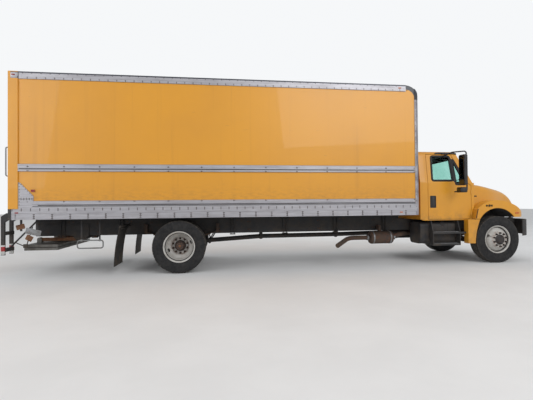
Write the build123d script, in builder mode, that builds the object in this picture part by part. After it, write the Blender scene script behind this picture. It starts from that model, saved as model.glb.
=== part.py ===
from build123d import *
from math import cos, degrees, radians, sin
import os

# A 26 ft box truck with a short conventional cab: ladder frame on two axles, a tilting one-piece
# hood and fenders, two cab doors, steered front wheels, twin rear wheels, a dry freight box with
# a roll-up rear door, and a liftgate stowed under the rear overhang.
# Millimetres. X points forward, Y to the vehicle's left, Z up. The origin is on the ground under
# the middle of the overall length and width.

# Overall sizes
box_length = 7930.0
cab_gap = 150.0  # between the freight box and the cab
cab_back_offset = 1740.0  # back of the cab behind the front axle
rear_overhang = 3000.0  # rear axle to the back of the box
wheelbase = box_length - rear_overhang + cab_gap + cab_back_offset
front_overhang = 1020.0  # front axle to the face of the bumper
step_depth = 120.0  # rear steps behind the box
overall_length = step_depth + rear_overhang + wheelbase + front_overhang
x_tail = -overall_length / 2
x_box_rear = x_tail + step_depth
x_rear_axle = x_box_rear + rear_overhang
x_front_axle = x_rear_axle + wheelbase
x_bumper_face = x_front_axle + front_overhang

# Running clearances
pin_gap = 0.3  # round a pin or shaft that turns
panel_gap = 8.0  # between a door or hood and its opening
seat_gap = 0.3  # between soft pieces and what carries them

# Wheels and tyres
tyre_radius = 510.0
tyre_half_width = 138.0
tread_half_width = 118.0
tread_depth = 26.0  # tread and belts together
rim_radius = 302.0  # over the flanges
rim_half_width = 112.0
rim_wall = 9.0
bead_radius = 287.0
well_radius = 262.0
disc_offset = 170.0  # rim centre to the mounting face
disc_wall = 12.0
stud_circle_radius = 142.875
pilot_radius = 110.0
disc_shoulder = 60.0  # where the disc leaves the rim's well, from the rim's middle
disc_knee = (136.0, 188.0)  # where the disc's cone turns in, from the rim's middle, and its radius
disc_face_radius = 162.0
hand_hole_radius = 226.0  # where the two hand holes sit on the disc
hand_hole_size = (74.0, 34.0)
drum_radius = 208.0
drum_bell = (62.0, 172.0)  # the drum's bell, from the mounting face, and its radius
drum_depth = 170.0
drum_wall = 14.0
front_wheel_y = 1000.0
rear_mount_y = 910.0  # plane where the twin wheels meet
spindle_radius = 40.0
wheel_z = tyre_radius

# Steering
kingpin_y = 830.0
kingpin_radius = 20.0
boss_radius = 45.0
boss_height = 100.0
ear_height = 36.0
ear_gap = 1.0
steering_arm_length = 200.0
tie_rod_radius = 16.0
ball_half_height = 18.0

# Ladder frame
frame_width = 864.0
frame_top = 960.0
rail_depth = 254.0
rail_flange = 76.0
rail_wall = 8.0
frame_bottom = frame_top - rail_depth
rail_outer_y = frame_width / 2
rail_mid_y = rail_outer_y - rail_flange / 2
frame_rear_setback = 90.0  # frame end to the back of the box
frame_front_setback = 50.0  # frame end to the bumper's face
x_frame_rear = x_box_rear + frame_rear_setback
x_frame_front = x_bumper_face - frame_front_setback
crossmember_depth = 150.0
crossmember_width = 70.0

# Freight box
box_width = 2590.0
box_bottom = 1072.0  # underside of the crossmembers and of the bottom rail
box_top = 3770.0
x_box_front = x_box_rear + box_length
rub_proud = 12.0  # rub rails stand this far out of the other rails
rail_plate = 12.0  # thickness of the top and bottom rails
wall_thickness = 25.0
roof_thickness = 25.0
rail_face_y = box_width / 2 - rub_proud
wall_face_y = rail_face_y - rail_plate
wall_inner_y = wall_face_y - wall_thickness
floor_beam_height = 100.0
floor_beam_width = 52.0
floor_beam_wall = 6.0
floor_beam_pitch = 330.0
deck_thickness = 35.0
deck_top = box_bottom + floor_beam_height + deck_thickness
box_nose_radius = 300.0  # front edge of the roof, seen from the side
front_post_width = 110.0
rear_post_depth = 170.0
rear_post_width = 90.0
header_height = 250.0
bottom_rail_top = 1305.0
bottom_rail_setback = 62.0
rear_post_foot = 1270.0  # the rear posts' outer faces end here, and the bottom rails run on below
rail_end_setback = 50.0  # end of the bottom rails, from the back of the box
top_rail_height = 134.0
top_rail_setback = 78.0
mid_rub_bottom = 1951.0
low_rub_bottom = 1314.0
rub_rail_heights = (36.0, 12.0, 88.0)  # lower band, groove, upper band
low_rub_heights = (24.0, 10.0, 66.0)

# Cab
cab_half_width = 1010.0
cab_front_offset = 475.0  # front of the cab's sides behind the front axle
sill_bottom = 940.0
door_bottom = 968.0
belt_z = 1760.0
roof_edge_z = 2440.0
roof_crown_z = 2515.0
roof_edge_half_width = 915.0
roof_joint_z = 2390.0
cab_wall = 55.0
glass_thickness = 8.0
screen_base = (-515.0, 1752.0)  # windscreen foot at the cab's side, from the front axle
screen_head = (-855.0, 2392.0)  # windscreen head at the cab's side
screen_bow = 80.0  # how far the middle of the glass bows forward
door_rear_offset = 1555.0
door_front_offset = 548.0
x_cab_back = x_front_axle - cab_back_offset
x_cab_front = x_front_axle - cab_front_offset
x_door_rear = x_front_axle - door_rear_offset
x_door_front = x_front_axle - door_front_offset
cab_floor_thickness = 50.0

# Hood and fenders, X from the front axle
hood_wall = 14.0
hood_rear_offset = -460.0
hood_hinge = (920.0, 1000.0)  # X from the front axle, and height
hood_pin_radius = 12.0
fender_half_width = 1150.0
# Cross-sections of the hood: X from the front axle, half width at the foot, half width at the
# shoulder, shoulder height, crown height, shoulder radius
hood_sections = [
    (hood_rear_offset, 985.0, 880.0, 1700.0, 1772.0, 120.0),
    (60.0, 890.0, 770.0, 1655.0, 1722.0, 120.0),
    (400.0, 740.0, 635.0, 1598.0, 1662.0, 120.0),
    (690.0, 600.0, 520.0, 1520.0, 1580.0, 120.0),
    (880.0, 540.0, 470.0, 1380.0, 1430.0, 120.0),
    (935.0, 520.0, 450.0, 1285.0, 1325.0, 110.0),
]
hood_foot = 1010.0


def side_plane(x, y, z, side):
    """A sketch plane at right angles to X whose own x points outboard and whose y points up."""
    return Plane(origin=(x, side * y, z), x_dir=(0, side, 0), z_dir=(side, 0, 0))


def finish(builder, name):
    """Label a finished piece and write it as its own file."""
    builder.part.label = name
    export_step(builder.part, f"parts/{name}.step")


os.makedirs("parts", exist_ok=True)
sides = {"left": 1, "right": -1}

# Ladder frame: two channel rails that open inwards, joined by crossmembers
x_mid_front = x_front_axle - 2300
x_mid_rear = x_rear_axle + 640
# Two crossmembers between these also carry the drive shaft's middle bearings
shaft_hanger_x = [x_mid_rear + share * (x_mid_front - x_mid_rear) for share in (0.74, 0.28)]
crossmember_x = [
    x_front_axle + 880,
    x_front_axle - 1260,
    x_mid_front,
    *shaft_hanger_x,
    x_mid_rear,
    x_rear_axle - 640,
    x_rear_axle - 1700,
    x_frame_rear + crossmember_width / 2,
]
hinge_ear = 25.0
hinge_ear_thickness = 20.0
hood_hinge_x = x_front_axle + hood_hinge[0]
hood_hinge_z = hood_hinge[1]
with BuildPart() as frame_ladder:
    for side in (1, -1):
        with BuildSketch(side_plane(x_frame_rear, rail_outer_y, frame_bottom, side)):
            Rectangle(rail_flange, rail_depth, align=(Align.MAX, Align.MIN))
            with Locations((-rail_wall, rail_wall)):
                Rectangle(
                    rail_flange,
                    rail_depth - 2 * rail_wall,
                    align=(Align.MAX, Align.MIN),
                    mode=Mode.SUBTRACT,
                )
        extrude(amount=side * (x_frame_front - x_frame_rear))
    for x in crossmember_x:
        with BuildSketch(Plane.XZ.offset(-(rail_outer_y - rail_wall))):
            with Locations((x, frame_top - rail_depth / 2)):
                Rectangle(crossmember_width, crossmember_depth)
                with Locations((rail_wall, 0)):
                    Rectangle(
                        crossmember_width,
                        crossmember_depth - 2 * rail_wall,
                        mode=Mode.SUBTRACT,
                    )
        extrude(amount=2 * (rail_outer_y - rail_wall))
    # Ears that carry the hood's hinge tube
    with BuildSketch(Plane.XZ.offset(-(rail_mid_y + hinge_ear_thickness / 2))) as ear_sketch:
        with Locations((hood_hinge_x, hood_hinge_z)):
            Circle(hinge_ear)
        with Locations((hood_hinge_x, frame_top)):
            Rectangle(2 * hinge_ear, hood_hinge_z - frame_top, align=(Align.CENTER, Align.MIN))
        with Locations((hood_hinge_x, hood_hinge_z)):
            Circle(hood_pin_radius + pin_gap, mode=Mode.SUBTRACT)
    extrude(amount=hinge_ear_thickness)
    with BuildSketch(Plane.XZ.offset(rail_mid_y - hinge_ear_thickness / 2)):
        add(ear_sketch.sketch_local)
    extrude(amount=hinge_ear_thickness)
finish(frame_ladder, "frame_ladder")

# Front axle: a dropped beam with a kingpin boss at each end and a pad under each spring
beam_depth = 90.0
beam_width = 100.0
beam_drop_bottom = 370.0
beam_drop_y = 600.0
beam_neck_y = 720.0
beam_web = 40.0
beam_flange = 18.0
kingpin_z = wheel_z - 15.0
beam_top = beam_drop_bottom + beam_depth
boss_bottom = kingpin_z - boss_height / 2
neck_margin = 6.0
beam_end_y = kingpin_y - boss_radius * 0.6
with BuildPart() as front_axle_beam:
    with BuildSketch(Plane.YZ.offset(x_front_axle - beam_width / 2)):
        with BuildLine():
            Polyline(
                (0, beam_drop_bottom),
                (beam_drop_y, beam_drop_bottom),
                (beam_neck_y, boss_bottom + neck_margin),
                (beam_end_y, boss_bottom + neck_margin),
                (beam_end_y, boss_bottom + boss_height - neck_margin),
                (beam_neck_y, boss_bottom + boss_height - neck_margin),
                (beam_drop_y, beam_top),
                (0, beam_top),
                close=True,
            )
        make_face()
        mirror(about=Plane.YZ)
    extrude(amount=beam_width)
    # The channels down both faces that leave an I-section
    for face in (1, -1):
        with Locations((x_front_axle + face * beam_width / 2, 0, beam_drop_bottom + beam_depth / 2)):
            Box(
                beam_width - beam_web,
                2 * beam_drop_y - beam_depth,
                beam_depth - 2 * beam_flange,
                mode=Mode.SUBTRACT,
            )
    for side in (1, -1):
        with Locations((x_front_axle, side * kingpin_y, kingpin_z)):
            Cylinder(boss_radius, boss_height)
            Cylinder(kingpin_radius + pin_gap, boss_height, mode=Mode.SUBTRACT)
finish(front_axle_beam, "front_axle_beam")

# Knuckles: ears above and below the boss, the kingpin, a spindle and a steering arm
knuckle_plate_y = kingpin_y + boss_radius + 12
knuckle_plate = 24.0
spindle_foot_radius = 70.0
arm_thickness = 24.0
arm_width = 44.0
arm_top = boss_bottom - ear_gap
arm_bottom = arm_top - arm_thickness
ball_pin_radius = 10.0
ball_radius = 24.0
mount_y = front_wheel_y + disc_offset  # plane where the front wheel's disc meets its hub
drum_inner_y = mount_y - disc_wall - drum_depth
spindle_end_y = mount_y + 20
ear_bottom = boss_bottom - ear_gap - ear_height
knuckle_height = boss_height + 2 * (ear_gap + ear_height)
for name, side in sides.items():
    with BuildPart() as knuckle:
        with Locations((x_front_axle, side * kingpin_y, kingpin_z)):
            Cylinder(kingpin_radius, knuckle_height)
        for z in (ear_bottom, boss_bottom + boss_height + ear_gap):
            with BuildSketch(Plane.XY.offset(z)):
                with Locations((x_front_axle, side * kingpin_y)):
                    Circle(boss_radius)
                with Locations((x_front_axle, side * (kingpin_y + knuckle_plate_y) / 2)):
                    Rectangle(2 * boss_radius, knuckle_plate_y - kingpin_y)
            extrude(amount=ear_height)
        with Locations((x_front_axle, side * (knuckle_plate_y + knuckle_plate / 2), kingpin_z)):
            Box(2 * boss_radius, knuckle_plate, knuckle_height)
        # Spindle, running inside the hub
        with BuildSketch(side_plane(x_front_axle, knuckle_plate_y, wheel_z, side)):
            with BuildLine():
                Polyline(
                    (0, 0),
                    (spindle_end_y - knuckle_plate_y, 0),
                    (spindle_end_y - knuckle_plate_y, spindle_radius),
                    (drum_inner_y - 20 - knuckle_plate_y, spindle_radius),
                    (drum_inner_y - 40 - knuckle_plate_y, spindle_foot_radius),
                    (0, spindle_foot_radius),
                    close=True,
                )
            make_face()
        revolve(axis=Axis((x_front_axle, 0, wheel_z), (0, 1, 0)))
        # Steering arm, straight back from the lower ear to the tie rod's ball
        with BuildSketch(Plane.XY.offset(arm_bottom)):
            with Locations((x_front_axle - steering_arm_length / 2, side * kingpin_y)):
                Rectangle(steering_arm_length, arm_width)
            with Locations((x_front_axle - steering_arm_length, side * kingpin_y)):
                Circle(ball_radius)
                Circle(ball_pin_radius + pin_gap, mode=Mode.SUBTRACT)
        extrude(amount=arm_thickness)
    finish(knuckle, f"knuckle_{name}")

# Tie rod: a bar between the two steering arms, with a ball pin up through each
x_tie_rod = x_front_axle - steering_arm_length
tie_rod_z = arm_bottom - ear_gap - ball_half_height
with BuildPart() as tie_rod:
    with Locations(Location((x_tie_rod, 0, tie_rod_z), (90, 0, 0))):
        Cylinder(tie_rod_radius, 2 * kingpin_y)
    with Locations((x_tie_rod, kingpin_y, tie_rod_z), (x_tie_rod, -kingpin_y, tie_rod_z)):
        Cylinder(ball_radius, 2 * ball_half_height)
        Cylinder(
            ball_pin_radius,
            arm_top - tie_rod_z - 2,
            align=(Align.CENTER, Align.CENTER, Align.MIN),
        )
finish(tie_rod, "tie_rod")

# Leaf springs: packs of curved leaves, clamped to the axles and hung from brackets on the rails
leaf_thickness = 16.0
leaf_step = 0.2  # each leaf is shorter than the one above by this share of the main leaf
spring_width = 76.0
spring_eye_radius = 30.0
bracket_width = 60.0
axle_tube_radius = 65.0
# x of the axle, centre line |y|, bottom of the pack, half span, rise to the eyes, leaves,
# bracket top, and the |y| that the bracket reaches in to
spring_sets = [
    (x_front_axle, rail_mid_y, beam_top, 680.0, 120.0, 3, frame_bottom, rail_mid_y),
    (
        x_rear_axle,
        rail_outer_y + 12 + spring_width / 2,
        wheel_z + axle_tube_radius,
        740.0,
        110.0,
        5,
        frame_top - 40,
        rail_outer_y,
    ),
]
with BuildPart() as leaf_springs:
    for x_axle, spring_y, base_z, half_span, rise, leaves, bracket_top, bracket_y in spring_sets:
        pack = leaves * leaf_thickness
        radius = (half_span**2 + rise**2) / (2 * rise)
        centre_z = base_z + pack + radius
        full_angle = degrees(half_span / radius)
        eye_z = centre_z - radius * cos(radians(full_angle)) - leaf_thickness / 2
        for side in (1, -1):
            with BuildSketch(Plane.XZ.offset(-(side * spring_y + spring_width / 2))):
                for leaf in range(leaves):
                    inner = radius + leaf * leaf_thickness
                    angle = full_angle * (1 - leaf_step * leaf)
                    with BuildLine():
                        low = CenterArc((x_axle, centre_z), inner, 270 - angle, 2 * angle)
                        high = CenterArc(
                            (x_axle, centre_z), inner + leaf_thickness, 270 - angle, 2 * angle
                        )
                        Line(low @ 0, high @ 0)
                        Line(low @ 1, high @ 1)
                    make_face()
                with Locations((x_axle, base_z + pack / 2)):
                    Rectangle(beam_width + 40, pack + 2 * leaf_thickness)
                with Locations((x_axle, base_z)):
                    Rectangle(
                        2 * beam_width,
                        4 * leaf_thickness,
                        align=(Align.CENTER, Align.MAX),
                        mode=Mode.SUBTRACT,
                    )
                with Locations((x_axle - half_span, eye_z), (x_axle + half_span, eye_z)):
                    Circle(spring_eye_radius)
            extrude(amount=spring_width)
            outer_y = max(spring_y + spring_width / 2, bracket_y)
            inner_y = min(spring_y - spring_width / 2, bracket_y)
            for x in (x_axle - half_span, x_axle + half_span):
                with Locations((x, side * (outer_y + inner_y) / 2, eye_z)):
                    Box(
                        bracket_width,
                        outer_y - inner_y,
                        bracket_top - eye_z,
                        align=(Align.CENTER, Align.CENTER, Align.MIN),
                    )
finish(leaf_springs, "leaf_springs")

# Rear axle: a tube with the round differential housing and the pinion's nose
diff_radius = 205.0
diff_half_width = 150.0
pinion_radius = 95.0
pinion_reach = 380.0
rear_spindle_radius = 50.0
rear_drum_inner_y = rear_mount_y - disc_wall - drum_depth
rear_spindle_end_y = rear_mount_y + 120
with BuildPart() as rear_axle:
    with BuildSketch(Plane.XY.offset(wheel_z)):
        with BuildLine():
            Polyline(
                (x_rear_axle, 0),
                (x_rear_axle + diff_radius, 0),
                (x_rear_axle + diff_radius, diff_half_width / 2),
                (x_rear_axle + diff_radius * 0.75, diff_half_width),
                (x_rear_axle + axle_tube_radius, diff_half_width + 100),
                (x_rear_axle + axle_tube_radius, rear_drum_inner_y - 20),
                (x_rear_axle + rear_spindle_radius, rear_drum_inner_y - 10),
                (x_rear_axle + rear_spindle_radius, rear_spindle_end_y),
                (x_rear_axle, rear_spindle_end_y),
                close=True,
            )
        make_face()
        mirror(about=Plane.XZ)
    revolve(axis=Axis((x_rear_axle, 0, wheel_z), (0, 1, 0)))
    with Locations(Location((x_rear_axle, 0, wheel_z), (0, 90, 0))):
        Cone(
            pinion_radius * 1.5,
            pinion_radius * 0.7,
            pinion_reach,
            align=(Align.CENTER, Align.CENTER, Align.MIN),
        )
finish(rear_axle, "rear_axle")


def tyre_face(plane):
    """Half tyre section drawn with local x along the axle from the tyre's middle and y outward."""
    seat_slope = (bead_radius - well_radius - 18) / 43.0
    with BuildSketch(plane) as face:
        with BuildLine():
            heel = (rim_half_width - 14, bead_radius)
            toe = (rim_half_width - 50, bead_radius - 36 * seat_slope)
            shoulder = (tread_half_width, tyre_radius - 8)
            Line((0, tyre_radius), (tread_half_width - 24, tyre_radius))
            TangentArc((tread_half_width - 24, tyre_radius), shoulder, tangent=(1, 0))
            ThreePointArc(
                shoulder,
                (tyre_half_width, (tyre_radius + bead_radius) / 2 + 8),
                (rim_half_width + 3, rim_radius + 14),
            )
            Line((rim_half_width + 3, rim_radius + 14), (rim_half_width - 9, rim_radius))
            Line((rim_half_width - 9, rim_radius), heel)
            Line(heel, toe)
            Polyline(
                toe,
                (tyre_half_width - 24, (tyre_radius + bead_radius) / 2),
                (tread_half_width - 30, tyre_radius - tread_depth),
                (0, tyre_radius - tread_depth),
                (0, tyre_radius),
            )
        make_face()
        mirror(about=Plane.YZ)
    return face.sketch


def wheel_parts(x_axle, rim_y, face_y, side):
    """Rim and disc of one wheel, added to the open part: rim_y and face_y are |y| values."""
    out = 1 if face_y > rim_y else -1
    with BuildSketch(side_plane(x_axle, rim_y, wheel_z, side)) as section:
        with BuildLine():
            half = [
                (rim_half_width, rim_radius),
                (rim_half_width - 9, rim_radius),
                (rim_half_width - 14, bead_radius),
                (rim_half_width - 57, bead_radius - 7),
                (rim_half_width - 72, well_radius),
            ]
            back = [(-v, r) for v, r in reversed(half)]
            under = [
                (-rim_half_width, rim_radius - rim_wall),
                (-rim_half_width + 12, bead_radius - rim_wall - 2),
                (-rim_half_width + 53, bead_radius - 7 - rim_wall),
                (-rim_half_width + 68, well_radius - rim_wall),
            ]
            over = [(-v, r) for v, r in reversed(under)]
            Polyline(*half, *back, *under, *over, close=True)
        make_face()
        # The dished disc, from the rim's well out to the mounting face
        with BuildLine():
            Polyline(
                (out * 20, well_radius - 2),
                (out * disc_shoulder, well_radius - 2),
                (out * disc_knee[0], disc_knee[1]),
                (out * disc_offset, disc_face_radius),
                (out * disc_offset, pilot_radius),
                (out * (disc_offset - disc_wall), pilot_radius),
                (out * (disc_offset - disc_wall), disc_face_radius - 4),
                (out * (disc_knee[0] - disc_wall - 4), disc_knee[1] - 8),
                (out * (disc_shoulder - 2 * disc_wall), well_radius - rim_wall - 8),
                (out * 20, well_radius - rim_wall - 4),
                close=True,
            )
        make_face()
    revolve(section.sketch, axis=Axis((x_axle, 0, wheel_z), (0, 1, 0)))


def hub_parts(x_axle, inner_y, face_y, shaft_radius, shaft_end_y, side):
    """Brake drum and hub on one shaft, added to the open part."""
    bore = shaft_radius + pin_gap
    cap = 14.0
    nose = shaft_end_y + pin_gap + cap
    with BuildSketch(side_plane(x_axle, 0, wheel_z, side)) as section:
        with BuildLine():
            Polyline(
                (inner_y, drum_radius),
                (face_y - drum_bell[0] - 33, drum_radius),
                (face_y - drum_bell[0], drum_bell[1]),
                (face_y - disc_wall, disc_face_radius - 12),
                (face_y - disc_wall, pilot_radius),
                (face_y + 4, pilot_radius),
                (nose - 20, pilot_radius - 18),
                (nose, pilot_radius - 40),
                (nose, 0),
                (nose - cap, 0),
                (nose - cap, bore),
                (inner_y - 8, bore),
                (inner_y - 8, bore + 16),
                (inner_y + 60, bore + 22),
                (face_y - disc_wall - 30, pilot_radius - 26),
                (face_y - disc_wall - 14, disc_face_radius - 24),
                (face_y - drum_bell[0] - 10, drum_bell[1] - 10),
                (face_y - drum_bell[0] - 40, drum_radius - drum_wall),
                (inner_y, drum_radius - drum_wall),
                close=True,
            )
        make_face()
    revolve(section.sketch, axis=Axis((x_axle, 0, wheel_z), (0, 1, 0)))


def disc_holes(x_axle, outer_y, inner_y, start_angle, side):
    """The two hand holes through the discs between two planes, cut from the open part."""
    with BuildSketch(Plane.XZ.offset(-side * outer_y)) as holes:
        with Locations((x_axle, wheel_z)):
            with PolarLocations(hand_hole_radius, 2, start_angle=start_angle):
                SlotOverall(*hand_hole_size, rotation=90)
    extrude(holes.sketch, amount=side * (outer_y - inner_y), mode=Mode.SUBTRACT)


def stud_ring(x_axle, face_y, side):
    """Ten wheel studs with their nuts, standing out of the disc."""
    with BuildSketch(Plane.XZ.offset(-side * (face_y - 1))) as nuts:
        with Locations((x_axle, wheel_z)):
            with PolarLocations(stud_circle_radius, 10, start_angle=18):
                RegularPolygon(17, 6)
    extrude(nuts.sketch, amount=-side * (stud_height + 1))


# Front wheels: one tyre, and a dished disc wheel with its hub and drum, on each spindle
stud_height = 34.0
front_hand_hole_angle = 160.0
rear_hand_hole_angle = 20.0
hole_span = (disc_offset - disc_shoulder + 20, 20.0)  # the discs lie between these, from their face
for name, side in sides.items():
    with BuildPart() as front_tyre:
        face = tyre_face(side_plane(x_front_axle, front_wheel_y, wheel_z, side))
        revolve(face, axis=Axis((x_front_axle, 0, wheel_z), (0, 1, 0)))
    finish(front_tyre, f"front_{name}_tyre")

    with BuildPart() as front_wheel:
        wheel_parts(x_front_axle, front_wheel_y, mount_y, side)
        hub_parts(x_front_axle, drum_inner_y, mount_y, spindle_radius, spindle_end_y, side)
        disc_holes(x_front_axle, mount_y, mount_y - hole_span[0], front_hand_hole_angle, side)
        stud_ring(x_front_axle, mount_y, side)
    finish(front_wheel, f"front_{name}_wheel")

# Rear wheels: two discs back to back on one hub, so each pair is one body
for name, side in sides.items():
    with BuildPart() as rear_tyres:
        for rim_y in (rear_mount_y + disc_offset, rear_mount_y - disc_offset):
            face = tyre_face(side_plane(x_rear_axle, rim_y, wheel_z, side))
            revolve(face, axis=Axis((x_rear_axle, 0, wheel_z), (0, 1, 0)))
    finish(rear_tyres, f"rear_{name}_tyres")

    with BuildPart() as rear_wheels:
        wheel_parts(x_rear_axle, rear_mount_y + disc_offset, rear_mount_y, side)
        wheel_parts(x_rear_axle, rear_mount_y - disc_offset, rear_mount_y, side)
        hub_parts(
            x_rear_axle,
            rear_drum_inner_y,
            rear_mount_y,
            rear_spindle_radius,
            rear_spindle_end_y,
            side,
        )
        for near, far in (hole_span, (-hole_span[1], -hole_span[0])):
            disc_holes(x_rear_axle, rear_mount_y + near, rear_mount_y + far, rear_hand_hole_angle, side)
        stud_ring(x_rear_axle, rear_mount_y + disc_wall, side)
    finish(rear_wheels, f"rear_{name}_wheels")

# Drive shafts: tubes between the gearbox, two hangers and the rear axle's pinion
shaft_radius = 50.0
joint_radius = 68.0
gearbox_rear = -1150.0  # from the front axle
shaft_points = [
    (x_front_axle + gearbox_rear, 640.0),
    (shaft_hanger_x[0], 600.0),
    (shaft_hanger_x[1], 590.0),
    (x_rear_axle + pinion_reach, wheel_z),
]
hanger_width = 60.0
crossmember_bottom = frame_top - rail_depth / 2 - crossmember_depth / 2
with BuildPart() as driveshaft:
    for (x_a, z_a), (x_b, z_b) in zip(shaft_points, shaft_points[1:]):
        run = Vector(x_b - x_a, 0, z_b - z_a)
        with BuildSketch(Plane(origin=(x_a, 0, z_a), z_dir=run)):
            Circle(shaft_radius)
        extrude(amount=run.length)
    with Locations(*[(x, 0, z) for x, z in shaft_points[1:3]]):
        Sphere(joint_radius)
    with Locations((shaft_points[0][0], 0, shaft_points[0][1])):
        Sphere(joint_radius)
    # Each middle bearing hangs from a crossmember
    for x, z in shaft_points[1:3]:
        with Locations((x, 0, z)):
            Box(
                hanger_width,
                2 * joint_radius + 20,
                crossmember_bottom - z,
                align=(Align.CENTER, Align.CENTER, Align.MIN),
            )
    # The pinion's nose and the gearbox end this run
    split(bisect_by=Plane.YZ.offset(x_front_axle + gearbox_rear), keep=Keep.BOTTOM)
    split(bisect_by=Plane.YZ.offset(x_rear_axle + pinion_reach), keep=Keep.TOP)
finish(driveshaft, "driveshaft")

# Engine and gearbox: one plain block, on feet that stand on the rails
engine_length = 810.0
engine_front = 480.0  # from the front axle
engine_half_width = 300.0
engine_bottom = 580.0
engine_top = 1300.0
foot_thickness = 30.0
gearbox_half_width = 190.0
gearbox_top = frame_top - 20
gearbox_bottom = 540.0
x_engine_front = x_front_axle + engine_front
x_engine_rear = x_engine_front - engine_length
with BuildPart() as engine:
    with BuildSketch(Plane.YZ.offset(x_engine_rear)):
        with Locations((0, (engine_bottom + engine_top) / 2)):
            RectangleRounded(2 * engine_half_width, engine_top - engine_bottom, 60)
    extrude(amount=engine_length)
    with Locations((x_engine_rear + 150, 0, frame_top), (x_engine_front - 150, 0, frame_top)):
        Box(120, 2 * rail_mid_y, foot_thickness, align=(Align.CENTER, Align.CENTER, Align.MIN))
    with BuildSketch(Plane.YZ.offset(x_front_axle + gearbox_rear)):
        with Locations((0, (gearbox_bottom + gearbox_top) / 2)):
            RectangleRounded(2 * gearbox_half_width, gearbox_top - gearbox_bottom, 80)
    extrude(amount=x_engine_rear - x_front_axle - gearbox_rear)
finish(engine, "engine")

# Radiator: a core between two tanks, with side plates that stand on the rails
radiator_offset = 560.0  # rear face from the front axle
radiator_depth = 80.0
radiator_half_width = 330.0
radiator_bottom = 640.0
radiator_top = 1280.0
core_recess = 20.0
x_radiator = x_front_axle + radiator_offset
with BuildPart() as radiator:
    with Locations((x_radiator, 0, radiator_bottom)):
        Box(
            radiator_depth,
            2 * radiator_half_width,
            radiator_top - radiator_bottom,
            align=(Align.MIN, Align.CENTER, Align.MIN),
        )
    fillet(radiator.edges().filter_by(Axis.Y), 24)
    for x in (x_radiator, x_radiator + radiator_depth):
        with Locations((x, 0, (radiator_bottom + radiator_top) / 2)):
            Box(
                2 * core_recess,
                2 * radiator_half_width - 80,
                radiator_top - radiator_bottom - 200,
                mode=Mode.SUBTRACT,
            )
    with Locations((x_radiator + radiator_depth / 2, 0, frame_top)):
        Box(
            radiator_depth - 2 * core_recess - 10,
            2 * rail_mid_y,
            foot_thickness,
            align=(Align.CENTER, Align.CENTER, Align.MIN),
        )
finish(radiator, "radiator")

# Exhaust: a pipe from the engine under the right rail to the muffler, and a turned-out tail pipe
muffler_radius = 138.0
muffler_y = -600.0
muffler_z = 560.0
muffler_x = (x_front_axle - 2730.0, x_front_axle - 2200.0)
pipe_radius = 48.0
pipe_bend = 160.0
tail_bend = 320.0
pipe_z = 640.0
exhaust_y = -260.0
tail_run = 480.0  # straight back from the muffler, before the pipe turns outboard
tail_reach = (410.0, 480.0, 110.0)  # the turned-out end: back, outboard and down
front_run = (180.0, 560.0)  # in front of the muffler: where the pipe turns inboard, and where it ends
tail_points = [
    (muffler_x[0] + 40, muffler_y, muffler_z),
    (muffler_x[0] - tail_run, muffler_y, muffler_z),
    (muffler_x[0] - tail_run - tail_reach[0], muffler_y - tail_reach[1], muffler_z - tail_reach[2]),
]
front_points = [
    (muffler_x[1] - 40, muffler_y, muffler_z),
    (muffler_x[1] + front_run[0], muffler_y, pipe_z - 20),
    (muffler_x[1] + front_run[1], exhaust_y, pipe_z - 20),
    (x_engine_rear + 10, exhaust_y, pipe_z),
]
with BuildPart() as exhaust:
    with Locations(Location(((muffler_x[0] + muffler_x[1]) / 2, muffler_y, muffler_z), (0, 90, 0))):
        Cylinder(muffler_radius, muffler_x[1] - muffler_x[0])
    fillet(exhaust.edges().filter_by(GeomType.CIRCLE), 40)
    for points, bend in ((tail_points, tail_bend), (front_points, pipe_bend)):
        with BuildLine() as route:
            FilletPolyline(*points, radius=bend)
        start = Plane(origin=points[0], z_dir=Vector(*points[1]) - Vector(*points[0]))
        with BuildSketch(start):
            Circle(pipe_radius)
        sweep(path=route.wires()[0], transition=Transition.RIGHT)
    with BuildSketch(Plane.YZ.offset((muffler_x[0] + muffler_x[1]) / 2 - 30)):
        with BuildLine():
            Polyline(
                (muffler_y + 30, muffler_z + muffler_radius - 20),
                (muffler_y + 30, frame_bottom + 120),
                (-rail_outer_y, frame_bottom + 120),
                (-rail_outer_y, frame_bottom + 20),
                (muffler_y + 60, frame_bottom),
                (muffler_y + 60, muffler_z + muffler_radius - 40),
                close=True,
            )
        make_face()
    extrude(amount=60)
    split(bisect_by=Plane.YZ.offset(x_engine_rear), keep=Keep.BOTTOM)
finish(exhaust, "exhaust")

# Fuel tank on the right and battery box on the left, each hung on the rail by brackets
tank_front = -880.0  # from the front axle
tank_length = 820.0
tank_top = 900.0
tank_bottom = 430.0
tank_inner_y = 480.0
tank_outer_y = 930.0
strap_width = 60.0
strap_proud = 6.0
for name, side, radius in (("fuel_tank", -1, 90.0), ("battery_box", 1, 20.0)):
    with BuildPart() as tank:
        for start, length, grow in (
            (0, tank_length, 0.0),
            (120, strap_width, strap_proud),
            (tank_length - 120 - strap_width, strap_width, strap_proud),
        ):
            x = x_front_axle + tank_front - tank_length + start
            with BuildSketch(Plane.YZ.offset(x)):
                with Locations((side * (tank_inner_y + tank_outer_y) / 2, (tank_top + tank_bottom) / 2)):
                    RectangleRounded(
                        tank_outer_y - tank_inner_y + 2 * grow,
                        tank_top - tank_bottom + 2 * grow,
                        radius + grow,
                    )
            extrude(amount=length)
        # Brackets from the rail's web out under the tank
        for start in (120, tank_length - 120 - strap_width):
            x = x_front_axle + tank_front - tank_length + start
            with BuildSketch(Plane.YZ.offset(x)):
                with BuildLine():
                    Polyline(
                        (side * rail_outer_y, tank_top - 20),
                        (side * (tank_inner_y + 30), tank_top - 20),
                        (side * (tank_inner_y + 30), tank_bottom + 150),
                        (side * rail_outer_y, frame_bottom + 20),
                        close=True,
                    )
                make_face()
            extrude(amount=strap_width)
    finish(tank, name)

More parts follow.
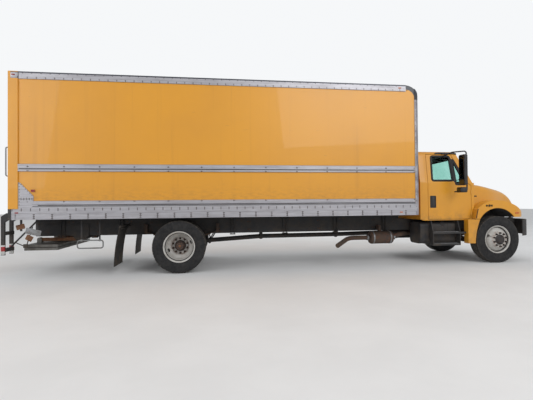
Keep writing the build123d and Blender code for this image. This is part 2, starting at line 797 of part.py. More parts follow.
# Cab steps: two treads a side on end plates, hung under the cab's sill in front of the tank
step_front = -860.0  # from the front axle
step_length = 640.0
step_inner_y = 945.0
step_outer_y = 1085.0
step_levels = (400.0, 650.0)
tread_thickness = 40.0
step_plate = 14.0
with BuildPart() as cab_steps:
    for side in (1, -1):
        for z in step_levels:
            step_y = side * (step_inner_y + step_outer_y) / 2
            with Locations((x_front_axle + step_front - step_length / 2, step_y, z)):
                Box(
                    step_length,
                    step_outer_y - step_inner_y,
                    tread_thickness,
                    align=(Align.CENTER, Align.CENTER, Align.MIN),
                )
        for x in (x_front_axle + step_front - step_length, x_front_axle + step_front - step_plate):
            with BuildSketch(Plane.YZ.offset(x)):
                with BuildLine():
                    Polyline(
                        (side * step_inner_y, step_levels[0]),
                        (side * step_outer_y, step_levels[0]),
                        (side * step_outer_y, step_levels[1] + tread_thickness),
                        (side * (step_outer_y - 90), sill_bottom),
                        (side * step_inner_y, sill_bottom),
                        close=True,
                    )
                make_face()
            extrude(amount=step_plate)
finish(cab_steps, "cab_steps")

# Fender skirts: the fixed lower ends of the fenders behind the front wheels, on the steps' end plates
skirt_outer_y = fender_half_width
skirt_inner_y = 1010.0
skirt_wall = 14.0
skirt_top = 955.0
skirt_bottom = 440.0
skirt_rear = -725.0  # from the front axle
arch_foot = (-557.0, 445.0)
arch_middle = (-520.0, 720.0)
arch_shoulder = (-441.0, 965.0)
with BuildPart() as fender_skirts:
    for side in (1, -1):
        with BuildSketch(Plane.XZ.offset(-side * skirt_outer_y)):
            with BuildLine():
                Line(
                    (x_front_axle + skirt_rear, skirt_bottom),
                    (x_front_axle + arch_foot[0], skirt_bottom),
                )
                ThreePointArc(
                    (x_front_axle + arch_foot[0], skirt_bottom),
                    (x_front_axle + arch_middle[0], arch_middle[1]),
                    (x_front_axle + arch_shoulder[0] - 4, skirt_top),
                )
                Polyline(
                    (x_front_axle + arch_shoulder[0] - 4, skirt_top),
                    (x_front_axle + skirt_rear, skirt_top),
                    (x_front_axle + skirt_rear, skirt_bottom),
                )
            make_face()
        extrude(amount=side * skirt_wall)
        # The return flange that meets the steps
        with Locations((x_front_axle + skirt_rear, side * skirt_inner_y, skirt_bottom)):
            Box(
                skirt_wall,
                skirt_outer_y - skirt_inner_y,
                skirt_top - skirt_bottom,
                align=(Align.MIN, Align.MIN if side > 0 else Align.MAX, Align.MIN),
            )
        with Locations((x_front_axle + skirt_rear, side * skirt_inner_y, step_levels[1])):
            Box(
                skirt_rear - step_front,
                step_outer_y - skirt_inner_y,
                tread_thickness,
                align=(Align.MAX, Align.MIN if side > 0 else Align.MAX, Align.MIN),
            )
finish(fender_skirts, "fender_skirts")

# Front bumper: a channel bowed in plan, on two blocks at the rails' front ends
bumper_top = 935.0
bumper_bottom = 583.0
bumper_wall = 12.0
bumper_flat_y = 500.0
bumper_half_width = 1140.0
bumper_sweep = 440.0
bow_radius = (bumper_sweep**2 + (bumper_half_width - bumper_flat_y) ** 2) / (2 * bumper_sweep)
plate_hole_radius = 3.5
plate_hole_spacing = 177.8
with BuildPart() as front_bumper:
    with BuildSketch(Plane.XY.offset(bumper_bottom)):
        for inset, mode in ((0, Mode.ADD), (bumper_wall, Mode.SUBTRACT)):
            end_x = x_bumper_face - bumper_sweep - inset * (1 - bumper_sweep / bow_radius)
            end_y = bumper_half_width - inset * (bumper_half_width - bumper_flat_y) / bow_radius
            x = x_bumper_face - inset
            with BuildLine():
                Line((x, -bumper_flat_y), (x, bumper_flat_y))
                TangentArc((x, bumper_flat_y), (end_x, end_y), tangent=(0, 1))
                TangentArc((x, -bumper_flat_y), (end_x, -end_y), tangent=(0, -1))
                Line((end_x, -end_y), (end_x, end_y))
            make_face(mode=mode)
    extrude(amount=bumper_top - bumper_bottom)
    x = x_bumper_face - bumper_wall / 2
    with Locations((x, rail_mid_y, frame_top - 50), (x, -rail_mid_y, frame_top - 50)):
        Box(
            frame_front_setback - bumper_wall / 2,
            rail_flange,
            rail_depth - 60,
            align=(Align.MAX, Align.CENTER, Align.MAX),
        )
    with BuildSketch(Plane.YZ.offset(x_bumper_face + 1)):
        with Locations((0, (bumper_top + bumper_bottom) / 2)):
            with GridLocations(plate_hole_spacing, 0, 2, 1):
                Circle(plate_hole_radius)
    extrude(amount=-2 * bumper_wall, mode=Mode.SUBTRACT)
finish(front_bumper, "front_bumper")


def freight_form(half_width, x_front, top, nose_radius, corner_radius):
    """The freight box as one solid: rounded over at the top of its nose and at its front corners."""
    with BuildPart() as form:
        with BuildSketch(Plane.XZ.offset(-half_width)) as profile:
            with Locations((x_box_rear, box_bottom)):
                Rectangle(x_front - x_box_rear, top - box_bottom, align=(Align.MIN, Align.MIN))
            fillet(profile.vertices().group_by(Axis.X)[-1].sort_by(Axis.Y)[-1], nose_radius)
        extrude(amount=2 * half_width)
        with BuildSketch(Plane.XY.offset(box_bottom)) as plan:
            with Locations((x_box_rear, 0)):
                Rectangle(x_front - x_box_rear, 2 * half_width, align=(Align.MIN, Align.CENTER))
            fillet(plan.vertices().group_by(Axis.X)[-1], corner_radius)
        extrude(amount=top - box_bottom, mode=Mode.INTERSECT)
    return form.part


# Freight box shell: the skin over the walls and roof, the space inside, and the front posts' cover
box_corner_radius = 100.0
skin_front = x_box_front - rail_plate
skin = freight_form(
    wall_face_y, skin_front, box_top, box_nose_radius - rail_plate, box_corner_radius - rail_plate
)
hold = freight_form(
    wall_inner_y,
    skin_front - wall_thickness,
    box_top - roof_thickness,
    box_nose_radius - rail_plate - wall_thickness,
    box_corner_radius - rail_plate - wall_thickness,
)
cover = freight_form(rail_face_y, x_box_front, box_top, box_nose_radius, box_corner_radius)
x_wall_rear = x_box_rear + rear_post_depth
x_post_rear = x_box_front - front_post_width
nose_z = box_top - box_nose_radius
x_nose = x_box_front - box_nose_radius

with BuildPart() as box_roof:
    add(skin)
    add(hold, mode=Mode.SUBTRACT)
    with Locations((x_wall_rear, 0, nose_z)):
        Box(
            x_box_front - x_wall_rear,
            2 * wall_inner_y,
            box_top - nose_z,
            align=(Align.MIN, Align.CENTER, Align.MIN),
            mode=Mode.INTERSECT,
        )
finish(box_roof, "box_roof")

# The cover plates round the two front corners, up over the nose
with BuildPart() as corner_plates:
    add(cover)
    add(skin, mode=Mode.SUBTRACT)
    with Locations((x_post_rear, 0, box_bottom)):
        Box(
            front_post_width,
            2 * rail_face_y,
            box_top - box_bottom,
            align=(Align.MIN, Align.CENTER, Align.MIN),
            mode=Mode.INTERSECT,
        )
    with Locations((x_box_front, 0, box_bottom)):
        Box(
            front_post_width,
            2 * (rail_face_y - box_corner_radius),
            box_top - box_bottom,
            align=(Align.CENTER, Align.CENTER, Align.MIN),
            mode=Mode.SUBTRACT,
        )

with BuildPart() as box_front_wall:
    add(skin)
    add(hold, mode=Mode.SUBTRACT)
    with Locations((x_post_rear, 0, box_bottom)):
        Box(
            front_post_width,
            2 * wall_face_y,
            nose_z - box_bottom,
            align=(Align.MIN, Align.CENTER, Align.MIN),
            mode=Mode.INTERSECT,
        )
    add(corner_plates.part)
finish(box_front_wall, "box_front_wall")

# Side walls: flat panels between the rear posts and the front wall, and under the roof
for name, side in sides.items():
    with BuildPart() as wall:
        add(skin)
        with BuildSketch(Plane.XY.offset(box_bottom)):
            with Locations((x_wall_rear, side * wall_inner_y)):
                Rectangle(
                    x_box_front - x_wall_rear,
                    wall_thickness,
                    align=(Align.MIN, Align.MIN if side > 0 else Align.MAX),
                )
        extrude(amount=box_top - box_bottom, mode=Mode.INTERSECT)
        with Locations((x_post_rear, side * wall_inner_y, box_bottom)):
            Box(
                front_post_width,
                4 * wall_thickness,
                nose_z - box_bottom,
                align=(Align.MIN, Align.CENTER, Align.MIN),
                mode=Mode.SUBTRACT,
            )
    finish(wall, f"box_{name}_wall")

# Rails along each side wall: bottom rail, two rub rails, top rail and the corner gusset plate
x_rub_front = x_post_rear - 14
low_rub_rear = x_box_rear + 410
low_rub_top = low_rub_bottom + sum(low_rub_heights)
x_gusset_front = x_box_rear + 428
gusset = [
    (x_wall_rear, 1757.0),
    (x_box_rear + 210, 1737.0),
    (x_gusset_front, 1504.0),
    (x_gusset_front, low_rub_top),
    (low_rub_rear, low_rub_top),
    (low_rub_rear, bottom_rail_top),
    (x_wall_rear, bottom_rail_top),
]
for name, side in sides.items():
    outward = Align.MIN if side > 0 else Align.MAX
    with BuildPart() as rails:
        for x_rear, x_front, bottom, top, depth in (
            (x_wall_rear, x_post_rear, box_bottom, bottom_rail_top, rail_plate),
            (x_wall_rear, x_nose, box_top - top_rail_height, box_top, rail_plate),
            (x_box_rear + rail_end_setback, x_wall_rear, box_bottom, rear_post_foot, rail_plate),
        ):
            with Locations((x_rear, side * wall_face_y, bottom)):
                Box(x_front - x_rear, depth, top - bottom, align=(Align.MIN, outward, Align.MIN))
        for x_rear, bottom, bands in (
            (x_wall_rear, mid_rub_bottom, rub_rail_heights),
            (low_rub_rear, low_rub_bottom, low_rub_heights),
        ):
            low, groove, high = bands
            with BuildSketch(side_plane(x_rear, wall_face_y, bottom, side)):
                with BuildLine():
                    depth = rail_plate + rub_proud
                    Polyline(
                        (0, 0),
                        (depth - 6, 0),
                        (depth, 6),
                        (depth, low),
                        (rail_plate, low),
                        (rail_plate, low + groove),
                        (depth, low + groove),
                        (depth, low + groove + high - 6),
                        (depth - 6, low + groove + high),
                        (0, low + groove + high),
                        close=True,
                    )
                make_face()
            extrude(amount=side * (x_rub_front - x_rear))
        with BuildSketch(Plane.XZ.offset(-side * rail_face_y)):
            with BuildLine():
                Polyline(*gusset, close=True)
            make_face()
        extrude(amount=side * rail_plate)
    finish(rails, f"box_{name}_rails")

# Box floor: sills on the rails, cross beams and the deck, with the tie of the front wall
sill_width = 76.0
with BuildPart() as box_underframe:
    for side in (1, -1):
        with Locations((x_box_rear + frame_rear_setback, side * rail_mid_y, frame_top)):
            Box(
                box_length - frame_rear_setback - 60,
                sill_width,
                box_bottom - frame_top,
                align=(Align.MIN, Align.CENTER, Align.MIN),
            )
    beam_run = skin_front - wall_thickness - x_wall_rear - floor_beam_width
    beam_count = int(beam_run // floor_beam_pitch) + 1
    with BuildSketch(Plane.XZ.offset(-wall_inner_y)):
        for index in range(beam_count):
            x = x_wall_rear + index * floor_beam_pitch
            with Locations((x, box_bottom)):
                Rectangle(floor_beam_width, floor_beam_height, align=(Align.MIN, Align.MIN))
            with Locations((x + floor_beam_wall, box_bottom + floor_beam_wall)):
                Rectangle(
                    floor_beam_width,
                    floor_beam_height - 2 * floor_beam_wall,
                    align=(Align.MIN, Align.MIN),
                    mode=Mode.SUBTRACT,
                )
        with Locations((x_wall_rear, box_bottom + floor_beam_height)):
            Rectangle(
                skin_front - wall_thickness - x_wall_rear,
                deck_thickness,
                align=(Align.MIN, Align.MIN),
            )
    extrude(amount=2 * wall_inner_y)
    # Its front corners follow the wall's
    with BuildSketch(Plane.XY.offset(frame_top)) as plan:
        with Locations((x_box_rear, 0)):
            Rectangle(
                skin_front - wall_thickness - x_box_rear,
                2 * wall_inner_y,
                align=(Align.MIN, Align.CENTER),
            )
        fillet(plan.vertices().group_by(Axis.X)[-1], box_corner_radius - rail_plate - wall_thickness)
    extrude(amount=deck_top - frame_top, mode=Mode.INTERSECT)
finish(box_underframe, "box_underframe")

# Rear frame: a portal of posts, header and sill that holds the roll-up door
door_opening_half = box_width / 2 - rear_post_width
door_track = 60.0
door_thickness = 38.0
with BuildPart() as box_rear_frame:
    with BuildSketch(Plane.YZ.offset(x_box_rear)):
        with Locations((0, box_bottom)):
            Rectangle(box_width, box_top - box_bottom, align=(Align.CENTER, Align.MIN))
        with Locations((0, deck_top)):
            Rectangle(
                2 * door_opening_half,
                box_top - header_height - deck_top,
                align=(Align.CENTER, Align.MIN),
                mode=Mode.SUBTRACT,
            )
    extrude(amount=rear_post_depth)
    for side in (1, -1):
        with Locations((x_box_rear + rail_end_setback, side * wall_face_y, box_bottom)):
            Box(
                rear_post_depth - rail_end_setback,
                box_width / 2 - wall_face_y,
                rear_post_foot - box_bottom,
                align=(Align.MIN, Align.MIN if side > 0 else Align.MAX, Align.MIN),
                mode=Mode.SUBTRACT,
            )
    fillet(box_rear_frame.edges().filter_by(Axis.Z).group_by(Axis.X)[0].sort_by(Axis.Y)[0], 12)
    fillet(box_rear_frame.edges().filter_by(Axis.Z).group_by(Axis.X)[0].sort_by(Axis.Y)[-1], 12)
finish(box_rear_frame, "box_rear_frame")

# Roll-up door, shut: hinged slats with a groove between each and a pull handle strip below
slats = 8
slat_groove = 10.0
slat_height = (box_top - header_height - deck_top) / slats
with BuildPart() as box_rear_door:
    with BuildSketch(Plane.XZ.offset(-door_opening_half)):
        with Locations((x_box_rear + door_track, deck_top)):
            Rectangle(door_thickness, slats * slat_height, align=(Align.MIN, Align.MIN))
        for index in range(1, slats):
            with Locations((x_box_rear + door_track, deck_top + index * slat_height)):
                Rectangle(2 * slat_groove, slat_groove, mode=Mode.SUBTRACT)
    extrude(amount=2 * door_opening_half)
    with Locations((x_box_rear + door_track, 0, deck_top + 60)):
        Box(60, 260, 50, align=(Align.CENTER, Align.CENTER, Align.MIN))
        Box(28, 200, 30, align=(Align.CENTER, Align.CENTER, Align.MIN))
finish(box_rear_door, "box_rear_door")

# Rear steps: a pair of posts each side behind the box, with two rungs between them
post_width = 40.0
rung_height = 60.0
step_rear_y = (box_width / 2 - 310, box_width / 2 - 40)
rung_levels = (500.0, 800.0)
post_foot = rung_levels[0] - rung_height
rung_y = sum(step_rear_y) / 2
rung_length = step_rear_y[1] - step_rear_y[0]
with BuildPart() as rear_bumper:
    for side in (1, -1):
        for y in step_rear_y:
            with BuildSketch(Plane.XZ.offset(-(side * y + post_width / 2))):
                with BuildLine():
                    Polyline(
                        (x_box_rear, deck_top - 10),
                        (x_box_rear - 30, deck_top - 10),
                        (x_tail, deck_top - 70),
                        (x_tail, post_foot),
                        (x_tail + 60, post_foot),
                        (x_tail + 60, box_bottom - 40),
                        (x_box_rear, box_bottom),
                        close=True,
                    )
                make_face()
            extrude(amount=post_width)
        for z in rung_levels:
            with Locations((x_tail, side * rung_y, z)):
                Box(80, rung_length, rung_height, align=(Align.MIN, Align.CENTER, Align.MIN))
finish(rear_bumper, "rear_bumper")

# Mud flaps: curved rubber sheets hung from a bar off each rail, behind the rear tyres
flap_x = 1090.0  # behind the rear axle
flap_top = 935.0
flap_bottom = 165.0
flap_rake = 110.0
flap_thickness = 10.0
flap_y = (600.0, 1215.0)
with BuildPart() as mud_flaps:
    for side in (1, -1):
        x = x_rear_axle - flap_x
        near_y = flap_y[1] if side > 0 else -flap_y[0]
        with BuildSketch(Plane.XZ.offset(-near_y)):
            with BuildLine():
                rear_face = ThreePointArc(
                    (x, flap_top),
                    (x - flap_rake * 0.7, (flap_top + flap_bottom) / 2),
                    (x - flap_rake, flap_bottom),
                )
                front_face = ThreePointArc(
                    (x + flap_thickness, flap_top),
                    (x - flap_rake * 0.7 + flap_thickness, (flap_top + flap_bottom) / 2),
                    (x - flap_rake + flap_thickness, flap_bottom),
                )
                Line(rear_face @ 0, front_face @ 0)
                Line(rear_face @ 1, front_face @ 1)
            make_face()
        extrude(amount=flap_y[1] - flap_y[0])
        with Locations((x + flap_thickness / 2, side * rail_outer_y, flap_top)):
            Box(
                40,
                flap_y[1] - rail_outer_y,
                40,
                align=(Align.CENTER, Align.MIN if side > 0 else Align.MAX, Align.MAX),
            )
finish(mud_flaps, "mud_flaps")

# Liftgate: side plates and a cross shaft on the frame, two arms, and the folded platform
gate_pivot_x = x_rear_axle - 2050.0
gate_pivot_z = 640.0
arm_length = 800.0
arm_depth = 70.0
arm_width_y = 30.0
gate_shaft_radius = 24.0
gate_eye_radius = 44.0
gate_plate = 16.0
with BuildPart() as liftgate_mount:
    for side in (1, -1):
        with BuildSketch(Plane.XZ.offset(-(rail_outer_y + gate_plate) if side > 0 else rail_outer_y)):
            with BuildLine():
                Polyline(
                    (gate_pivot_x - 700, frame_top - 20),
                    (gate_pivot_x + 160, frame_top - 20),
                    (gate_pivot_x + 160, frame_bottom),
                    (gate_pivot_x + 60, gate_pivot_z - 55),
                    (gate_pivot_x - 60, gate_pivot_z - 55),
                    (gate_pivot_x - 160, frame_bottom),
                    (gate_pivot_x - 700, frame_bottom + 60),
                    close=True,
                )
            make_face()
        extrude(amount=gate_plate)
    with Locations(Location((gate_pivot_x, 0, gate_pivot_z), (90, 0, 0))):
        Cylinder(gate_shaft_radius, 2 * rail_outer_y + gate_plate)
finish(liftgate_mount, "liftgate_mount")

with BuildPart() as liftgate_arms:
    for y in (rail_mid_y + arm_width_y / 2, -rail_mid_y + arm_width_y / 2):
        with BuildSketch(Plane.XZ.offset(-y)):
            with Locations((gate_pivot_x - arm_length / 2, gate_pivot_z)):
                Rectangle(arm_length, arm_depth)
            with Locations((gate_pivot_x, gate_pivot_z), (gate_pivot_x - arm_length, gate_pivot_z)):
                Circle(gate_eye_radius)
                Circle(gate_shaft_radius + pin_gap, mode=Mode.SUBTRACT)
        extrude(amount=arm_width_y)
    # Torsion tube that makes one frame of the two arms
    with Locations(Location((gate_pivot_x - 0.3 * arm_length, 0, gate_pivot_z), (90, 0, 0))):
        Cylinder(arm_depth / 2 - 5, 2 * rail_mid_y)
finish(liftgate_arms, "liftgate_arms")

platform_half_width = 900.0
platform_length = 600.0
platform_leaf = 48.0
leaf_gap = 12.0
platform_top = gate_pivot_z - gate_eye_radius - 14
lug_thickness = 20.0
lug_gap = 6.0
x_gate_end = gate_pivot_x - arm_length
with BuildPart() as liftgate_platform:
    with BuildSketch(Plane.XZ.offset(-platform_half_width)):
        with Locations((x_gate_end - 60, platform_top)):
            Rectangle(platform_length, platform_leaf, align=(Align.MIN, Align.MAX))
        with Locations((x_gate_end - 60, platform_top - platform_leaf - leaf_gap)):
            Rectangle(platform_length, platform_leaf, align=(Align.MIN, Align.MAX))
        with Locations((x_gate_end - 60, platform_top)):
            Rectangle(platform_leaf, 2 * platform_leaf + leaf_gap, align=(Align.MIN, Align.MAX))
    extrude(amount=2 * platform_half_width)
    for side in (1, -1):
        for y in (
            rail_mid_y - arm_width_y / 2 - lug_gap - lug_thickness / 2,
            rail_mid_y + arm_width_y / 2 + lug_gap + lug_thickness / 2,
        ):
            with BuildSketch(Plane.XZ.offset(-(side * y + lug_thickness / 2))):
                with Locations((x_gate_end, gate_pivot_z)):
                    Circle(gate_eye_radius)
                with Locations((x_gate_end, gate_pivot_z)):
                    Rectangle(
                        2 * gate_eye_radius,
                        gate_pivot_z - platform_top,
                        align=(Align.CENTER, Align.MAX),
                    )
            extrude(amount=lug_thickness)
        with Locations(Location((x_gate_end, side * rail_mid_y, gate_pivot_z), (90, 0, 0))):
            Cylinder(gate_shaft_radius, arm_width_y + 2 * lug_gap + 2 * lug_thickness)
finish(liftgate_platform, "liftgate_platform")


def cab_form(inset):
    """The cab as one solid, its faces but the lowest moved in by inset, cut by the screen."""
    half = cab_half_width - inset
    edge_half = roof_edge_half_width - inset
    low = sill_bottom - (10 if inset else 0)
    with BuildPart() as form:
        with BuildSketch(Plane.YZ.offset(x_cab_back + inset)) as section:
            with BuildLine():
                Polyline(
                    (-edge_half, roof_edge_z - inset),
                    (-half, belt_z),
                    (-half, low),
                    (half, low),
                    (half, belt_z),
                    (edge_half, roof_edge_z - inset),
                )
                ThreePointArc(
                    (edge_half, roof_edge_z - inset),
                    (0, roof_crown_z - inset),
                    (-edge_half, roof_edge_z - inset),
                )
            make_face()
            fillet(section.vertices().group_by(Axis.Y)[-1], roof_corner_radius - inset)
            fillet(section.vertices().sort_by(lambda v: abs(v.Y - belt_z))[0:2], belt_radius)
        extrude(amount=cab_length - 2 * inset)
        # What lies in front of the bowed, raked windscreen is cut away
        foot_x = x_front_axle + screen_base[0] - inset / sin(screen_rake)
        with BuildSketch(Plane.XY.offset(screen_base[1])) as ahead:
            with BuildLine():
                ThreePointArc(
                    (foot_x, -half - 10),
                    (foot_x + screen_bow, 0),
                    (foot_x, half + 10),
                )
                Polyline(
                    (foot_x, half + 10),
                    (x_cab_front + screen_reach, half + 10),
                    (x_cab_front + screen_reach, -half - 10),
                    (foot_x, -half - 10),
                )
            make_face()
        extrude(
            ahead.sketch,
            amount=screen_reach,
            dir=(screen_head[0] - screen_base[0], 0, screen_head[1] - screen_base[1]),
            mode=Mode.SUBTRACT,
        )
    return form.part


def side_prism(points, radius, half_width=1200.0):
    """A side outline with rounded corners, in offsets from the front axle, run across the cab."""
    with BuildPart() as prism:
        with BuildSketch(Plane.XZ.offset(-half_width)) as outline:
            with BuildLine():
                Polyline(*[(x_front_axle + x, z) for x, z in points], close=True)
            make_face()
            fillet(outline.vertices(), radius)
        extrude(amount=2 * half_width)
    return prism.part


def slab(x_low, x_high, y_low, y_high, z_low, z_high):
    """A plain block between three pairs of planes, for cutting and dividing."""
    with BuildPart() as block:
        with Locations(((x_low + x_high) / 2, (y_low + y_high) / 2, (z_low + z_high) / 2)):
            Box(x_high - x_low, abs(y_high - y_low), z_high - z_low)
    return block.part


# Cab shell: one hollow form, divided into roof, back, sides and doors where the real panels meet
cab_length = cab_back_offset - cab_front_offset
roof_corner_radius = 110.0
belt_radius = 400.0
screen_rake = radians(62.0)
screen_reach = 900.0  # how far the cut in front of the windscreen runs
cab_outer = cab_form(0.0)
cab_inner = cab_form(cab_wall)
door_outline = [
    (-door_rear_offset, door_bottom),
    (-door_rear_offset, roof_joint_z - panel_gap),
    (-972.0, roof_joint_z - panel_gap),
    (-628.0, screen_base[1]),
    (-door_front_offset, 1690.0),
    (-door_front_offset, 1130.0),
    (-590.0, door_bottom),
]
opening_outline = [
    (-door_rear_offset - panel_gap, door_bottom - panel_gap),
    (-door_rear_offset - panel_gap, roof_joint_z + 1),
    (-964.0, roof_joint_z + 1),
    (-617.0, screen_base[1]),
    (-door_front_offset + panel_gap, 1696.0),
    (-door_front_offset + panel_gap, 1128.0),
    (-584.0, door_bottom - panel_gap),
]
side_window = [(-1455.0, 1803.0), (-1439.0, 2342.0), (-1008.0, 2342.0), (-965.0, 1803.0)]
vent_window = [(-900.0, 1722.0), (-948.0, 2262.0), (-925.0, 2262.0), (-672.0, 1722.0)]
rear_window_half = 430.0
rear_window = (1800.0, 2200.0)
door_prism = side_prism(door_outline, 24.0)
opening_prism = side_prism(opening_outline, 28.0)
window_prisms = [side_prism(side_window, 30.0), side_prism(vent_window, 9.0)]
far = 2 * cab_half_width
screen_half = 850.0
screen_cut_z = (1800.0, 2402.0)
with BuildPart() as screen_opening:
    with BuildSketch(Plane.YZ.offset(x_front_axle - 1000)) as outline:
        with BuildLine():
            Polyline(
                (-screen_half, screen_cut_z[0]),
                (-screen_half + 60, screen_cut_z[1]),
                (screen_half - 60, screen_cut_z[1]),
                (screen_half, screen_cut_z[0]),
                close=True,
            )
        make_face()
        fillet(outline.vertices(), 70)
    extrude(amount=700)
x_back_inner = x_cab_back + cab_wall

with BuildPart() as cab_roof:
    add(cab_outer)
    add(cab_inner, mode=Mode.SUBTRACT)
    add(slab(x_cab_back, x_cab_front, -far, far, roof_joint_z, roof_crown_z + 10), mode=Mode.INTERSECT)
    add(screen_opening.part, mode=Mode.SUBTRACT)
finish(cab_roof, "cab_roof")

with BuildPart() as cab_back:
    add(cab_outer)
    add(slab(x_cab_back, x_back_inner, -far, far, frame_top, roof_joint_z), mode=Mode.INTERSECT)
    with BuildSketch(Plane.YZ.offset(x_cab_back)):
        with Locations((0, sum(rear_window) / 2)):
            RectangleRounded(2 * rear_window_half, rear_window[1] - rear_window[0], 60)
    extrude(amount=cab_wall, mode=Mode.SUBTRACT)
finish(cab_back, "cab_back")

with BuildPart() as cab_sides:
    add(cab_outer)
    add(cab_inner, mode=Mode.SUBTRACT)
    add(slab(x_back_inner, x_cab_front, -far, far, sill_bottom, roof_joint_z), mode=Mode.INTERSECT)
    add(opening_prism, mode=Mode.SUBTRACT)
    add(screen_opening.part, mode=Mode.SUBTRACT)
    add(
        slab(
            x_back_inner,
            x_cab_front,
            -cab_half_width + cab_wall,
            cab_half_width - cab_wall,
            sill_bottom - 10,
            screen_cut_z[0] + 10,
        ),
        mode=Mode.SUBTRACT,
    )
finish(cab_sides, "cab_sides")

# Cab floor and firewall, with the cowl under the windscreen
tunnel_half = 260.0
tunnel_top = 1130.0
tunnel_length = 560.0
with BuildPart() as cab_floor:
    add(cab_outer)
    add(
        slab(
            x_back_inner,
            x_cab_front,
            -cab_half_width + cab_wall,
            cab_half_width - cab_wall,
            frame_top,
            screen_cut_z[0] + 10,
        ),
        mode=Mode.INTERSECT,
    )
    add(
        slab(
            x_back_inner,
            x_cab_front - cab_wall,
            -cab_half_width,
            cab_half_width,
            frame_top + cab_floor_thickness,
            screen_cut_z[0] + 10,
        ),
        mode=Mode.SUBTRACT,
    )
    add(screen_opening.part, mode=Mode.SUBTRACT)
    # Engine tunnel, hollow below
    with BuildSketch(Plane.YZ.offset(x_cab_front - cab_wall - tunnel_length)):
        with Locations((0, frame_top)):
            Rectangle(2 * tunnel_half, tunnel_top - frame_top, align=(Align.CENTER, Align.MIN))
    extrude(amount=tunnel_length)
    with BuildSketch(Plane.YZ.offset(x_cab_front - cab_wall - tunnel_length + cab_floor_thickness)):
        with Locations((0, frame_top)):
            Rectangle(
                2 * tunnel_half - 2 * cab_floor_thickness,
                tunnel_top - frame_top - cab_floor_thickness,
                align=(Align.CENTER, Align.MIN),
            )
    extrude(amount=tunnel_length + cab_wall, mode=Mode.SUBTRACT)
finish(cab_floor, "cab_floor")

# Panes all round, in the middle of the cab's wall; the windows are cut out of them
with BuildPart() as glass_shell:
    add(cab_form(cab_wall / 2))
    add(cab_form(cab_wall / 2 + glass_thickness), mode=Mode.SUBTRACT)

# Windscreen and rear window
with BuildPart() as cab_glass:
    add(glass_shell.part)
    add(screen_opening.part, mode=Mode.INTERSECT)
    with BuildSketch(Plane.YZ.offset(x_cab_back + cab_wall / 2)):
        with Locations((0, sum(rear_window) / 2)):
            RectangleRounded(2 * rear_window_half, rear_window[1] - rear_window[0], 60)
    extrude(amount=glass_thickness)
finish(cab_glass, "cab_glass")

# Dashboard with the steering column and wheel on the driver's side
dash_depth = 260.0
dash_bottom = 1290.0
dash_top = 1660.0
dash_half = cab_half_width - cab_wall - 20
steering_y = 480.0
steering_wheel_radius = 225.0
steering_rim_radius = 16.0
steering_tilt = 40.0
steering_centre = (x_front_axle - 915.0, steering_y, 1615.0)
x_dash_front = x_cab_front - cab_wall
column = Location(steering_centre, (0, -steering_tilt, 0))
with BuildPart() as dashboard:
    with BuildSketch(Plane.XZ.offset(-dash_half)) as outline:
        with BuildLine():
            Polyline(
                (x_dash_front, dash_bottom),
                (x_dash_front - dash_depth * 0.6, dash_bottom + 20),
                (x_dash_front - dash_depth, dash_top - 110),
                (x_dash_front - dash_depth * 0.8, dash_top),
                (x_dash_front, dash_top - 30),
                close=True,
            )
        make_face()
        fillet(outline.vertices().group_by(Axis.X)[0:3], 30)
    extrude(amount=2 * dash_half)
    with Locations(column):
        Torus(steering_wheel_radius, steering_rim_radius)
        with PolarLocations(0, 3, start_angle=90):
            Box(steering_wheel_radius, 40, 14, align=(Align.MIN, Align.CENTER, Align.CENTER))
        Cylinder(70, 50)
        Cylinder(32, 400, align=(Align.CENTER, Align.CENTER, Align.MAX))
finish(dashboard, "dashboard")

# Seats: pedestals on the floor, and plain soft cushions and backs that touch nothing hard
seat_y = 500.0
seat_width = 500.0
seat_rear = 1600.0  # behind the front axle
cushion_depth = 470.0
cushion_top = 1430.0
cushion_thickness = 150.0
back_height = 620.0
back_thickness = 130.0
head_height = 170.0
cab_floor_face = frame_top + cab_floor_thickness
x_seat_rear = x_front_axle - seat_rear
with BuildPart() as seat_bases:
    for side in (1, -1):
        with BuildSketch(Plane.XY.offset(cab_floor_face)):
            with Locations((x_seat_rear + 60, side * seat_y)):
                Rectangle(cushion_depth - 60, seat_width - 60, align=(Align.MIN, Align.CENTER))
        extrude(amount=cushion_top - cushion_thickness - seat_gap - cab_floor_face, taper=2)
finish(seat_bases, "seat_bases")

with BuildPart() as seats:
    for side in (1, -1):
        with BuildSketch(Plane.XZ.offset(-(side * seat_y + seat_width / 2))) as outline:
            with BuildLine():
                Polyline(
                    (x_seat_rear + 30, cushion_top - cushion_thickness),
                    (x_seat_rear + cushion_depth, cushion_top - cushion_thickness),
                    (x_seat_rear + cushion_depth + 20, cushion_top),
                    (x_seat_rear + back_thickness + 20, cushion_top - 10),
                    (x_seat_rear + 60, cushion_top + back_height),
                    (x_seat_rear + 30, cushion_top + back_height + head_height),
                    (x_seat_rear - 40, cushion_top + back_height + head_height),
                    (x_seat_rear - 60, cushion_top + back_height),
                    close=True,
                )
            make_face()
            fillet(outline.vertices(), 28)
        extrude(amount=seat_width)
finish(seats, "seats")


def tube_along(points, radius, bend):
    """A round bar along a path of straight runs and arcs, added to the open part."""
    with BuildLine() as route:
        FilletPolyline(*points, radius=bend)
    start = Plane(origin=points[0], z_dir=Vector(*points[1]) - Vector(*points[0]))
    with BuildSketch(start) as round_bar:
        Circle(radius)
    sweep(round_bar.sketch, path=route.wires()[0], transition=Transition.RIGHT)


# Doors: each is the shell inside the door's outline, with window openings, handle and hinges
handle_x = (-1508.0, -1382.0)
handle_z = (1219.0, 1469.0)
handle_depth = 18.0
grip_width = 34.0
mirror_arm_radius = 14.0
mirror_bend = 45.0
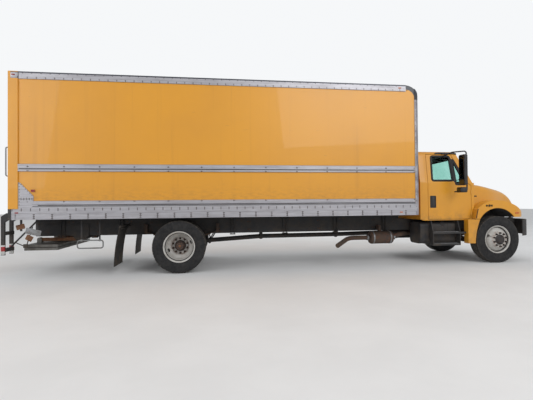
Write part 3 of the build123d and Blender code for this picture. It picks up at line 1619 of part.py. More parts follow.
# The mirror's arm: X from the front axle, |y| and z of its corners, from the door's frame out over
# the glass, down outside the mirrors and back to the door
mirror_arm = [
    (-1150.0, roof_edge_half_width + 20.0, 2345.0),
    (-1100.0, 1180.0, 2400.0),
    (-860.0, 1300.0, 2412.0),
    (-850.0, 1300.0, 1570.0),
    (-930.0, cab_half_width - 6.0, 1560.0),
]
mirror_shell_lip = 20.0
mirror_stub = 24.0
flat_mirror = ((-985.0, -905.0), (1230.0, 1430.0), (1690.0, 2330.0))
convex_mirror = ((-1040.0, -900.0), (1230.0, 1410.0), (1535.0, 1645.0))
for name, side in sides.items():
    outward = Align.MIN if side > 0 else Align.MAX
    with BuildPart() as door:
        add(cab_outer)
        add(cab_inner, mode=Mode.SUBTRACT)
        add(door_prism, mode=Mode.INTERSECT)
        add(slab(x_cab_back, x_cab_front, 0, side * far, 0, roof_crown_z), mode=Mode.INTERSECT)
        for prism in window_prisms:
            add(prism, mode=Mode.SUBTRACT)
        # Recess of the pull handle, and the handle's grip across it
        handle_width = handle_x[1] - handle_x[0]
        handle_height = handle_z[1] - handle_z[0]
        handle_middle = (x_front_axle + sum(handle_x) / 2, side * cab_half_width, sum(handle_z) / 2)
        with Locations(handle_middle):
            Box(handle_width, 2 * handle_depth, handle_height, mode=Mode.SUBTRACT)
            Box(grip_width, 2 * handle_depth - 8, handle_height - 40)
            Box(grip_width - 4, 2 * handle_depth, handle_height)
        kept_side = Keep.BOTTOM if side < 0 else Keep.TOP
        split(bisect_by=Plane.XZ.offset(-side * cab_half_width), keep=kept_side)
    finish(door, f"door_{name}")

    with BuildPart() as door_glass:
        for prism in window_prisms:
            add(prism)
        add(glass_shell.part, mode=Mode.INTERSECT)
        add(slab(x_cab_back, x_cab_front, 0, side * far, 0, roof_crown_z), mode=Mode.INTERSECT)
    finish(door_glass, f"door_glass_{name}")

    with BuildPart() as mirror_unit:
        arm_points = [(x_front_axle + x, side * y, z) for x, y, z in mirror_arm]
        tube_along(arm_points, mirror_arm_radius, mirror_bend)
        post_x, post_y, post_z = mirror_arm[3]
        for (x_low, x_high), (y_low, y_high), (z_low, z_high) in (flat_mirror, convex_mirror):
            with BuildSketch(Plane.YZ.offset(x_front_axle + x_low)):
                with Locations((side * (y_low + y_high) / 2, (z_low + z_high) / 2)):
                    RectangleRounded(y_high - y_low, z_high - z_low, 35)
            extrude(amount=x_high - x_low - mirror_shell_lip)
            stub_x = x_high - 1.5 * mirror_shell_lip
            with Locations((x_front_axle + stub_x, side * post_y, (z_low + z_high) / 2)):
                Box(
                    post_x - stub_x,
                    mirror_stub,
                    mirror_stub,
                    align=(Align.MIN, Align.CENTER, Align.CENTER),
                )
        add(door.part, mode=Mode.SUBTRACT)
    finish(mirror_unit, f"mirror_{name}")


def hood_form(inset):
    """The middle of the hood as one solid through its rounded sections, faces moved in by inset."""
    with BuildPart() as form:
        for x, foot_half, shoulder_half, shoulder_z, crown_z, radius in hood_sections:
            forward = -inset if x == hood_sections[-1][0] else 0
            if x == hood_sections[0][0] and inset:
                forward = -10
            with BuildSketch(Plane.YZ.offset(x_front_axle + x + forward)) as section:
                low = hood_foot - (20 if inset else 0)
                with BuildLine():
                    Polyline(
                        (-shoulder_half + inset, shoulder_z - inset),
                        (-foot_half + inset, low),
                        (foot_half - inset, low),
                        (shoulder_half - inset, shoulder_z - inset),
                    )
                    ThreePointArc(
                        (shoulder_half - inset, shoulder_z - inset),
                        (0, crown_z - inset),
                        (-shoulder_half + inset, shoulder_z - inset),
                    )
                make_face()
                fillet(section.vertices().group_by(Axis.Y)[-1], radius - inset)
        loft()
    return form.part


# Fender outline from the side, in offsets from the front axle, and its rounded plan
fender_rear = -540.0
fender_seam = (-500.0, 1180.0)
fender_rise = (-300.0, 1312.0)
fender_crown = (-36.0, 1369.0)
fender_fall = (345.0, 1280.0)
fender_nose = (690.0, 1045.0)
fender_nose_foot = (668.0, 997.0)
arch_front = (383.0, 999.0)
arch_top = (-20.0, 1200.0)
fender_corner_x = 375.0
fender_front_half = 560.0
fender_bottom = skirt_top + 10


def fender_form(inset, side):
    """One fender as a solid block with its faces moved in by inset."""
    def at(point):
        return (x_front_axle + point[0], point[1])

    with BuildPart() as form:
        with BuildSketch(Plane.XZ.offset(-side * (fender_half_width - inset))) as outline:
            with BuildLine():
                Line(at((fender_rear, fender_bottom)), at(fender_seam))
                ThreePointArc(at(fender_seam), at(fender_rise), at(fender_crown))
                ThreePointArc(at(fender_crown), at(fender_fall), at(fender_nose))
                Polyline(
                    at(fender_nose),
                    at(fender_nose_foot),
                    at((fender_nose_foot[0], fender_bottom)),
                    at((fender_rear, fender_bottom)),
                )
            make_face()
            if inset:
                offset(amount=-inset, kind=Kind.INTERSECTION, mode=Mode.REPLACE)
                with Locations(at(((fender_rear + fender_nose_foot[0]) / 2, fender_bottom))):
                    Rectangle(fender_nose_foot[0] - fender_rear - 2 * inset - 20, 8 * inset)
        extrude(amount=side * (fender_half_width - inset - fender_front_half))
        with BuildSketch(Plane.XY.offset(fender_bottom - 4 * inset - 1)):
            with BuildLine():
                corner = (x_front_axle + fender_corner_x, side * (fender_half_width - inset))
                tip = (x_front_axle + fender_nose[0] + 20 - inset, side * fender_front_half)
                Line((x_front_axle + fender_rear, side * (fender_half_width - inset)), corner)
                TangentArc(corner, tip, tangent=(1, 0))
                Polyline(
                    tip,
                    (x_front_axle + fender_rear, side * fender_front_half),
                    (x_front_axle + fender_rear, side * (fender_half_width - inset)),
                )
            make_face()
        extrude(amount=fender_crown[1] - fender_bottom + 200, mode=Mode.INTERSECT)
    return form.part


# Headlamps: lenses flush with the swept front corners of the fenders
lamp_y = (700.0, 985.0)
lamp_z = (1035.0, 1185.0)
lamp_depth = 60.0
lamp_wrap = 200.0  # how far the lens runs back over the fender's nose
hood_core = hood_form(0.0)
hood_space = hood_form(hood_wall)
fender_blocks = {side: fender_form(0.0, side) for side in (1, -1)}
fender_spaces = {side: fender_form(hood_wall, side) for side in (1, -1)}


def lamp_prism(side):
    """The headlamp's outline seen from the front, run back through the fender."""
    with BuildPart() as prism:
        with BuildSketch(Plane.YZ.offset(x_front_axle + fender_nose[0] - lamp_wrap)):
            with Locations((side * sum(lamp_y) / 2, sum(lamp_z) / 2)):
                RectangleRounded(lamp_y[1] - lamp_y[0], lamp_z[1] - lamp_z[0], 45)
        extrude(amount=lamp_wrap + 50)
    return prism.part


def lens_solid(side):
    """The front layer of one fender inside the lamp's outline."""
    with BuildPart() as lens:
        add(fender_blocks[side])
        add(fender_form(lamp_depth, side), mode=Mode.SUBTRACT)
        add(lamp_prism(side), mode=Mode.INTERSECT)
    return lens.solids().sort_by(SortBy.VOLUME)[-1]


hood_clear_y = cab_half_width + panel_gap
hood_low_z = 900.0  # below every edge of the hood
hood_high_z = 1800.0  # above its crown
arch_cut_depth = 120.0
hinge_arm_y = 300.0
hinge_arm_thickness = 16.0
grille_half = 390.0
grille_z = (1045.0, 1270.0)
grille_bars = 6
grille_proud = 12.0
grille_frame = 22.0
x_nose_face = x_front_axle + hood_sections[-1][0]
with BuildPart() as hood:
    add(hood_core)
    for side in (1, -1):
        add(fender_blocks[side])
    add(hood_space, mode=Mode.SUBTRACT)
    for side in (1, -1):
        add(fender_spaces[side], mode=Mode.SUBTRACT)
        # Wheel arch through the fender's outer face
        with BuildSketch(Plane.XZ.offset(-side * (fender_half_width + 5))) as arch:
            with BuildLine():
                ThreePointArc(
                    (x_front_axle + arch_front[0], arch_front[1]),
                    (x_front_axle + arch_top[0], arch_top[1]),
                    (x_front_axle + arch_shoulder[0], arch_shoulder[1]),
                )
                Polyline(
                    (x_front_axle + arch_shoulder[0], arch_shoulder[1]),
                    (x_front_axle + arch_shoulder[0], fender_bottom - 20),
                    (x_front_axle + arch_front[0], fender_bottom - 20),
                    (x_front_axle + arch_front[0], arch_front[1]),
                )
            make_face()
        extrude(arch.sketch, amount=side * arch_cut_depth, mode=Mode.SUBTRACT)
        add(lamp_prism(side), mode=Mode.SUBTRACT)
    # Clear of the cab, and of the bumper below
    for x_low, x_high, half, top in (
        (x_front_axle + fender_rear - 60, x_front_axle + hood_rear_offset, hood_clear_y, hood_high_z),
        (x_front_axle + arch_front[0], x_bumper_face, fender_half_width + 50, fender_nose_foot[1]),
    ):
        add(slab(x_low, x_high, -half, half, hood_low_z, top), mode=Mode.SUBTRACT)
    with BuildSketch(Plane.YZ.offset(x_nose_face + 5)):
        with Locations((0, sum(grille_z) / 2)):
            RectangleRounded(2 * grille_half, grille_z[1] - grille_z[0], 40)
    extrude(amount=-3 * hood_wall, mode=Mode.SUBTRACT)
    # Hinge tube with its brackets, and the notches round the frame's ears
    for side in (1, -1):
        with Locations((hood_hinge_x, side * rail_mid_y, hood_hinge_z)):
            Box(100, hinge_ear_thickness + 12, 2 * hinge_ear + 20, mode=Mode.SUBTRACT)
    with Locations(Location((hood_hinge_x, 0, hood_hinge_z), (90, 0, 0))):
        Cylinder(hood_pin_radius, 2 * rail_mid_y + 2 * hinge_ear_thickness)
    for y in (hinge_arm_y, -hinge_arm_y):
        with BuildSketch(Plane.XZ.offset(-(y + hinge_arm_thickness / 2))):
            with BuildLine():
                Polyline(
                    (hood_hinge_x - 30, hood_hinge_z + 1),
                    (x_nose_face - hood_wall / 2, hood_hinge_z + 1),
                    (x_nose_face - hood_wall / 2, grille_z[0] - 6),
                    (hood_hinge_x - 30, grille_z[0] - 6),
                    close=True,
                )
            make_face()
        extrude(amount=hinge_arm_thickness)
finish(hood, "hood")

with BuildPart() as headlamps:
    for side in (1, -1):
        add(lens_solid(side))
finish(headlamps, "headlamps")

with BuildPart() as grille:
    with BuildSketch(Plane.YZ.offset(x_nose_face - hood_wall)):
        with Locations((0, sum(grille_z) / 2)):
            RectangleRounded(2 * grille_half, grille_z[1] - grille_z[0], 40)
            RectangleRounded(
                2 * (grille_half - grille_frame),
                grille_z[1] - grille_z[0] - 2 * grille_frame,
                20,
                mode=Mode.SUBTRACT,
            )
            with GridLocations(0, (grille_z[1] - grille_z[0]) / grille_bars, 1, grille_bars - 1):
                Rectangle(2 * grille_half - grille_frame, 12)
    extrude(amount=hood_wall + grille_proud)
finish(grille, "grille")

# Lamps on the body: rear cluster, header lamps and side markers
tail_lamp_radius = 50.0
tail_lamp_y = (rung_y - tail_lamp_radius - 6, rung_y + tail_lamp_radius + 6)
tail_lamp_depth = 22.0
header_lamp = (120.0, 40.0, 16.0)  # width, height and depth of each lamp on the header
header_lamp_pitch = 160.0
header_lamp_y = box_width / 2 - 145
header_lamp_z = box_top - 60
side_lamp = (64.0, 18.0, 40.0)
with BuildPart() as lamps:
    for side in (1, -1):
        with BuildSketch(Plane.YZ.offset(x_box_rear)):
            with Locations(*[(side * y, box_bottom + 68) for y in tail_lamp_y]):
                Circle(tail_lamp_radius)
        extrude(amount=-tail_lamp_depth)
        outward = Align.MIN if side > 0 else Align.MAX
        with Locations((x_box_rear + 420, side * wall_face_y, 1600)):
            Box(*side_lamp, align=(Align.CENTER, outward, Align.CENTER))
    with BuildSketch(Plane.YZ.offset(x_box_rear)):
        with Locations((header_lamp_y, header_lamp_z), (-header_lamp_y, header_lamp_z)):
            RectangleRounded(*header_lamp[0:2], 10)
        with Locations((0, header_lamp_z)):
            with GridLocations(header_lamp_pitch, 0, 3, 1):
                RectangleRounded(*header_lamp[0:2], 10)
    extrude(amount=-header_lamp[2])
finish(lamps, "lamps")
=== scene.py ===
"""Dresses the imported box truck: a yellow freight box and hooded cab on a black ladder frame.

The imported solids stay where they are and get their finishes. The tyres and the seats are replaced
by finer meshes, and small hardware is added on the bodies that carry it. Metres, +X forward,
+Y to the truck's left, +Z up.
"""

import logging
import math
from collections.abc import Iterable, Sequence
from dataclasses import dataclass
from enum import Enum
from typing import Protocol

import bmesh
import bpy
import numpy as np
from mathutils import Matrix, Vector


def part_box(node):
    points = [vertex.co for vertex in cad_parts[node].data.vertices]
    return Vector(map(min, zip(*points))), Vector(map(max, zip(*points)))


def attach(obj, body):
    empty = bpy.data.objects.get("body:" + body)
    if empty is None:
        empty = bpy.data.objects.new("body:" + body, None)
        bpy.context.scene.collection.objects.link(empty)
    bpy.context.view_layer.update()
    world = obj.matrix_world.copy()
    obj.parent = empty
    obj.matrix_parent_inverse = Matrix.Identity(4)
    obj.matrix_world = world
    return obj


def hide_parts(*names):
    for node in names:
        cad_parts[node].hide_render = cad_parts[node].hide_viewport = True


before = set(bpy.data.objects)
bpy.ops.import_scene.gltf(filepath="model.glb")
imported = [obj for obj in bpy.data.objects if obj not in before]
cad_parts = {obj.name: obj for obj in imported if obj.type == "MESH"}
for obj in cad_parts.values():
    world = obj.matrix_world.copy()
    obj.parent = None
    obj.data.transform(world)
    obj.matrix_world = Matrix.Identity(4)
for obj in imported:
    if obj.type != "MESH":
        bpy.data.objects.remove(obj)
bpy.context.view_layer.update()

log = logging.getLogger("box_truck")
SIDES = {"left": 1, "right": -1}
Color = tuple[float, float, float, float]
Point = tuple[float, float, float]
Pair = tuple[float, float]
SMOOTH_ANGLE = math.radians(38)
WELD = 1e-5

# Stations of the truck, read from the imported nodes
FRONT_AXLE_X = (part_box("front_left_tyre")[0].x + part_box("front_left_tyre")[1].x) / 2
REAR_AXLE_X = (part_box("rear_left_tyres")[0].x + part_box("rear_left_tyres")[1].x) / 2
WHEEL_Z = (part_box("front_left_tyre")[0].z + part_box("front_left_tyre")[1].z) / 2
BOX_REAR_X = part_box("box_rear_frame")[0].x
BOX_FRONT_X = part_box("box_front_wall")[1].x
BOX_TOP_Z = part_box("box_roof")[1].z
BOX_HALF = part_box("box_rear_frame")[1].y
BOX_BOTTOM_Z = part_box("box_rear_frame")[0].z
WALL_REAR_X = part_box("box_left_wall")[0].x


def srgb(red: float, green: float, blue: float) -> Color:
    """A display colour of 0 to 255 a channel as the linear colour that a shader socket takes.

    Args:
        red: The red channel.
        green: The green channel.
        blue: The blue channel.

    Returns:
        Linear red, green and blue, and an alpha of 1.
    """
    share = np.array([red, green, blue], float) / 255
    linear = np.where(share <= 0.04045, share / 12.92, ((share + 0.055) / 1.055) ** 2.4)
    return (float(linear[0]), float(linear[1]), float(linear[2]), 1.0)


@dataclass(frozen=True)
class Skin:
    """A surface as points and the corner numbers of its quads."""

    points: np.ndarray
    quads: np.ndarray

    def moved(self, x: float = 0.0, y: float = 0.0, z: float = 0.0) -> "Skin":
        """The same surface moved by an offset."""
        return Skin(self.points + np.array([x, y, z]), self.quads)

    def turned(self, turn: Matrix) -> "Skin":
        """The same surface turned about the origin by a three by three matrix."""
        return Skin(self.points @ np.array(turn.to_3x3()).T, self.quads)

    def sided(self, side: int) -> "Skin":
        """The surface itself on the left, or its mirror image in the middle plane on the right."""
        return Skin(self.points * np.array([1.0, side, 1.0]), self.quads)


def grid_quads(rows: int, columns: int, loop_rows: bool, loop_columns: bool) -> np.ndarray:
    """Numbers the quads between neighbouring rows and columns of a grid of points.

    Args:
        rows: Number of rows of points.
        columns: Number of points in a row.
        loop_rows: Whether the last row joins the first.
        loop_columns: Whether the last point of a row joins its first.

    Returns:
        Four corner numbers a quad.
    """
    first = np.arange(rows if loop_rows else rows - 1)
    second = np.arange(columns if loop_columns else columns - 1)
    row, column = np.meshgrid(first, second, indexing="ij")
    next_row, next_column = (row + 1) % rows, (column + 1) % columns
    corners = [
        row * columns + column,
        row * columns + next_column,
        next_row * columns + next_column,
        next_row * columns + column,
    ]
    return np.stack(corners, -1).reshape(-1, 4)


def joined(skins: Iterable[Skin]) -> Skin:
    """Puts several surfaces into one list of points and quads."""
    parts = list(skins)
    starts = np.cumsum([0] + [len(part.points) for part in parts[:-1]])
    points = np.concatenate([part.points for part in parts])
    quads = np.concatenate([part.quads + start for part, start in zip(parts, starts)])
    return Skin(points, quads)


def scattered(skin: Skin, places: np.ndarray) -> Skin:
    """Copies a small surface to many places at once.

    Args:
        skin: The surface, drawn round the origin.
        places: One point a row.

    Returns:
        All copies: copy k of point p is p plus place k.
    """
    count = len(skin.points)
    points = (places[:, None, :] + skin.points[None, :, :]).reshape(-1, 3)
    quads = (np.arange(len(places))[:, None, None] * count + skin.quads[None]).reshape(-1, 4)
    return Skin(points, quads)


def lathe(profile: Sequence[Pair], steps: int) -> Skin:
    """Turns a profile about the Y axis.

    A point at angle t is (radius cos t, along, radius sin t). A profile that starts and ends at a
    radius of zero closes in two poles.

    Args:
        profile: Pairs of radius and distance along Y.
        steps: Number of columns round the axis.

    Returns:
        The surface of revolution.
    """
    shape = np.array(profile, float)
    angle = np.linspace(0, 2 * math.pi, steps, endpoint=False)[:, None]
    radius, along = shape[None, :, 0], shape[None, :, 1]
    x, z = radius * np.cos(angle), radius * np.sin(angle)
    points = np.stack([x, np.broadcast_to(along, x.shape), z], -1).reshape(-1, 3)
    return Skin(points, grid_quads(steps, len(shape), True, False))


def rounded_loop(corners: Sequence[tuple[float, ...]], radius: float, steps: int) -> np.ndarray:
    """Rounds every corner of a closed outline with a parabola.

    Each corner P between neighbours gives (1-t)^2 A + 2t(1-t) P + t^2 C, where A and C lie the
    radius away from P along its two sides, or 45 % of a side that is shorter.

    Args:
        corners: The outline's corners, in two or three dimensions.
        radius: Distance from a corner to where its rounding starts.
        steps: Points on each rounding.

    Returns:
        The rounded outline's points.
    """
    corner = np.array(corners, float)
    before, after = np.roll(corner, 1, 0) - corner, np.roll(corner, -1, 0) - corner
    reach_a = np.minimum(radius, 0.45 * np.linalg.norm(before, axis=1))[:, None]
    reach_c = np.minimum(radius, 0.45 * np.linalg.norm(after, axis=1))[:, None]
    start = corner + before / np.linalg.norm(before, axis=1)[:, None] * reach_a
    end = corner + after / np.linalg.norm(after, axis=1)[:, None] * reach_c
    t = np.linspace(0, 1, steps)[None, :, None]
    curve = (1 - t) ** 2 * start[:, None] + 2 * t * (1 - t) * corner[:, None] + t**2 * end[:, None]
    return curve.reshape(-1, corner.shape[1])


def rounded_run(corners: Sequence[tuple[float, ...]], radius: float, steps: int = 6) -> np.ndarray:
    """Rounds the inner corners of an open path and keeps its two ends."""
    corner = np.array(corners, float)
    return np.concatenate([corner[:1], rounded_loop(corner, radius, steps)[steps:-steps], corner[-1:]])


def circle(radius: float, steps: int) -> np.ndarray:
    """Points of a circle in its own plane: (radius cos t, radius sin t)."""
    angle = np.linspace(0, 2 * math.pi, steps, endpoint=False)
    return np.stack([radius * np.cos(angle), radius * np.sin(angle)], -1)


def rectangle(low: Pair, high: Pair, corner: float, steps: int = 5) -> np.ndarray:
    """A rectangle between two corners (x, z), its four corners rounded."""
    return rounded_loop([low, (high[0], low[1]), high, (low[0], high[1])], corner, steps)


def centred(half_x: float, half_z: float, corner: float, steps: int = 5) -> np.ndarray:
    """A rectangle about the origin, its four corners rounded."""
    return rectangle((-half_x, -half_z), (half_x, half_z), corner, steps)


def bar_section(width: float, height: float, corner: float = 0.0) -> np.ndarray:
    """A rectangle about its middle, with its corners rounded where a corner size is given."""
    a, b = width / 2, height / 2
    return centred(a, b, corner, 3) if corner else np.array([(-a, -b), (a, -b), (a, b), (-a, b)])


def refined(corners: np.ndarray, steps: int) -> np.ndarray:
    """Divides every side of a closed outline into even steps."""
    sides = zip(corners, np.roll(corners, -1, 0))
    return np.concatenate([np.linspace(start, end, steps, endpoint=False) for start, end in sides])


def upright(outline: np.ndarray, x: object) -> np.ndarray:
    """Stands an outline (y, z) across the truck, at one x or at one for each point."""
    return np.column_stack([np.broadcast_to(x, len(outline)), outline])


def mirrored(skins: Iterable[Skin], side: int) -> list[Skin]:
    """Surfaces drawn for the left, as they are or mirrored to the right."""
    return [skin.sided(side) for skin in skins]


def carried(path: np.ndarray, section: np.ndarray, normal: Sequence[float], loop: bool = False) -> Skin:
    """Carries a section along a path.

    At path point P with tangent T the section's x lies along S = T x N and its y along S x T, so a
    point (a, b) goes to P + a S + b (S x T), where N is a fixed direction off the path. The ends
    of an open path shrink to their middles, which closes them.

    Args:
        path: Points of the path.
        section: Points of the section in its own plane.
        normal: A direction that the path never runs along.
        loop: Whether the path closes on itself.

    Returns:
        The swept surface.
    """
    if loop:
        tangent = np.roll(path, -1, 0) - np.roll(path, 1, 0)
    else:
        tangent = np.gradient(path, axis=0)
    tangent /= np.linalg.norm(tangent, axis=1)[:, None]
    across = np.cross(tangent, np.array(normal, float))
    across /= np.linalg.norm(across, axis=1)[:, None]
    up = np.cross(across, tangent)
    rows = path[:, None] + section[None, :, :1] * across[:, None] + section[None, :, 1:] * up[:, None]
    if not loop:
        first = np.broadcast_to(rows[0].mean(0), rows[:1].shape)
        last = np.broadcast_to(rows[-1].mean(0), rows[:1].shape)
        rows = np.concatenate([first, rows, last])
    return Skin(rows.reshape(-1, 3), grid_quads(len(rows), len(section), loop, True))


def plate(outline: np.ndarray, depth: float, edge: float, steps: int = 3) -> Skin:
    """Gives a flat outline in X and Z a depth along +Y, with its front edge rounded over.

    Row k of the rounding lies edge (1 - cos a) inside the outline and edge (1 - sin a) below the
    front, with a from zero to a right angle. Both faces shrink to the outline's middle.

    Args:
        outline: Points (x, z), convex or nearly so.
        depth: Distance from the back at y = 0 to the front.
        edge: Radius of the front edge.
        steps: Rows of the rounding.

    Returns:
        A closed plate.
    """
    middle = outline.mean(0)
    forward, backward = np.roll(outline, -1, 0) - outline, outline - np.roll(outline, 1, 0)
    forward /= np.maximum(np.linalg.norm(forward, axis=1), 1e-9)[:, None]
    backward /= np.maximum(np.linalg.norm(backward, axis=1), 1e-9)[:, None]
    direction = forward + backward
    direction /= np.maximum(np.linalg.norm(direction, axis=1), 1e-9)[:, None]
    inward = np.stack([-direction[:, 1], direction[:, 0]], -1)
    inward *= np.sign(np.sum(inward * (middle - outline), axis=1))[:, None]
    bend = np.linspace(0, math.pi / 2, steps)
    insets = np.concatenate([[0.0], edge * (1 - np.cos(bend))])
    heights = np.concatenate([[0.0], depth - edge * (1 - np.sin(bend))])
    flat = outline[None] + insets[:, None, None] * inward[None]
    rows = np.stack([flat[..., 0], np.broadcast_to(heights[:, None], flat.shape[:2]), flat[..., 1]], -1)
    back = np.broadcast_to([middle[0], 0.0, middle[1]], rows[:1].shape)
    front = np.broadcast_to([middle[0], depth, middle[1]], rows[:1].shape)
    rows = np.concatenate([back, rows, front])
    return Skin(rows.reshape(-1, 3), grid_quads(len(rows), len(outline), False, True))


def block(low: Sequence[float], high: Sequence[float], edge: float) -> Skin:
    """A block between two corners with rounded edges.

    A direction d on a unit sphere goes to middle + sign(d) (half - edge) + edge d, so the sphere's
    eight parts move out to the eight corners and flat faces open between them.

    Args:
        low: Lowest corner.
        high: Highest corner.
        edge: Radius of the edges.

    Returns:
        A closed rounded block.
    """
    low, high = np.array(low, float), np.array(high, float)
    middle, half = (low + high) / 2, (high - low) / 2
    quarter = np.linspace(0, math.pi / 2, 3)
    turn = np.concatenate([quarter + k * math.pi / 2 for k in range(4)])
    signs = np.array([[1, 1], [-1, 1], [-1, -1], [1, -1]]).repeat(3, 0)
    lift = np.concatenate([quarter - math.pi / 2, quarter])
    lift_sign = np.array([-1, 1]).repeat(3)
    inner = np.maximum(half - edge, 0)
    x = np.cos(lift)[:, None] * np.cos(turn)[None] * edge + signs[None, :, 0] * inner[0]
    y = np.cos(lift)[:, None] * np.sin(turn)[None] * edge + signs[None, :, 1] * inner[1]
    z = np.broadcast_to((np.sin(lift) * edge + lift_sign * inner[2])[:, None], x.shape)
    rows = np.stack([x, y, z], -1)
    foot = np.broadcast_to([0, 0, -half[2]], rows[:1].shape)
    head = np.broadcast_to([0, 0, half[2]], rows[:1].shape)
    rows = np.concatenate([foot, rows, head])
    return Skin(rows.reshape(-1, 3) + middle, grid_quads(len(rows), 12, False, True))


def rod(start: Sequence[float], end: Sequence[float], radius: float, steps: int = 14) -> Skin:
    """A round bar between two points."""
    path = np.array([start, end], float)
    run = path[1] - path[0]
    normal = (0, 0, 1) if abs(run[2]) < 0.8 * np.linalg.norm(run) else (0, 1, 0)
    return carried(path, circle(radius, steps), normal)


def shell(face: np.ndarray, back: Sequence[float]) -> Skin:
    """Gives a grid of points a thickness.

    Row i of the shell is the face's row i, followed by the same row moved by the thickness and run
    backwards. Its first and last rows are closed by quads between the two faces.

    Args:
        face: Points as rows, columns and coordinates.
        back: How far, and which way, the far face lies.

    Returns:
        A closed shell.
    """
    rows, columns = face.shape[:2]
    loops = np.concatenate([face, face[:, ::-1] + np.array(back, float)], axis=1)
    first = np.arange(columns - 1)
    mirror = 2 * columns - 1 - first
    cap = np.stack([first, first + 1, mirror - 1, mirror], -1)
    quads = [grid_quads(rows, 2 * columns, False, True), cap, cap + (rows - 1) * 2 * columns]
    return Skin(loops.reshape(-1, 3), np.concatenate(quads))


def between(first: np.ndarray, second: np.ndarray, columns: int) -> np.ndarray:
    """Rules a grid between two runs of points: row i is A_i (1 - t) + B_i t, with t from 0 to 1."""
    t = np.linspace(0, 1, columns)[None, :, None]
    return first[:, None] * (1 - t) + second[:, None] * t


def arc_through(
    first: Sequence[float], middle: Sequence[float], last: Sequence[float], steps: int
) -> np.ndarray:
    """Points of the circle's arc that runs through three points.

    The centre O solves 2 (B - A) . O = B . B - A . A, and the same with C for B.

    Args:
        first: Where the arc starts, as (x, z).
        middle: A point between.
        last: Where the arc ends.
        steps: Number of points.

    Returns:
        Points (x, z).
    """
    a, b, c = (np.array(point, float) for point in (first, middle, last))
    centre = np.linalg.solve(2 * np.stack([b - a, c - a]), np.array([b @ b - a @ a, c @ c - a @ a]))
    start, end = (math.atan2(*(point - centre)[::-1]) for point in (a, c))
    turn = np.linspace(start, end, steps)
    return centre + np.linalg.norm(a - centre) * np.stack([np.cos(turn), np.sin(turn)], -1)


def bolt(radius: float, height: float) -> Skin:
    """A hexagon head on its washer, drawn round the origin and pointing along +Y."""
    washer = capped([(1.5 * radius, 0.0), (1.5 * radius, 0.2 * height)], 12)
    return joined([washer, plate(circle(radius, 6), height, 0.15 * radius, 2)])


def dome(radius: float, height: float) -> Skin:
    """A rivet's head pointing along +Y: rings at radius cos a and height sin a."""
    bend = np.linspace(0, math.pi / 2, 4)
    return lathe(
        [(0.0, -0.001), (radius, -0.001)] + [(radius * math.cos(a), height * math.sin(a)) for a in bend], 10
    )


def ring(count: int, radius: float, start: float, part: Skin) -> Skin:
    """Copies a part about the Y axis at even angles."""
    turns = [Matrix.Rotation(-start - k * 2 * math.pi / count, 3, "Y") for k in range(count)]
    return joined(part.moved(radius).turned(turn) for turn in turns)


def powered(wave: np.ndarray, power: float) -> np.ndarray:
    """The size of each value raised to a power, its sign kept."""
    return np.sign(wave) * np.abs(wave) ** power


def band(radius: float, width: float, thickness: float, steps: int = 40) -> Skin:
    """A flat hoop round the Y axis, its section closed on itself."""
    low, high, far = -width / 2, width / 2, radius + thickness
    return lathe([(radius, low), (far, low), (far, high), (radius, high), (radius, low)], steps)


def capped(edge: Sequence[Pair], steps: int) -> Skin:
    """Turns an edge about the Y axis and closes both of its ends with a flat disc."""
    return lathe([(0.0, edge[0][1]), *edge, (0.0, edge[-1][1])], steps)


TO_FRONT = Matrix.Rotation(-math.pi / 2, 3, "Z")  # a plate's +Y front to +X, its x to -Y
TO_REAR = Matrix.Rotation(math.pi / 2, 3, "Z")  # a plate's +Y front to -X, its x to +Y
HALF_TURN = Matrix.Rotation(math.pi, 3, "Z")
TO_TOP = Matrix.Rotation(math.pi / 2, 3, "X")  # a plate's +Y front to +Z, its z to -Y


def make_piece(
    name: str, skins: Iterable[Skin], material: bpy.types.Material, body: str
) -> bpy.types.Object:
    """Makes one mesh object of some surfaces and lets it ride on a body.

    Doubled points are merged, which closes poles and seams, and the faces are turned outwards.

    Args:
        name: The piece's name.
        skins: Its surfaces, in place.
        material: Its finish.
        body: The body that it moves with.

    Returns:
        The new object.
    """
    whole = joined(skins)
    mesh = bpy.data.meshes.new(name)
    mesh.vertices.add(len(whole.points))
    mesh.vertices.foreach_set("co", whole.points.astype(np.float32).ravel())
    mesh.loops.add(4 * len(whole.quads))
    mesh.loops.foreach_set("vertex_index", whole.quads.astype(np.int32).ravel())
    mesh.polygons.add(len(whole.quads))
    mesh.polygons.foreach_set("loop_start", np.arange(len(whole.quads), dtype=np.int32) * 4)
    mesh.update(calc_edges=True)
    shape = bmesh.new()
    shape.from_mesh(mesh)
    bmesh.ops.remove_doubles(shape, verts=shape.verts, dist=WELD)
    bmesh.ops.dissolve_degenerate(shape, edges=shape.edges, dist=WELD)
    bmesh.ops.recalc_face_normals(shape, faces=shape.faces)
    shape.to_mesh(mesh)
    shape.free()
    mesh.polygons.foreach_set("use_smooth", np.ones(len(mesh.polygons), bool))
    mesh.set_sharp_from_angle(angle=SMOOTH_ANGLE)
    mesh.materials.append(material)
    piece = bpy.data.objects.new(name, mesh)
    bpy.context.scene.collection.objects.link(piece)
    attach(piece, body)
    log.info("made %s with %d faces on %s", name, len(mesh.polygons), body)
    return piece


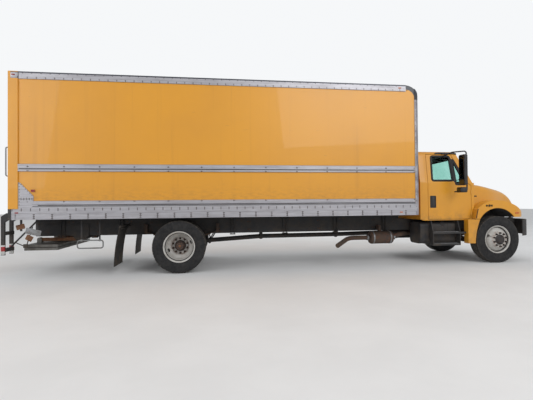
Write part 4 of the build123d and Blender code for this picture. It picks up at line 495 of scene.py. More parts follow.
class Wiring:
    """Adds nodes to one material and joins them. Each call gives the new node's output."""

    def __init__(self, name: str) -> None:
        """Starts a material with its shader and its place on the object."""
        self.material = bpy.data.materials.new(name)
        self.material.use_nodes = True
        self.nodes = self.material.node_tree.nodes
        self.links = self.material.node_tree.links
        self.shader = self.nodes["Principled BSDF"]
        self.place = self.nodes.new("ShaderNodeTexCoord").outputs["Object"]

    def put(self, socket: bpy.types.NodeSocket, value: object) -> None:
        """Links an output to a socket, or sets a plain value on it."""
        if isinstance(value, bpy.types.NodeSocket):
            self.links.new(value, socket)
        else:
            socket.default_value = value

    def stretched(self, scale: Sequence[float]) -> bpy.types.NodeSocket:
        """The place on the object, multiplied by a scale for each axis."""
        node = self.nodes.new("ShaderNodeMapping")
        self.links.new(self.place, node.inputs["Vector"])
        node.inputs["Scale"].default_value = tuple(scale)
        return node.outputs["Vector"]

    def axes(self) -> tuple[bpy.types.NodeSocket, bpy.types.NodeSocket, bpy.types.NodeSocket]:
        """The place's x, y and z."""
        node = self.nodes.new("ShaderNodeSeparateXYZ")
        self.links.new(self.place, node.inputs[0])
        return node.outputs[0], node.outputs[1], node.outputs[2]

    def noise(self, scale: float, detail: float, place: object = None) -> bpy.types.NodeSocket:
        """Cloudy noise between 0 and 1, about 0.5."""
        node = self.nodes.new("ShaderNodeTexNoise")
        self.put(node.inputs["Vector"], place or self.place)
        node.inputs["Scale"].default_value = scale
        node.inputs["Detail"].default_value = detail
        node.inputs["Roughness"].default_value = 0.6
        return node.outputs["Fac"]

    def cells(self, scale: float, feature: str = "F1") -> bpy.types.NodeSocket:
        """Distance to the nearest cell point, or to the nearest cell edge."""
        node = self.nodes.new("ShaderNodeTexVoronoi")
        node.feature = feature
        self.links.new(self.place, node.inputs["Vector"])
        node.inputs["Scale"].default_value = scale
        return node.outputs["Distance"]

    def step(self, operation: str, first: object, second: object = 0.0) -> bpy.types.NodeSocket:
        """One step of arithmetic on two numbers."""
        node = self.nodes.new("ShaderNodeMath")
        node.operation = operation
        self.put(node.inputs[0], first)
        self.put(node.inputs[1], second)
        return node.outputs[0]

    def ramp(self, value: object, low: float, high: float, to: Pair = (0.0, 1.0)) -> bpy.types.NodeSocket:
        """Smoothly maps a number from low..high to another range, held at its ends."""
        node = self.nodes.new("ShaderNodeMapRange")
        node.interpolation_type = "SMOOTHSTEP"
        self.put(node.inputs["Value"], value)
        node.inputs["From Min"].default_value = low
        node.inputs["From Max"].default_value = high
        node.inputs["To Min"].default_value = to[0]
        node.inputs["To Max"].default_value = to[1]
        return node.outputs["Result"]

    def plus(self, first: object, second: object) -> bpy.types.NodeSocket:
        """The sum of two numbers."""
        return self.step("ADD", first, second)

    def minus(self, first: object, second: object) -> bpy.types.NodeSocket:
        """The first number less the second."""
        return self.step("SUBTRACT", first, second)

    def times(self, first: object, second: object) -> bpy.types.NodeSocket:
        """The product of two numbers."""
        return self.step("MULTIPLY", first, second)

    def length(self, first: object, second: object) -> bpy.types.NodeSocket:
        """The root of the sum of two numbers' squares."""
        return self.step("SQRT", self.plus(self.times(first, first), self.times(second, second)))

    def cloud(
        self, scale: float, detail: float, low: float, high: float, to: Pair = (0.0, 1.0),
        stretch: Point = (1.0, 1.0, 1.0),
    ) -> bpy.types.NodeSocket:
        """Noise of a scale and detail, mapped from low..high to another range, its place scaled by axis."""
        place = self.place if stretch == (1.0, 1.0, 1.0) else self.stretched(stretch)
        return self.ramp(self.noise(scale, detail, place), low, high, to)

    def give(self, name: str, value: object) -> None:
        """Sets or links one of the shader's inputs."""
        self.put(self.shader.inputs[name], value)

    def mixed(self, share: object, first: object, second: object) -> bpy.types.NodeSocket:
        """Two colours mixed by a share."""
        node = self.nodes.new("ShaderNodeMix")
        node.data_type = "RGBA"
        self.put(node.inputs[0], share)
        self.put(node.inputs[6], first)
        self.put(node.inputs[7], second)
        return node.outputs[2]

    def radius(self, x: float, z: float) -> bpy.types.NodeSocket:
        """Distance from an axle that runs along Y through (x, z)."""
        here_x, _, here_z = self.axes()
        return self.length(self.minus(here_x, x), self.minus(here_z, z))

    def bump(self, height: object, depth: float, strength: float = 1.0) -> None:
        """Presses a height into the surface, on top of what is there already."""
        node = self.nodes.new("ShaderNodeBump")
        node.inputs["Strength"].default_value = strength
        node.inputs["Distance"].default_value = depth
        self.put(node.inputs["Height"], height)
        socket = self.shader.inputs["Normal"]
        if socket.is_linked:
            self.links.new(socket.links[0].from_socket, node.inputs["Normal"])
        self.links.new(node.outputs["Normal"], socket)

    def finished(self, color: object, roughness: object) -> bpy.types.Material:
        """Sets the shader's colour and roughness and gives the material."""
        self.give("Base Color", color)
        self.give("Roughness", roughness)
        return self.material


class Surface(Protocol):
    """What every finish has: a name, and a method that builds its material."""

    name: str

    def material(self) -> bpy.types.Material:
        """Builds the finish as a node material."""


class Grain(Enum):
    """How the fine surface of a finish runs."""

    CLOUDY = (1.0, 1.0, 1.0)
    ALONG_Z = (1.0, 1.0, 0.05)


@dataclass(frozen=True)
class Finish:
    """A worn surface: a colour that drifts, road dirt that thins out upwards, and a fine grain."""

    name: str
    color: Color
    faded: Color
    roughness: float
    metallic: float = 0.0
    drift_scale: float = 0.8
    drift: float = 0.6
    dirt: float = 0.35
    dirt_color: Color = srgb(86, 74, 60)
    dirt_top: float = 1.3
    spots: float = 0.0
    spot_color: Color = srgb(104, 58, 34)
    spot_scale: float = 9.0
    grain: Grain = Grain.CLOUDY
    grain_scale: float = 260.0
    grain_depth: float = 0.0004
    coat: float = 0.0

    def weathered(self, wires: Wiring, color: object) -> tuple[bpy.types.NodeSocket, bpy.types.NodeSocket]:
        """Lays spots and dirt over a colour.

        Args:
            wires: The material being made.
            color: The clean colour.

        Returns:
            The weathered colour and the share of dirt.
        """
        _, _, height = wires.axes()
        patch = wires.noise(self.spot_scale, 6.0)
        spotted = wires.mixed(
            wires.ramp(patch, 0.68 - 0.2 * self.spots, 0.74, (0.0, min(1.0, 1.6 * self.spots))), color,
            self.spot_color,
        )
        low = wires.ramp(height, 0.25, self.dirt_top, (1.0, 0.0))
        splash = wires.cloud(5.0, 7.0, 0.35, 0.72)
        film = wires.times(wires.plus(wires.times(low, 0.75), 0.12), splash)
        share = wires.times(film, self.dirt)
        return wires.mixed(share, spotted, self.dirt_color), share

    def material(self) -> bpy.types.Material:
        """Builds the finish as a node material."""
        wires = Wiring(self.name)
        drift = wires.ramp(wires.noise(self.drift_scale, 5.0), 0.3, 0.7, (0.0, self.drift))
        color, dirt = self.weathered(wires, wires.mixed(drift, self.color, self.faded))
        run = wires.noise(self.grain_scale, 3.0, wires.stretched(self.grain.value))
        rough = wires.ramp(run, 0.2, 0.8, (self.roughness * 0.8, min(1.0, self.roughness * 1.25)))
        rough = wires.plus(rough, wires.times(dirt, 0.35))
        wires.bump(run, self.grain_depth)
        wires.give("Metallic", self.metallic)
        wires.give("Coat Weight", self.coat)
        return wires.finished(color, rough)


AMBER = srgb(216, 150, 34)
AMBER_FADED = srgb(200, 138, 44)
ALUMINIUM = srgb(176, 175, 180)
ALUMINIUM_DULL = srgb(138, 136, 142)

BODY_PAINT = Finish(
    "amber body paint", AMBER, AMBER_FADED, 0.34, dirt=0.42, grain_scale=55.0, grain_depth=0.00012,
    coat=0.35,
)
RIVET_METAL = Finish(
    "dull rivet", srgb(128, 124, 124), srgb(96, 90, 88), 0.5, metallic=0.6, drift_scale=20.0, dirt=0.5,
    dirt_top=9.0, grain_scale=300.0,
)
FRAME_PAINT = Finish(
    "chassis black paint", srgb(34, 34, 37), srgb(46, 44, 44), 0.6, drift_scale=4.0, dirt=0.75, spots=0.4,
    spot_color=srgb(78, 46, 32), spot_scale=16.0, grain_scale=140.0, grain_depth=0.0006,
)
CAST_IRON = Finish(
    "rusty iron", srgb(62, 54, 50), srgb(84, 60, 46), 0.78, drift_scale=7.0, drift=0.9, dirt=0.7, spots=0.8,
    spot_color=srgb(98, 58, 38), spot_scale=12.0, grain_scale=120.0, grain_depth=0.001,
)
RUST_BROWN = Finish(
    "bare rusted steel", srgb(104, 66, 44), srgb(128, 92, 62), 0.82, drift_scale=14.0, drift=1.0, dirt=0.4,
    spots=0.8, spot_color=srgb(70, 42, 30), spot_scale=24.0, grain_scale=180.0, grain_depth=0.001,
)
ROOF_WHITE = Finish(
    "pale roof skin", srgb(204, 204, 201), srgb(194, 193, 188), 0.5, drift_scale=0.6, dirt=0.12,
    dirt_top=9.0, grain_scale=60.0, grain_depth=0.0003,
)
BLACK_PLASTIC = Finish(
    "moulded black plastic", srgb(33, 33, 35), srgb(48, 48, 50), 0.55, drift_scale=6.0, dirt=0.5,
    grain_scale=700.0, grain_depth=0.0003,
)
GREY_PLASTIC = Finish(
    "grained grey plastic", srgb(84, 84, 88), srgb(70, 70, 74), 0.62, drift_scale=4.0, dirt=0.25,
    grain_scale=900.0, grain_depth=0.0003,
)
RUBBER_SEAL = Finish(
    "black rubber seal", srgb(22, 22, 24), srgb(34, 34, 36), 0.7, drift_scale=8.0, dirt=0.4,
    grain_scale=500.0, grain_depth=0.0003,
)
FLAP_RUBBER = Finish(
    "dusty flap rubber", srgb(30, 30, 31), srgb(44, 42, 40), 0.8, drift_scale=6.0, dirt=0.9,
    grain=Grain.ALONG_Z, grain_scale=160.0, grain_depth=0.001,
)
ZINC = Finish(
    "dull zinc fastener", srgb(150, 148, 146), srgb(118, 104, 92), 0.45, metallic=0.75, drift_scale=30.0,
    drift=0.9, dirt=0.4, spots=0.4, spot_scale=50.0, grain_scale=500.0,
)
NUT_IRON = Finish(
    "dark wheel nut", srgb(52, 46, 44), srgb(84, 60, 48), 0.6, metallic=0.4, drift_scale=30.0, drift=0.9,
    dirt=0.3, spots=0.4, spot_scale=50.0, grain_scale=500.0,
)
GALVANISED = Finish(
    "galvanised steel", srgb(146, 148, 150), srgb(116, 116, 116), 0.5, metallic=0.6, drift_scale=20.0,
    dirt=0.6, spots=0.5, spot_scale=18.0, grain_scale=220.0, grain_depth=0.0005,
)
DARK_CLOTH = Finish(
    "dark ceiling cloth", srgb(40, 42, 48), srgb(50, 52, 58), 0.92, drift_scale=5.0, dirt=0.1,
    grain_scale=700.0, grain_depth=0.0006,
)
DARK_CAP = Finish(
    "dark corner cap", srgb(44, 48, 56), srgb(58, 60, 66), 0.5, drift_scale=5.0, dirt=0.3, grain_scale=200.0
)


@dataclass(frozen=True)
class BoxSkin:
    """The freight box's painted sheet: amber, faintly wavy, chalky in patches, its nose capped dark."""

    nose: Pair = (2.27, 3.482)  # middle of the nose's curve as (x, z)
    cap_radius: float = 0.198
    paint_z: float = 1.316  # the paint ends here and the sheet's grey edge shows below
    name: str = "freight box paint"

    def material(self) -> bpy.types.Material:
        """Builds the finish as a node material."""
        wires = Wiring(self.name)
        along, _, height = wires.axes()
        patch = wires.cloud(0.45, 4.0, 0.3, 0.7, (0.0, 0.5))
        base = wires.mixed(patch, AMBER, AMBER_FADED)
        runs = wires.cloud(7.0, 5.0, 0.52, 0.75, (0.0, 0.22), (1.0, 1.0, 0.03))
        base = wires.mixed(runs, base, srgb(170, 116, 40))
        scuffs = wires.cloud(26.0, 6.0, 0.66, 0.72, (0.0, 0.35), (0.12, 1.0, 1.0))
        base = wires.mixed(scuffs, base, srgb(150, 108, 56))
        low = wires.ramp(height, BOX_BOTTOM_Z + 0.3, BOX_BOTTOM_Z + 0.75, (0.22, 0.0))
        film = wires.times(low, wires.cloud(22.0, 6.0, 0.35, 0.7, stretch=(0.4, 1.0, 1.0)))
        color = wires.mixed(film, base, srgb(96, 80, 58))
        color = wires.mixed(
            wires.ramp(height, self.paint_z - 0.0018, self.paint_z, (1.0, 0.0)), color, srgb(112, 112, 114)
        )
        cap = wires.ramp(wires.radius(*self.nose), self.cap_radius - 0.001, self.cap_radius + 0.001)
        cap = wires.times(cap, wires.ramp(along, self.nose[0] - 0.036, self.nose[0] - 0.034))
        cap = wires.times(cap, wires.ramp(height, self.nose[1] - 0.002, self.nose[1]))
        color = wires.mixed(cap, color, DARK_CAP.color)
        wires.bump(wires.noise(1.3, 2.0, wires.stretched((1.0, 1.0, 0.35))), 0.012, 0.35)
        wires.bump(wires.noise(140.0, 3.0), 0.00015)
        wires.give("Coat Weight", 0.25)
        return wires.finished(color, wires.cloud(30.0, 4.0, 0.3, 0.7, (0.3, 0.44)))


@dataclass(frozen=True)
class RailMetal:
    """Mill aluminium along the box's sides, with long scratches and a dirty streak at each rivet.

    A row of streaks is (pitch, first, low, high): dark where x, past the first streak's distance
    from the rail's end, is near a multiple of the pitch, between two heights. Sixty pitches are
    added, so that the fold is taken of positive numbers.
    """

    start: float
    rows: tuple[tuple[float, float, float, float], ...] = (
        (0.156, 0.0, 3.645, 3.672), (0.1557, 0.0555, 1.235, 1.276), (0.3115, 0.266, 1.085, 1.172),
        (0.6215, 0.166, 1.951, 1.97), (0.6215, 0.166, 2.03, 2.05), (0.6215, 0.156, 1.39, 1.408),
    )
    edge_z: float = 3.745  # above this the roof's dark edge folds over the rail
    name: str = "riveted aluminium rail"

    def material(self) -> bpy.types.Material:
        """Builds the finish as a node material."""
        wires = Wiring(self.name)
        along, _, height = wires.axes()
        scratch = wires.cloud(46.0, 6.0, 0.35, 0.72, stretch=(0.03, 1.0, 1.0))
        base = wires.mixed(scratch, ALUMINIUM, srgb(152, 150, 155))
        cloud = wires.cloud(9.0, 6.0, 0.45, 0.75, (0.0, 0.3), (0.5, 1.0, 1.0))
        base = wires.mixed(cloud, base, srgb(132, 128, 128))
        base = wires.mixed(
            wires.ramp(height, self.edge_z - 0.003, self.edge_z + 0.003), base, srgb(70, 72, 80)
        )
        streaks: object = 0.0
        for pitch, first, low, high in self.rows:
            off = wires.step("PINGPONG", wires.plus(along, 60 * pitch - self.start - first), pitch / 2)
            line = wires.times(
                wires.ramp(off, 0.004, 0.013, (0.8, 0.0)), wires.ramp(height, low - 0.012, low)
            )
            line = wires.times(line, wires.ramp(height, high, high + 0.01, (1.0, 0.0)))
            streaks = wires.step("MAXIMUM", streaks, line)
        streaks = wires.times(streaks, wires.cloud(11.0, 5.0, 0.3, 0.6, (0.35, 1.0)))
        wires.bump(wires.noise(420.0, 3.0, wires.stretched((0.04, 1.0, 1.0))), 0.0002)
        wires.give("Metallic", 0.62)
        rough = wires.cloud(35.0, 4.0, 0.3, 0.7, (0.38, 0.5))
        return wires.finished(wires.mixed(streaks, base, srgb(62, 56, 56)), rough)


@dataclass(frozen=True)
class RearFramePaint:
    """Amber paint on the rear frame over a black foot and sill."""

    foot_z: float = 1.27
    name: str = "rear frame paint"

    def material(self) -> bpy.types.Material:
        """Builds the finish as a node material."""
        wires = Wiring(self.name)
        _, _, height = wires.axes()
        paint = wires.mixed(wires.cloud(0.9, 4.0, 0.3, 0.7, (0.0, 0.6)), AMBER, AMBER_FADED)
        chips = wires.cloud(30.0, 7.0, 0.67, 0.71, (0.0, 0.7))
        low = wires.ramp(height, self.foot_z, self.foot_z + 0.5, (1.0, 0.25))
        paint = wires.mixed(wires.times(chips, low), paint, srgb(112, 72, 46))
        black = wires.mixed(wires.cloud(14.0, 6.0, 0.4, 0.7), srgb(34, 34, 36), srgb(66, 58, 52))
        foot = wires.ramp(height, self.foot_z - 0.002, self.foot_z + 0.002, (1.0, 0.0))
        wires.bump(wires.noise(120.0, 3.0), 0.0002)
        wires.give("Coat Weight", 0.2)
        return wires.finished(
            wires.mixed(foot, paint, black), wires.cloud(30.0, 4.0, 0.3, 0.7, (0.34, 0.5))
        )


@dataclass(frozen=True)
class CabPaint:
    """Amber paint outside the cab, and grained grey trim on the faces that look into it.

    A face is inside where |y| + lean (z - belt) is less than the inner wall's, it lies ahead of the
    back wall and behind the windscreen's rake.
    """

    belt_z: float = 1.76
    lean: float = 0.1397
    inner_y: float = 0.959
    screen_x: float = 3.845
    rake: float = 0.531
    name: str = "cab paint and inner trim"

    def material(self) -> bpy.types.Material:
        """Builds the finish as a node material."""
        wires = Wiring(self.name)
        along, across, height = wires.axes()
        over = wires.step("MAXIMUM", wires.minus(height, self.belt_z), 0.0)
        spread = wires.plus(wires.step("ABSOLUTE", across), wires.times(over, self.lean))
        ahead = wires.plus(along, wires.times(over, self.rake))
        inside = wires.ramp(spread, self.inner_y - 0.001, self.inner_y + 0.001, (1.0, 0.0))
        inside = wires.times(inside, wires.ramp(ahead, self.screen_x, self.screen_x + 0.002, (1.0, 0.0)))
        back_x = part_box("cab_back")[1].x
        inside = wires.times(inside, wires.ramp(along, back_x - 0.004, back_x - 0.002))
        paint = wires.mixed(wires.cloud(0.8, 5.0, 0.3, 0.7, (0.0, 0.6)), AMBER, AMBER_FADED)
        low = wires.ramp(height, 0.9, 1.25, (0.45, 0.0))
        film = wires.times(low, wires.cloud(7.0, 6.0, 0.38, 0.7))
        paint = wires.mixed(film, paint, srgb(104, 84, 58))
        trim = wires.mixed(wires.cloud(5.0, 4.0, 0.3, 0.7), srgb(62, 62, 66), srgb(52, 52, 56))
        wires.bump(wires.noise(60.0, 2.0), 0.00012)
        wires.give("Coat Weight", wires.times(wires.minus(1.0, inside), 0.35))
        rough = wires.ramp(inside, 0.0, 1.0, (0.36, 0.75))
        return wires.finished(wires.mixed(inside, paint, trim), rough)


@dataclass(frozen=True)
class FrontWallSkin:
    """The front wall: amber sheet, bare aluminium covers round its two corners, dark nose caps."""

    cover_y: float
    cap_z: float
    name: str = "front wall with corner covers"

    def material(self) -> bpy.types.Material:
        """Builds the finish as a node material."""
        wires = Wiring(self.name)
        _, across, height = wires.axes()
        out = wires.ramp(wires.step("ABSOLUTE", across), self.cover_y - 0.001, self.cover_y + 0.001)
        above = wires.ramp(height, self.cap_z - 0.002, self.cap_z + 0.002)
        dull = wires.mixed(wires.cloud(6.0, 5.0, 0.35, 0.65), ALUMINIUM, ALUMINIUM_DULL)
        cover = wires.mixed(above, dull, DARK_CAP.color)
        paint = wires.mixed(wires.cloud(0.6, 4.0, 0.3, 0.7), AMBER, AMBER_FADED)
        metal = wires.times(out, wires.minus(1.0, above))
        wires.give("Metallic", wires.times(metal, 0.65))
        wires.bump(wires.noise(260.0, 3.0, wires.stretched((1.0, 1.0, 0.05))), 0.0002)
        return wires.finished(
            wires.mixed(out, paint, cover), wires.cloud(20.0, 4.0, 0.3, 0.7, (0.36, 0.52))
        )


@dataclass(frozen=True)
class WheelSteel:
    """A white disc wheel with a dark hub, rust round its studs and brake dust in its dish."""

    name: str
    axle_x: float
    hub_radius: float
    face_y: float
    hub_color: Color

    def material(self) -> bpy.types.Material:
        """Builds the finish as a node material."""
        wires = Wiring(self.name)
        radius = wires.radius(self.axle_x, WHEEL_Z)
        wander = wires.times(wires.minus(wires.noise(30.0, 5.0), 0.5), 0.03)
        worn = wires.plus(radius, wander)
        white = wires.mixed(wires.cloud(8.0, 5.0, 0.3, 0.7), srgb(196, 194, 190), srgb(172, 168, 162))
        halo = wires.times(wires.ramp(worn, 0.118, 0.14), wires.ramp(worn, 0.16, 0.2, (1.0, 0.0)))
        rust = wires.times(halo, wires.cloud(24.0, 6.0, 0.42, 0.62, (0.05, 0.6)))
        dusty = wires.mixed(rust, white, srgb(126, 84, 56))
        dish = wires.times(wires.ramp(worn, 0.2, 0.26), wires.ramp(worn, 0.27, 0.29, (0.45, 0.1)))
        grimy = wires.mixed(wires.times(dish, wires.noise(14.0, 6.0)), dusty, srgb(84, 78, 72))
        hub = wires.mixed(wires.cloud(40.0, 6.0, 0.35, 0.65), self.hub_color, srgb(52, 40, 34))
        inside = wires.ramp(radius, self.hub_radius - 0.001, self.hub_radius + 0.001, (1.0, 0.0))
        out = wires.ramp(wires.step("ABSOLUTE", wires.axes()[1]), self.face_y + 0.001, self.face_y + 0.003)
        nuts = wires.times(out, wires.ramp(radius, 0.163, 0.164, (1.0, 0.0)))
        inside = wires.step("MAXIMUM", inside, nuts)
        wires.bump(wires.noise(180.0, 4.0), 0.0004)
        rough = wires.cloud(22.0, 4.0, 0.3, 0.7, (0.42, 0.62))
        return wires.finished(wires.mixed(inside, grimy, hub), rough)


@dataclass(frozen=True)
class TyreRubber:
    """Tyre rubber with a fine grit, greyer with dust on the tread."""

    name: str
    axle_x: float

    def material(self) -> bpy.types.Material:
        """Builds the finish as a node material."""
        wires = Wiring(self.name)
        radius = wires.radius(self.axle_x, WHEEL_Z)
        base = wires.mixed(wires.cloud(12.0, 6.0, 0.3, 0.7), srgb(30, 30, 32), srgb(44, 43, 43))
        tread = wires.ramp(radius, 0.485, 0.508)
        dusty = wires.times(tread, wires.cloud(18.0, 6.0, 0.3, 0.75, (0.15, 0.75)))
        color = wires.mixed(dusty, base, srgb(92, 86, 78))
        grit = wires.cloud(160.0, 2.0, 0.4, 0.6)
        wires.bump(grit, 0.0005)
        wires.give("Specular IOR Level", 0.35)
        return wires.finished(color, wires.cloud(25.0, 5.0, 0.3, 0.7, (0.72, 0.92)))


@dataclass(frozen=True)
class TintedGlass:
    """Greenish safety glass with a film of dust."""

    name: str = "tinted safety glass"

    def material(self) -> bpy.types.Material:
        """Builds the finish as a node material."""
        wires = Wiring(self.name)
        film = wires.cloud(3.5, 6.0, 0.35, 0.75)
        color = wires.mixed(film, srgb(206, 239, 232), srgb(192, 230, 221))
        wires.give("Transmission Weight", 1.0)
        wires.give("IOR", 1.2)
        wires.bump(wires.noise(4.0, 2.0), 0.0008, 0.3)
        return wires.finished(color, wires.cloud(6.0, 6.0, 0.4, 0.8, (0.0, 0.03)))


@dataclass(frozen=True)
class MirrorGlass:
    """Silvered glass with a few water marks, its silvering painted dark navy as a painted dark reflection.
    """

    name: str = "mirror glass"

    def material(self) -> bpy.types.Material:
        """Builds the finish as a node material."""
        wires = Wiring(self.name)
        marks = wires.cloud(22.0, 6.0, 0.55, 0.7)
        wires.give("Metallic", 1.0)
        # Painted reflection: the mirror's colour is dark navy, as if it reflected dark surroundings.
        return wires.finished(
            wires.mixed(marks, srgb(74, 82, 94), srgb(66, 72, 80)),
            wires.ramp(marks, 0.0, 1.0, (0.05, 0.18)),
        )


@dataclass(frozen=True)
class Lens:
    """A moulded lamp lens whose prisms show as a fine grid under its gloss."""

    name: str
    color: Color
    dark: Color
    prism_scale: float = 90.0

    def material(self) -> bpy.types.Material:
        """Builds the finish as a node material."""
        wires = Wiring(self.name)
        prisms = wires.cells(self.prism_scale, feature="DISTANCE_TO_EDGE")
        share = wires.ramp(prisms, 0.0, 0.25)
        wires.bump(prisms, 0.002, 0.6)
        wires.give("Coat Weight", 0.8)
        return wires.finished(
            wires.mixed(share, self.dark, self.color), wires.cloud(40.0, 4.0, 0.3, 0.7, (0.12, 0.24))
        )


@dataclass(frozen=True)
class HeadlampLens:
    """A clear lens over a round reflector painted light round the bulb as a painted reflection, with an
    amber turn signal in its outer end.

    Rings are drawn at the distance r from the bulb's axis, which runs along X.
    """

    bulb_y: float = 0.83
    bulb_z: float = 1.11
    amber_y: float = 0.925
    name: str = "headlamp lens"

    def material(self) -> bpy.types.Material:
        """Builds the finish as a node material."""
        wires = Wiring(self.name)
        _, across, height = wires.axes()
        off_y = wires.minus(wires.step("ABSOLUTE", across), self.bulb_y)
        radius = wires.length(off_y, wires.minus(height, self.bulb_z))
        # Painted reflection: the reflector is near white round the bulb and fades to grey outwards.
        reflection_falloff = wires.ramp(radius, 0.014, 0.055)
        color = wires.mixed(reflection_falloff, srgb(232, 236, 240), srgb(120, 128, 136))
        color = wires.mixed(wires.ramp(radius, 0.06, 0.064), color, srgb(178, 184, 190))
        ribs = wires.ramp(wires.step("PINGPONG", across, 0.006), 0.0, 0.006)
        color = wires.mixed(wires.times(ribs, 0.25), color, srgb(110, 118, 128))
        turn = wires.ramp(wires.step("ABSOLUTE", across), self.amber_y - 0.001, self.amber_y + 0.001)
        wires.bump(ribs, 0.0015, 0.6)
        wires.give("Coat Weight", 1.0)
        wires.give("Metallic", 0.35)
        return wires.finished(
            wires.mixed(turn, color, srgb(226, 118, 20)), wires.ramp(radius, 0.0, 0.06, (0.1, 0.25))
        )


@dataclass(frozen=True)
class SafetyTape:
    """Reflective tape in bars of red and white along one axis.

    The bars repeat at red + white, and 46 repeats are added, so that the remainder is of a positive
    number.
    """

    name: str
    axis: int
    red: float = 0.28
    white: float = 0.18

    def material(self) -> bpy.types.Material:
        """Builds the finish as a node material."""
        wires = Wiring(self.name)
        along = wires.axes()[self.axis]
        step = wires.step("MODULO", wires.plus(along, 46 * (self.red + self.white)), self.red + self.white)
        is_red = wires.ramp(step, self.red - 0.001, self.red + 0.001, (1.0, 0.0))
        weave = wires.ramp(wires.cells(210.0, feature="DISTANCE_TO_EDGE"), 0.0, 0.12)
        white = wires.mixed(weave, srgb(150, 150, 150), srgb(206, 206, 204))
        red = wires.mixed(weave, srgb(110, 20, 22), srgb(158, 30, 32))
        grime = wires.cloud(16.0, 6.0, 0.45, 0.75, (0.0, 0.4))
        color = wires.mixed(grime, wires.mixed(is_red, white, red), srgb(90, 78, 66))
        return wires.finished(color, wires.ramp(grime, 0.0, 0.4, (0.3, 0.6)))


@dataclass(frozen=True)
class SeatCloth:
    """Woven seat cloth in a twill of two greys, worn lighter on top."""

    twill: float = 1900.0  # radians a metre of the weave's two waves
    name: str = "woven seat cloth"

    def material(self) -> bpy.types.Material:
        """Builds the finish as a node material."""
        wires = Wiring(self.name)
        x, y, z = wires.axes()
        rise = wires.plus(wires.plus(x, z), y)
        fall = wires.minus(wires.plus(x, z), y)
        warp = wires.step("SINE", wires.times(rise, self.twill))
        weft = wires.step("SINE", wires.times(fall, self.twill))
        weave = wires.ramp(wires.times(warp, weft), -0.6, 0.6)
        thread = wires.mixed(weave, srgb(52, 54, 60), srgb(82, 84, 92))
        worn = wires.cloud(5.0, 5.0, 0.4, 0.7, (0.0, 0.4))
        wires.bump(weave, 0.0008)
        wires.give("Sheen Weight", 0.3)
        return wires.finished(
            wires.mixed(worn, thread, srgb(106, 104, 104)), wires.ramp(weave, 0.0, 1.0, (0.8, 0.95))
        )


@dataclass(frozen=True)
class TreadPlate:
    """Aluminium with a raised pattern of short bars set both ways."""

    wave: float = 150.0  # radians a metre of the pattern's two waves
    name: str = "aluminium tread plate"

    def material(self) -> bpy.types.Material:
        """Builds the finish as a node material."""
        wires = Wiring(self.name)
        x, y, _ = wires.axes()
        first = wires.step("SINE", wires.times(wires.plus(x, y), self.wave))
        second = wires.step("SINE", wires.times(wires.minus(x, y), self.wave))
        bars = wires.ramp(wires.times(first, second), 0.45, 0.8)
        dirt = wires.cloud(7.0, 6.0, 0.4, 0.7, (0.1, 0.7))
        color = wires.mixed(dirt, srgb(118, 116, 112), srgb(66, 57, 49))
        wires.bump(bars, 0.0025)
        wires.give("Metallic", 0.6)
        return wires.finished(color, wires.ramp(bars, 0.0, 1.0, (0.6, 0.35)))


@dataclass(frozen=True)
class SkirtPaint:
    """The skirts' amber paint, with black painted on the brackets that reach back to the steps, standing in
    for the shade under the cab.
    """

    shaded_bracket_x: float = 3.7345
    name: str = "skirt paint"

    def material(self) -> bpy.types.Material:
        """Builds the finish as a node material."""
        wires = Wiring(self.name)
        # Painted shade: the brackets behind this x are painted black where the shade under the cab falls.
        ahead = wires.ramp(wires.axes()[0], self.shaded_bracket_x - 0.0005, self.shaded_bracket_x)
        drift = wires.cloud(0.8, 5.0, 0.3, 0.7, (0.0, 0.6))
        paint = wires.mixed(ahead, srgb(32, 32, 34), wires.mixed(drift, AMBER, AMBER_FADED))
        color, dirt = BODY_PAINT.weathered(wires, paint)
        wires.bump(wires.noise(55.0, 3.0), 0.00012)
        wires.give("Coat Weight", 0.3)
        return wires.finished(color, wires.ramp(dirt, 0.0, 0.5, (0.34, 0.7)))


@dataclass(frozen=True)
class CoreFins:
    """A radiator core: flat tubes across y with fine folded fins between them, in a dark frame, with painted
    shade in its gaps and folds.
    """

    half: float = 0.3
    low: float = 0.72
    high: float = 1.2
    name: str = "radiator core"

    def material(self) -> bpy.types.Material:
        """Builds the finish as a node material."""
        wires = Wiring(self.name)
        _, across, height = wires.axes()
        tubes = wires.ramp(wires.step("PINGPONG", height, 0.006), 0.002, 0.003)
        fins = wires.ramp(wires.step("PINGPONG", across, 0.002), 0.0, 0.002)
        # Painted shade: the core is near black in narrow bands across it and in the fins' folds, and pale on
        # the fin faces.
        core = wires.mixed(wires.times(tubes, fins), srgb(30, 30, 32), srgb(104, 106, 108))
        inner = wires.ramp(wires.step("ABSOLUTE", across), self.half, self.half + 0.002, (1.0, 0.0))
        inner = wires.times(inner, wires.ramp(height, self.low - 0.002, self.low))
        inner = wires.times(inner, wires.ramp(height, self.high, self.high + 0.002, (1.0, 0.0)))
        wires.bump(wires.times(tubes, inner), 0.001)
        frame_color = wires.mixed(wires.cloud(12.0, 5.0, 0.3, 0.7), srgb(36, 36, 38), srgb(58, 52, 48))
        return wires.finished(
            wires.mixed(inner, frame_color, core), wires.cloud(20.0, 4.0, 0.3, 0.7, (0.45, 0.65))
        )


@dataclass(frozen=True)
class GaugeFace:
    """A black dial with fine pale specks for its marks."""

    name: str = "gauge dial"

    def material(self) -> bpy.types.Material:
        """Builds the finish as a node material."""
        wires = Wiring(self.name)
        speck = wires.ramp(wires.cells(520.0), 0.16, 0.2, (1.0, 0.0))
        wires.give("Coat Weight", 0.6)
        return wires.finished(
            wires.mixed(speck, srgb(20, 21, 23), srgb(206, 206, 200)),
            wires.cloud(50.0, 4.0, 0.3, 0.7, (0.3, 0.4)),
        )


class Finishes:
    """Every material of the truck, each made once."""

    def __init__(self) -> None:
        """Starts with an empty store."""
        self.store: dict[str, bpy.types.Material] = {}

    def of(self, finish: Surface) -> bpy.types.Material:
        """Gives the material of a finish, making it the first time."""
        if finish.name not in self.store:
            self.store[finish.name] = finish.material()
        return self.store[finish.name]


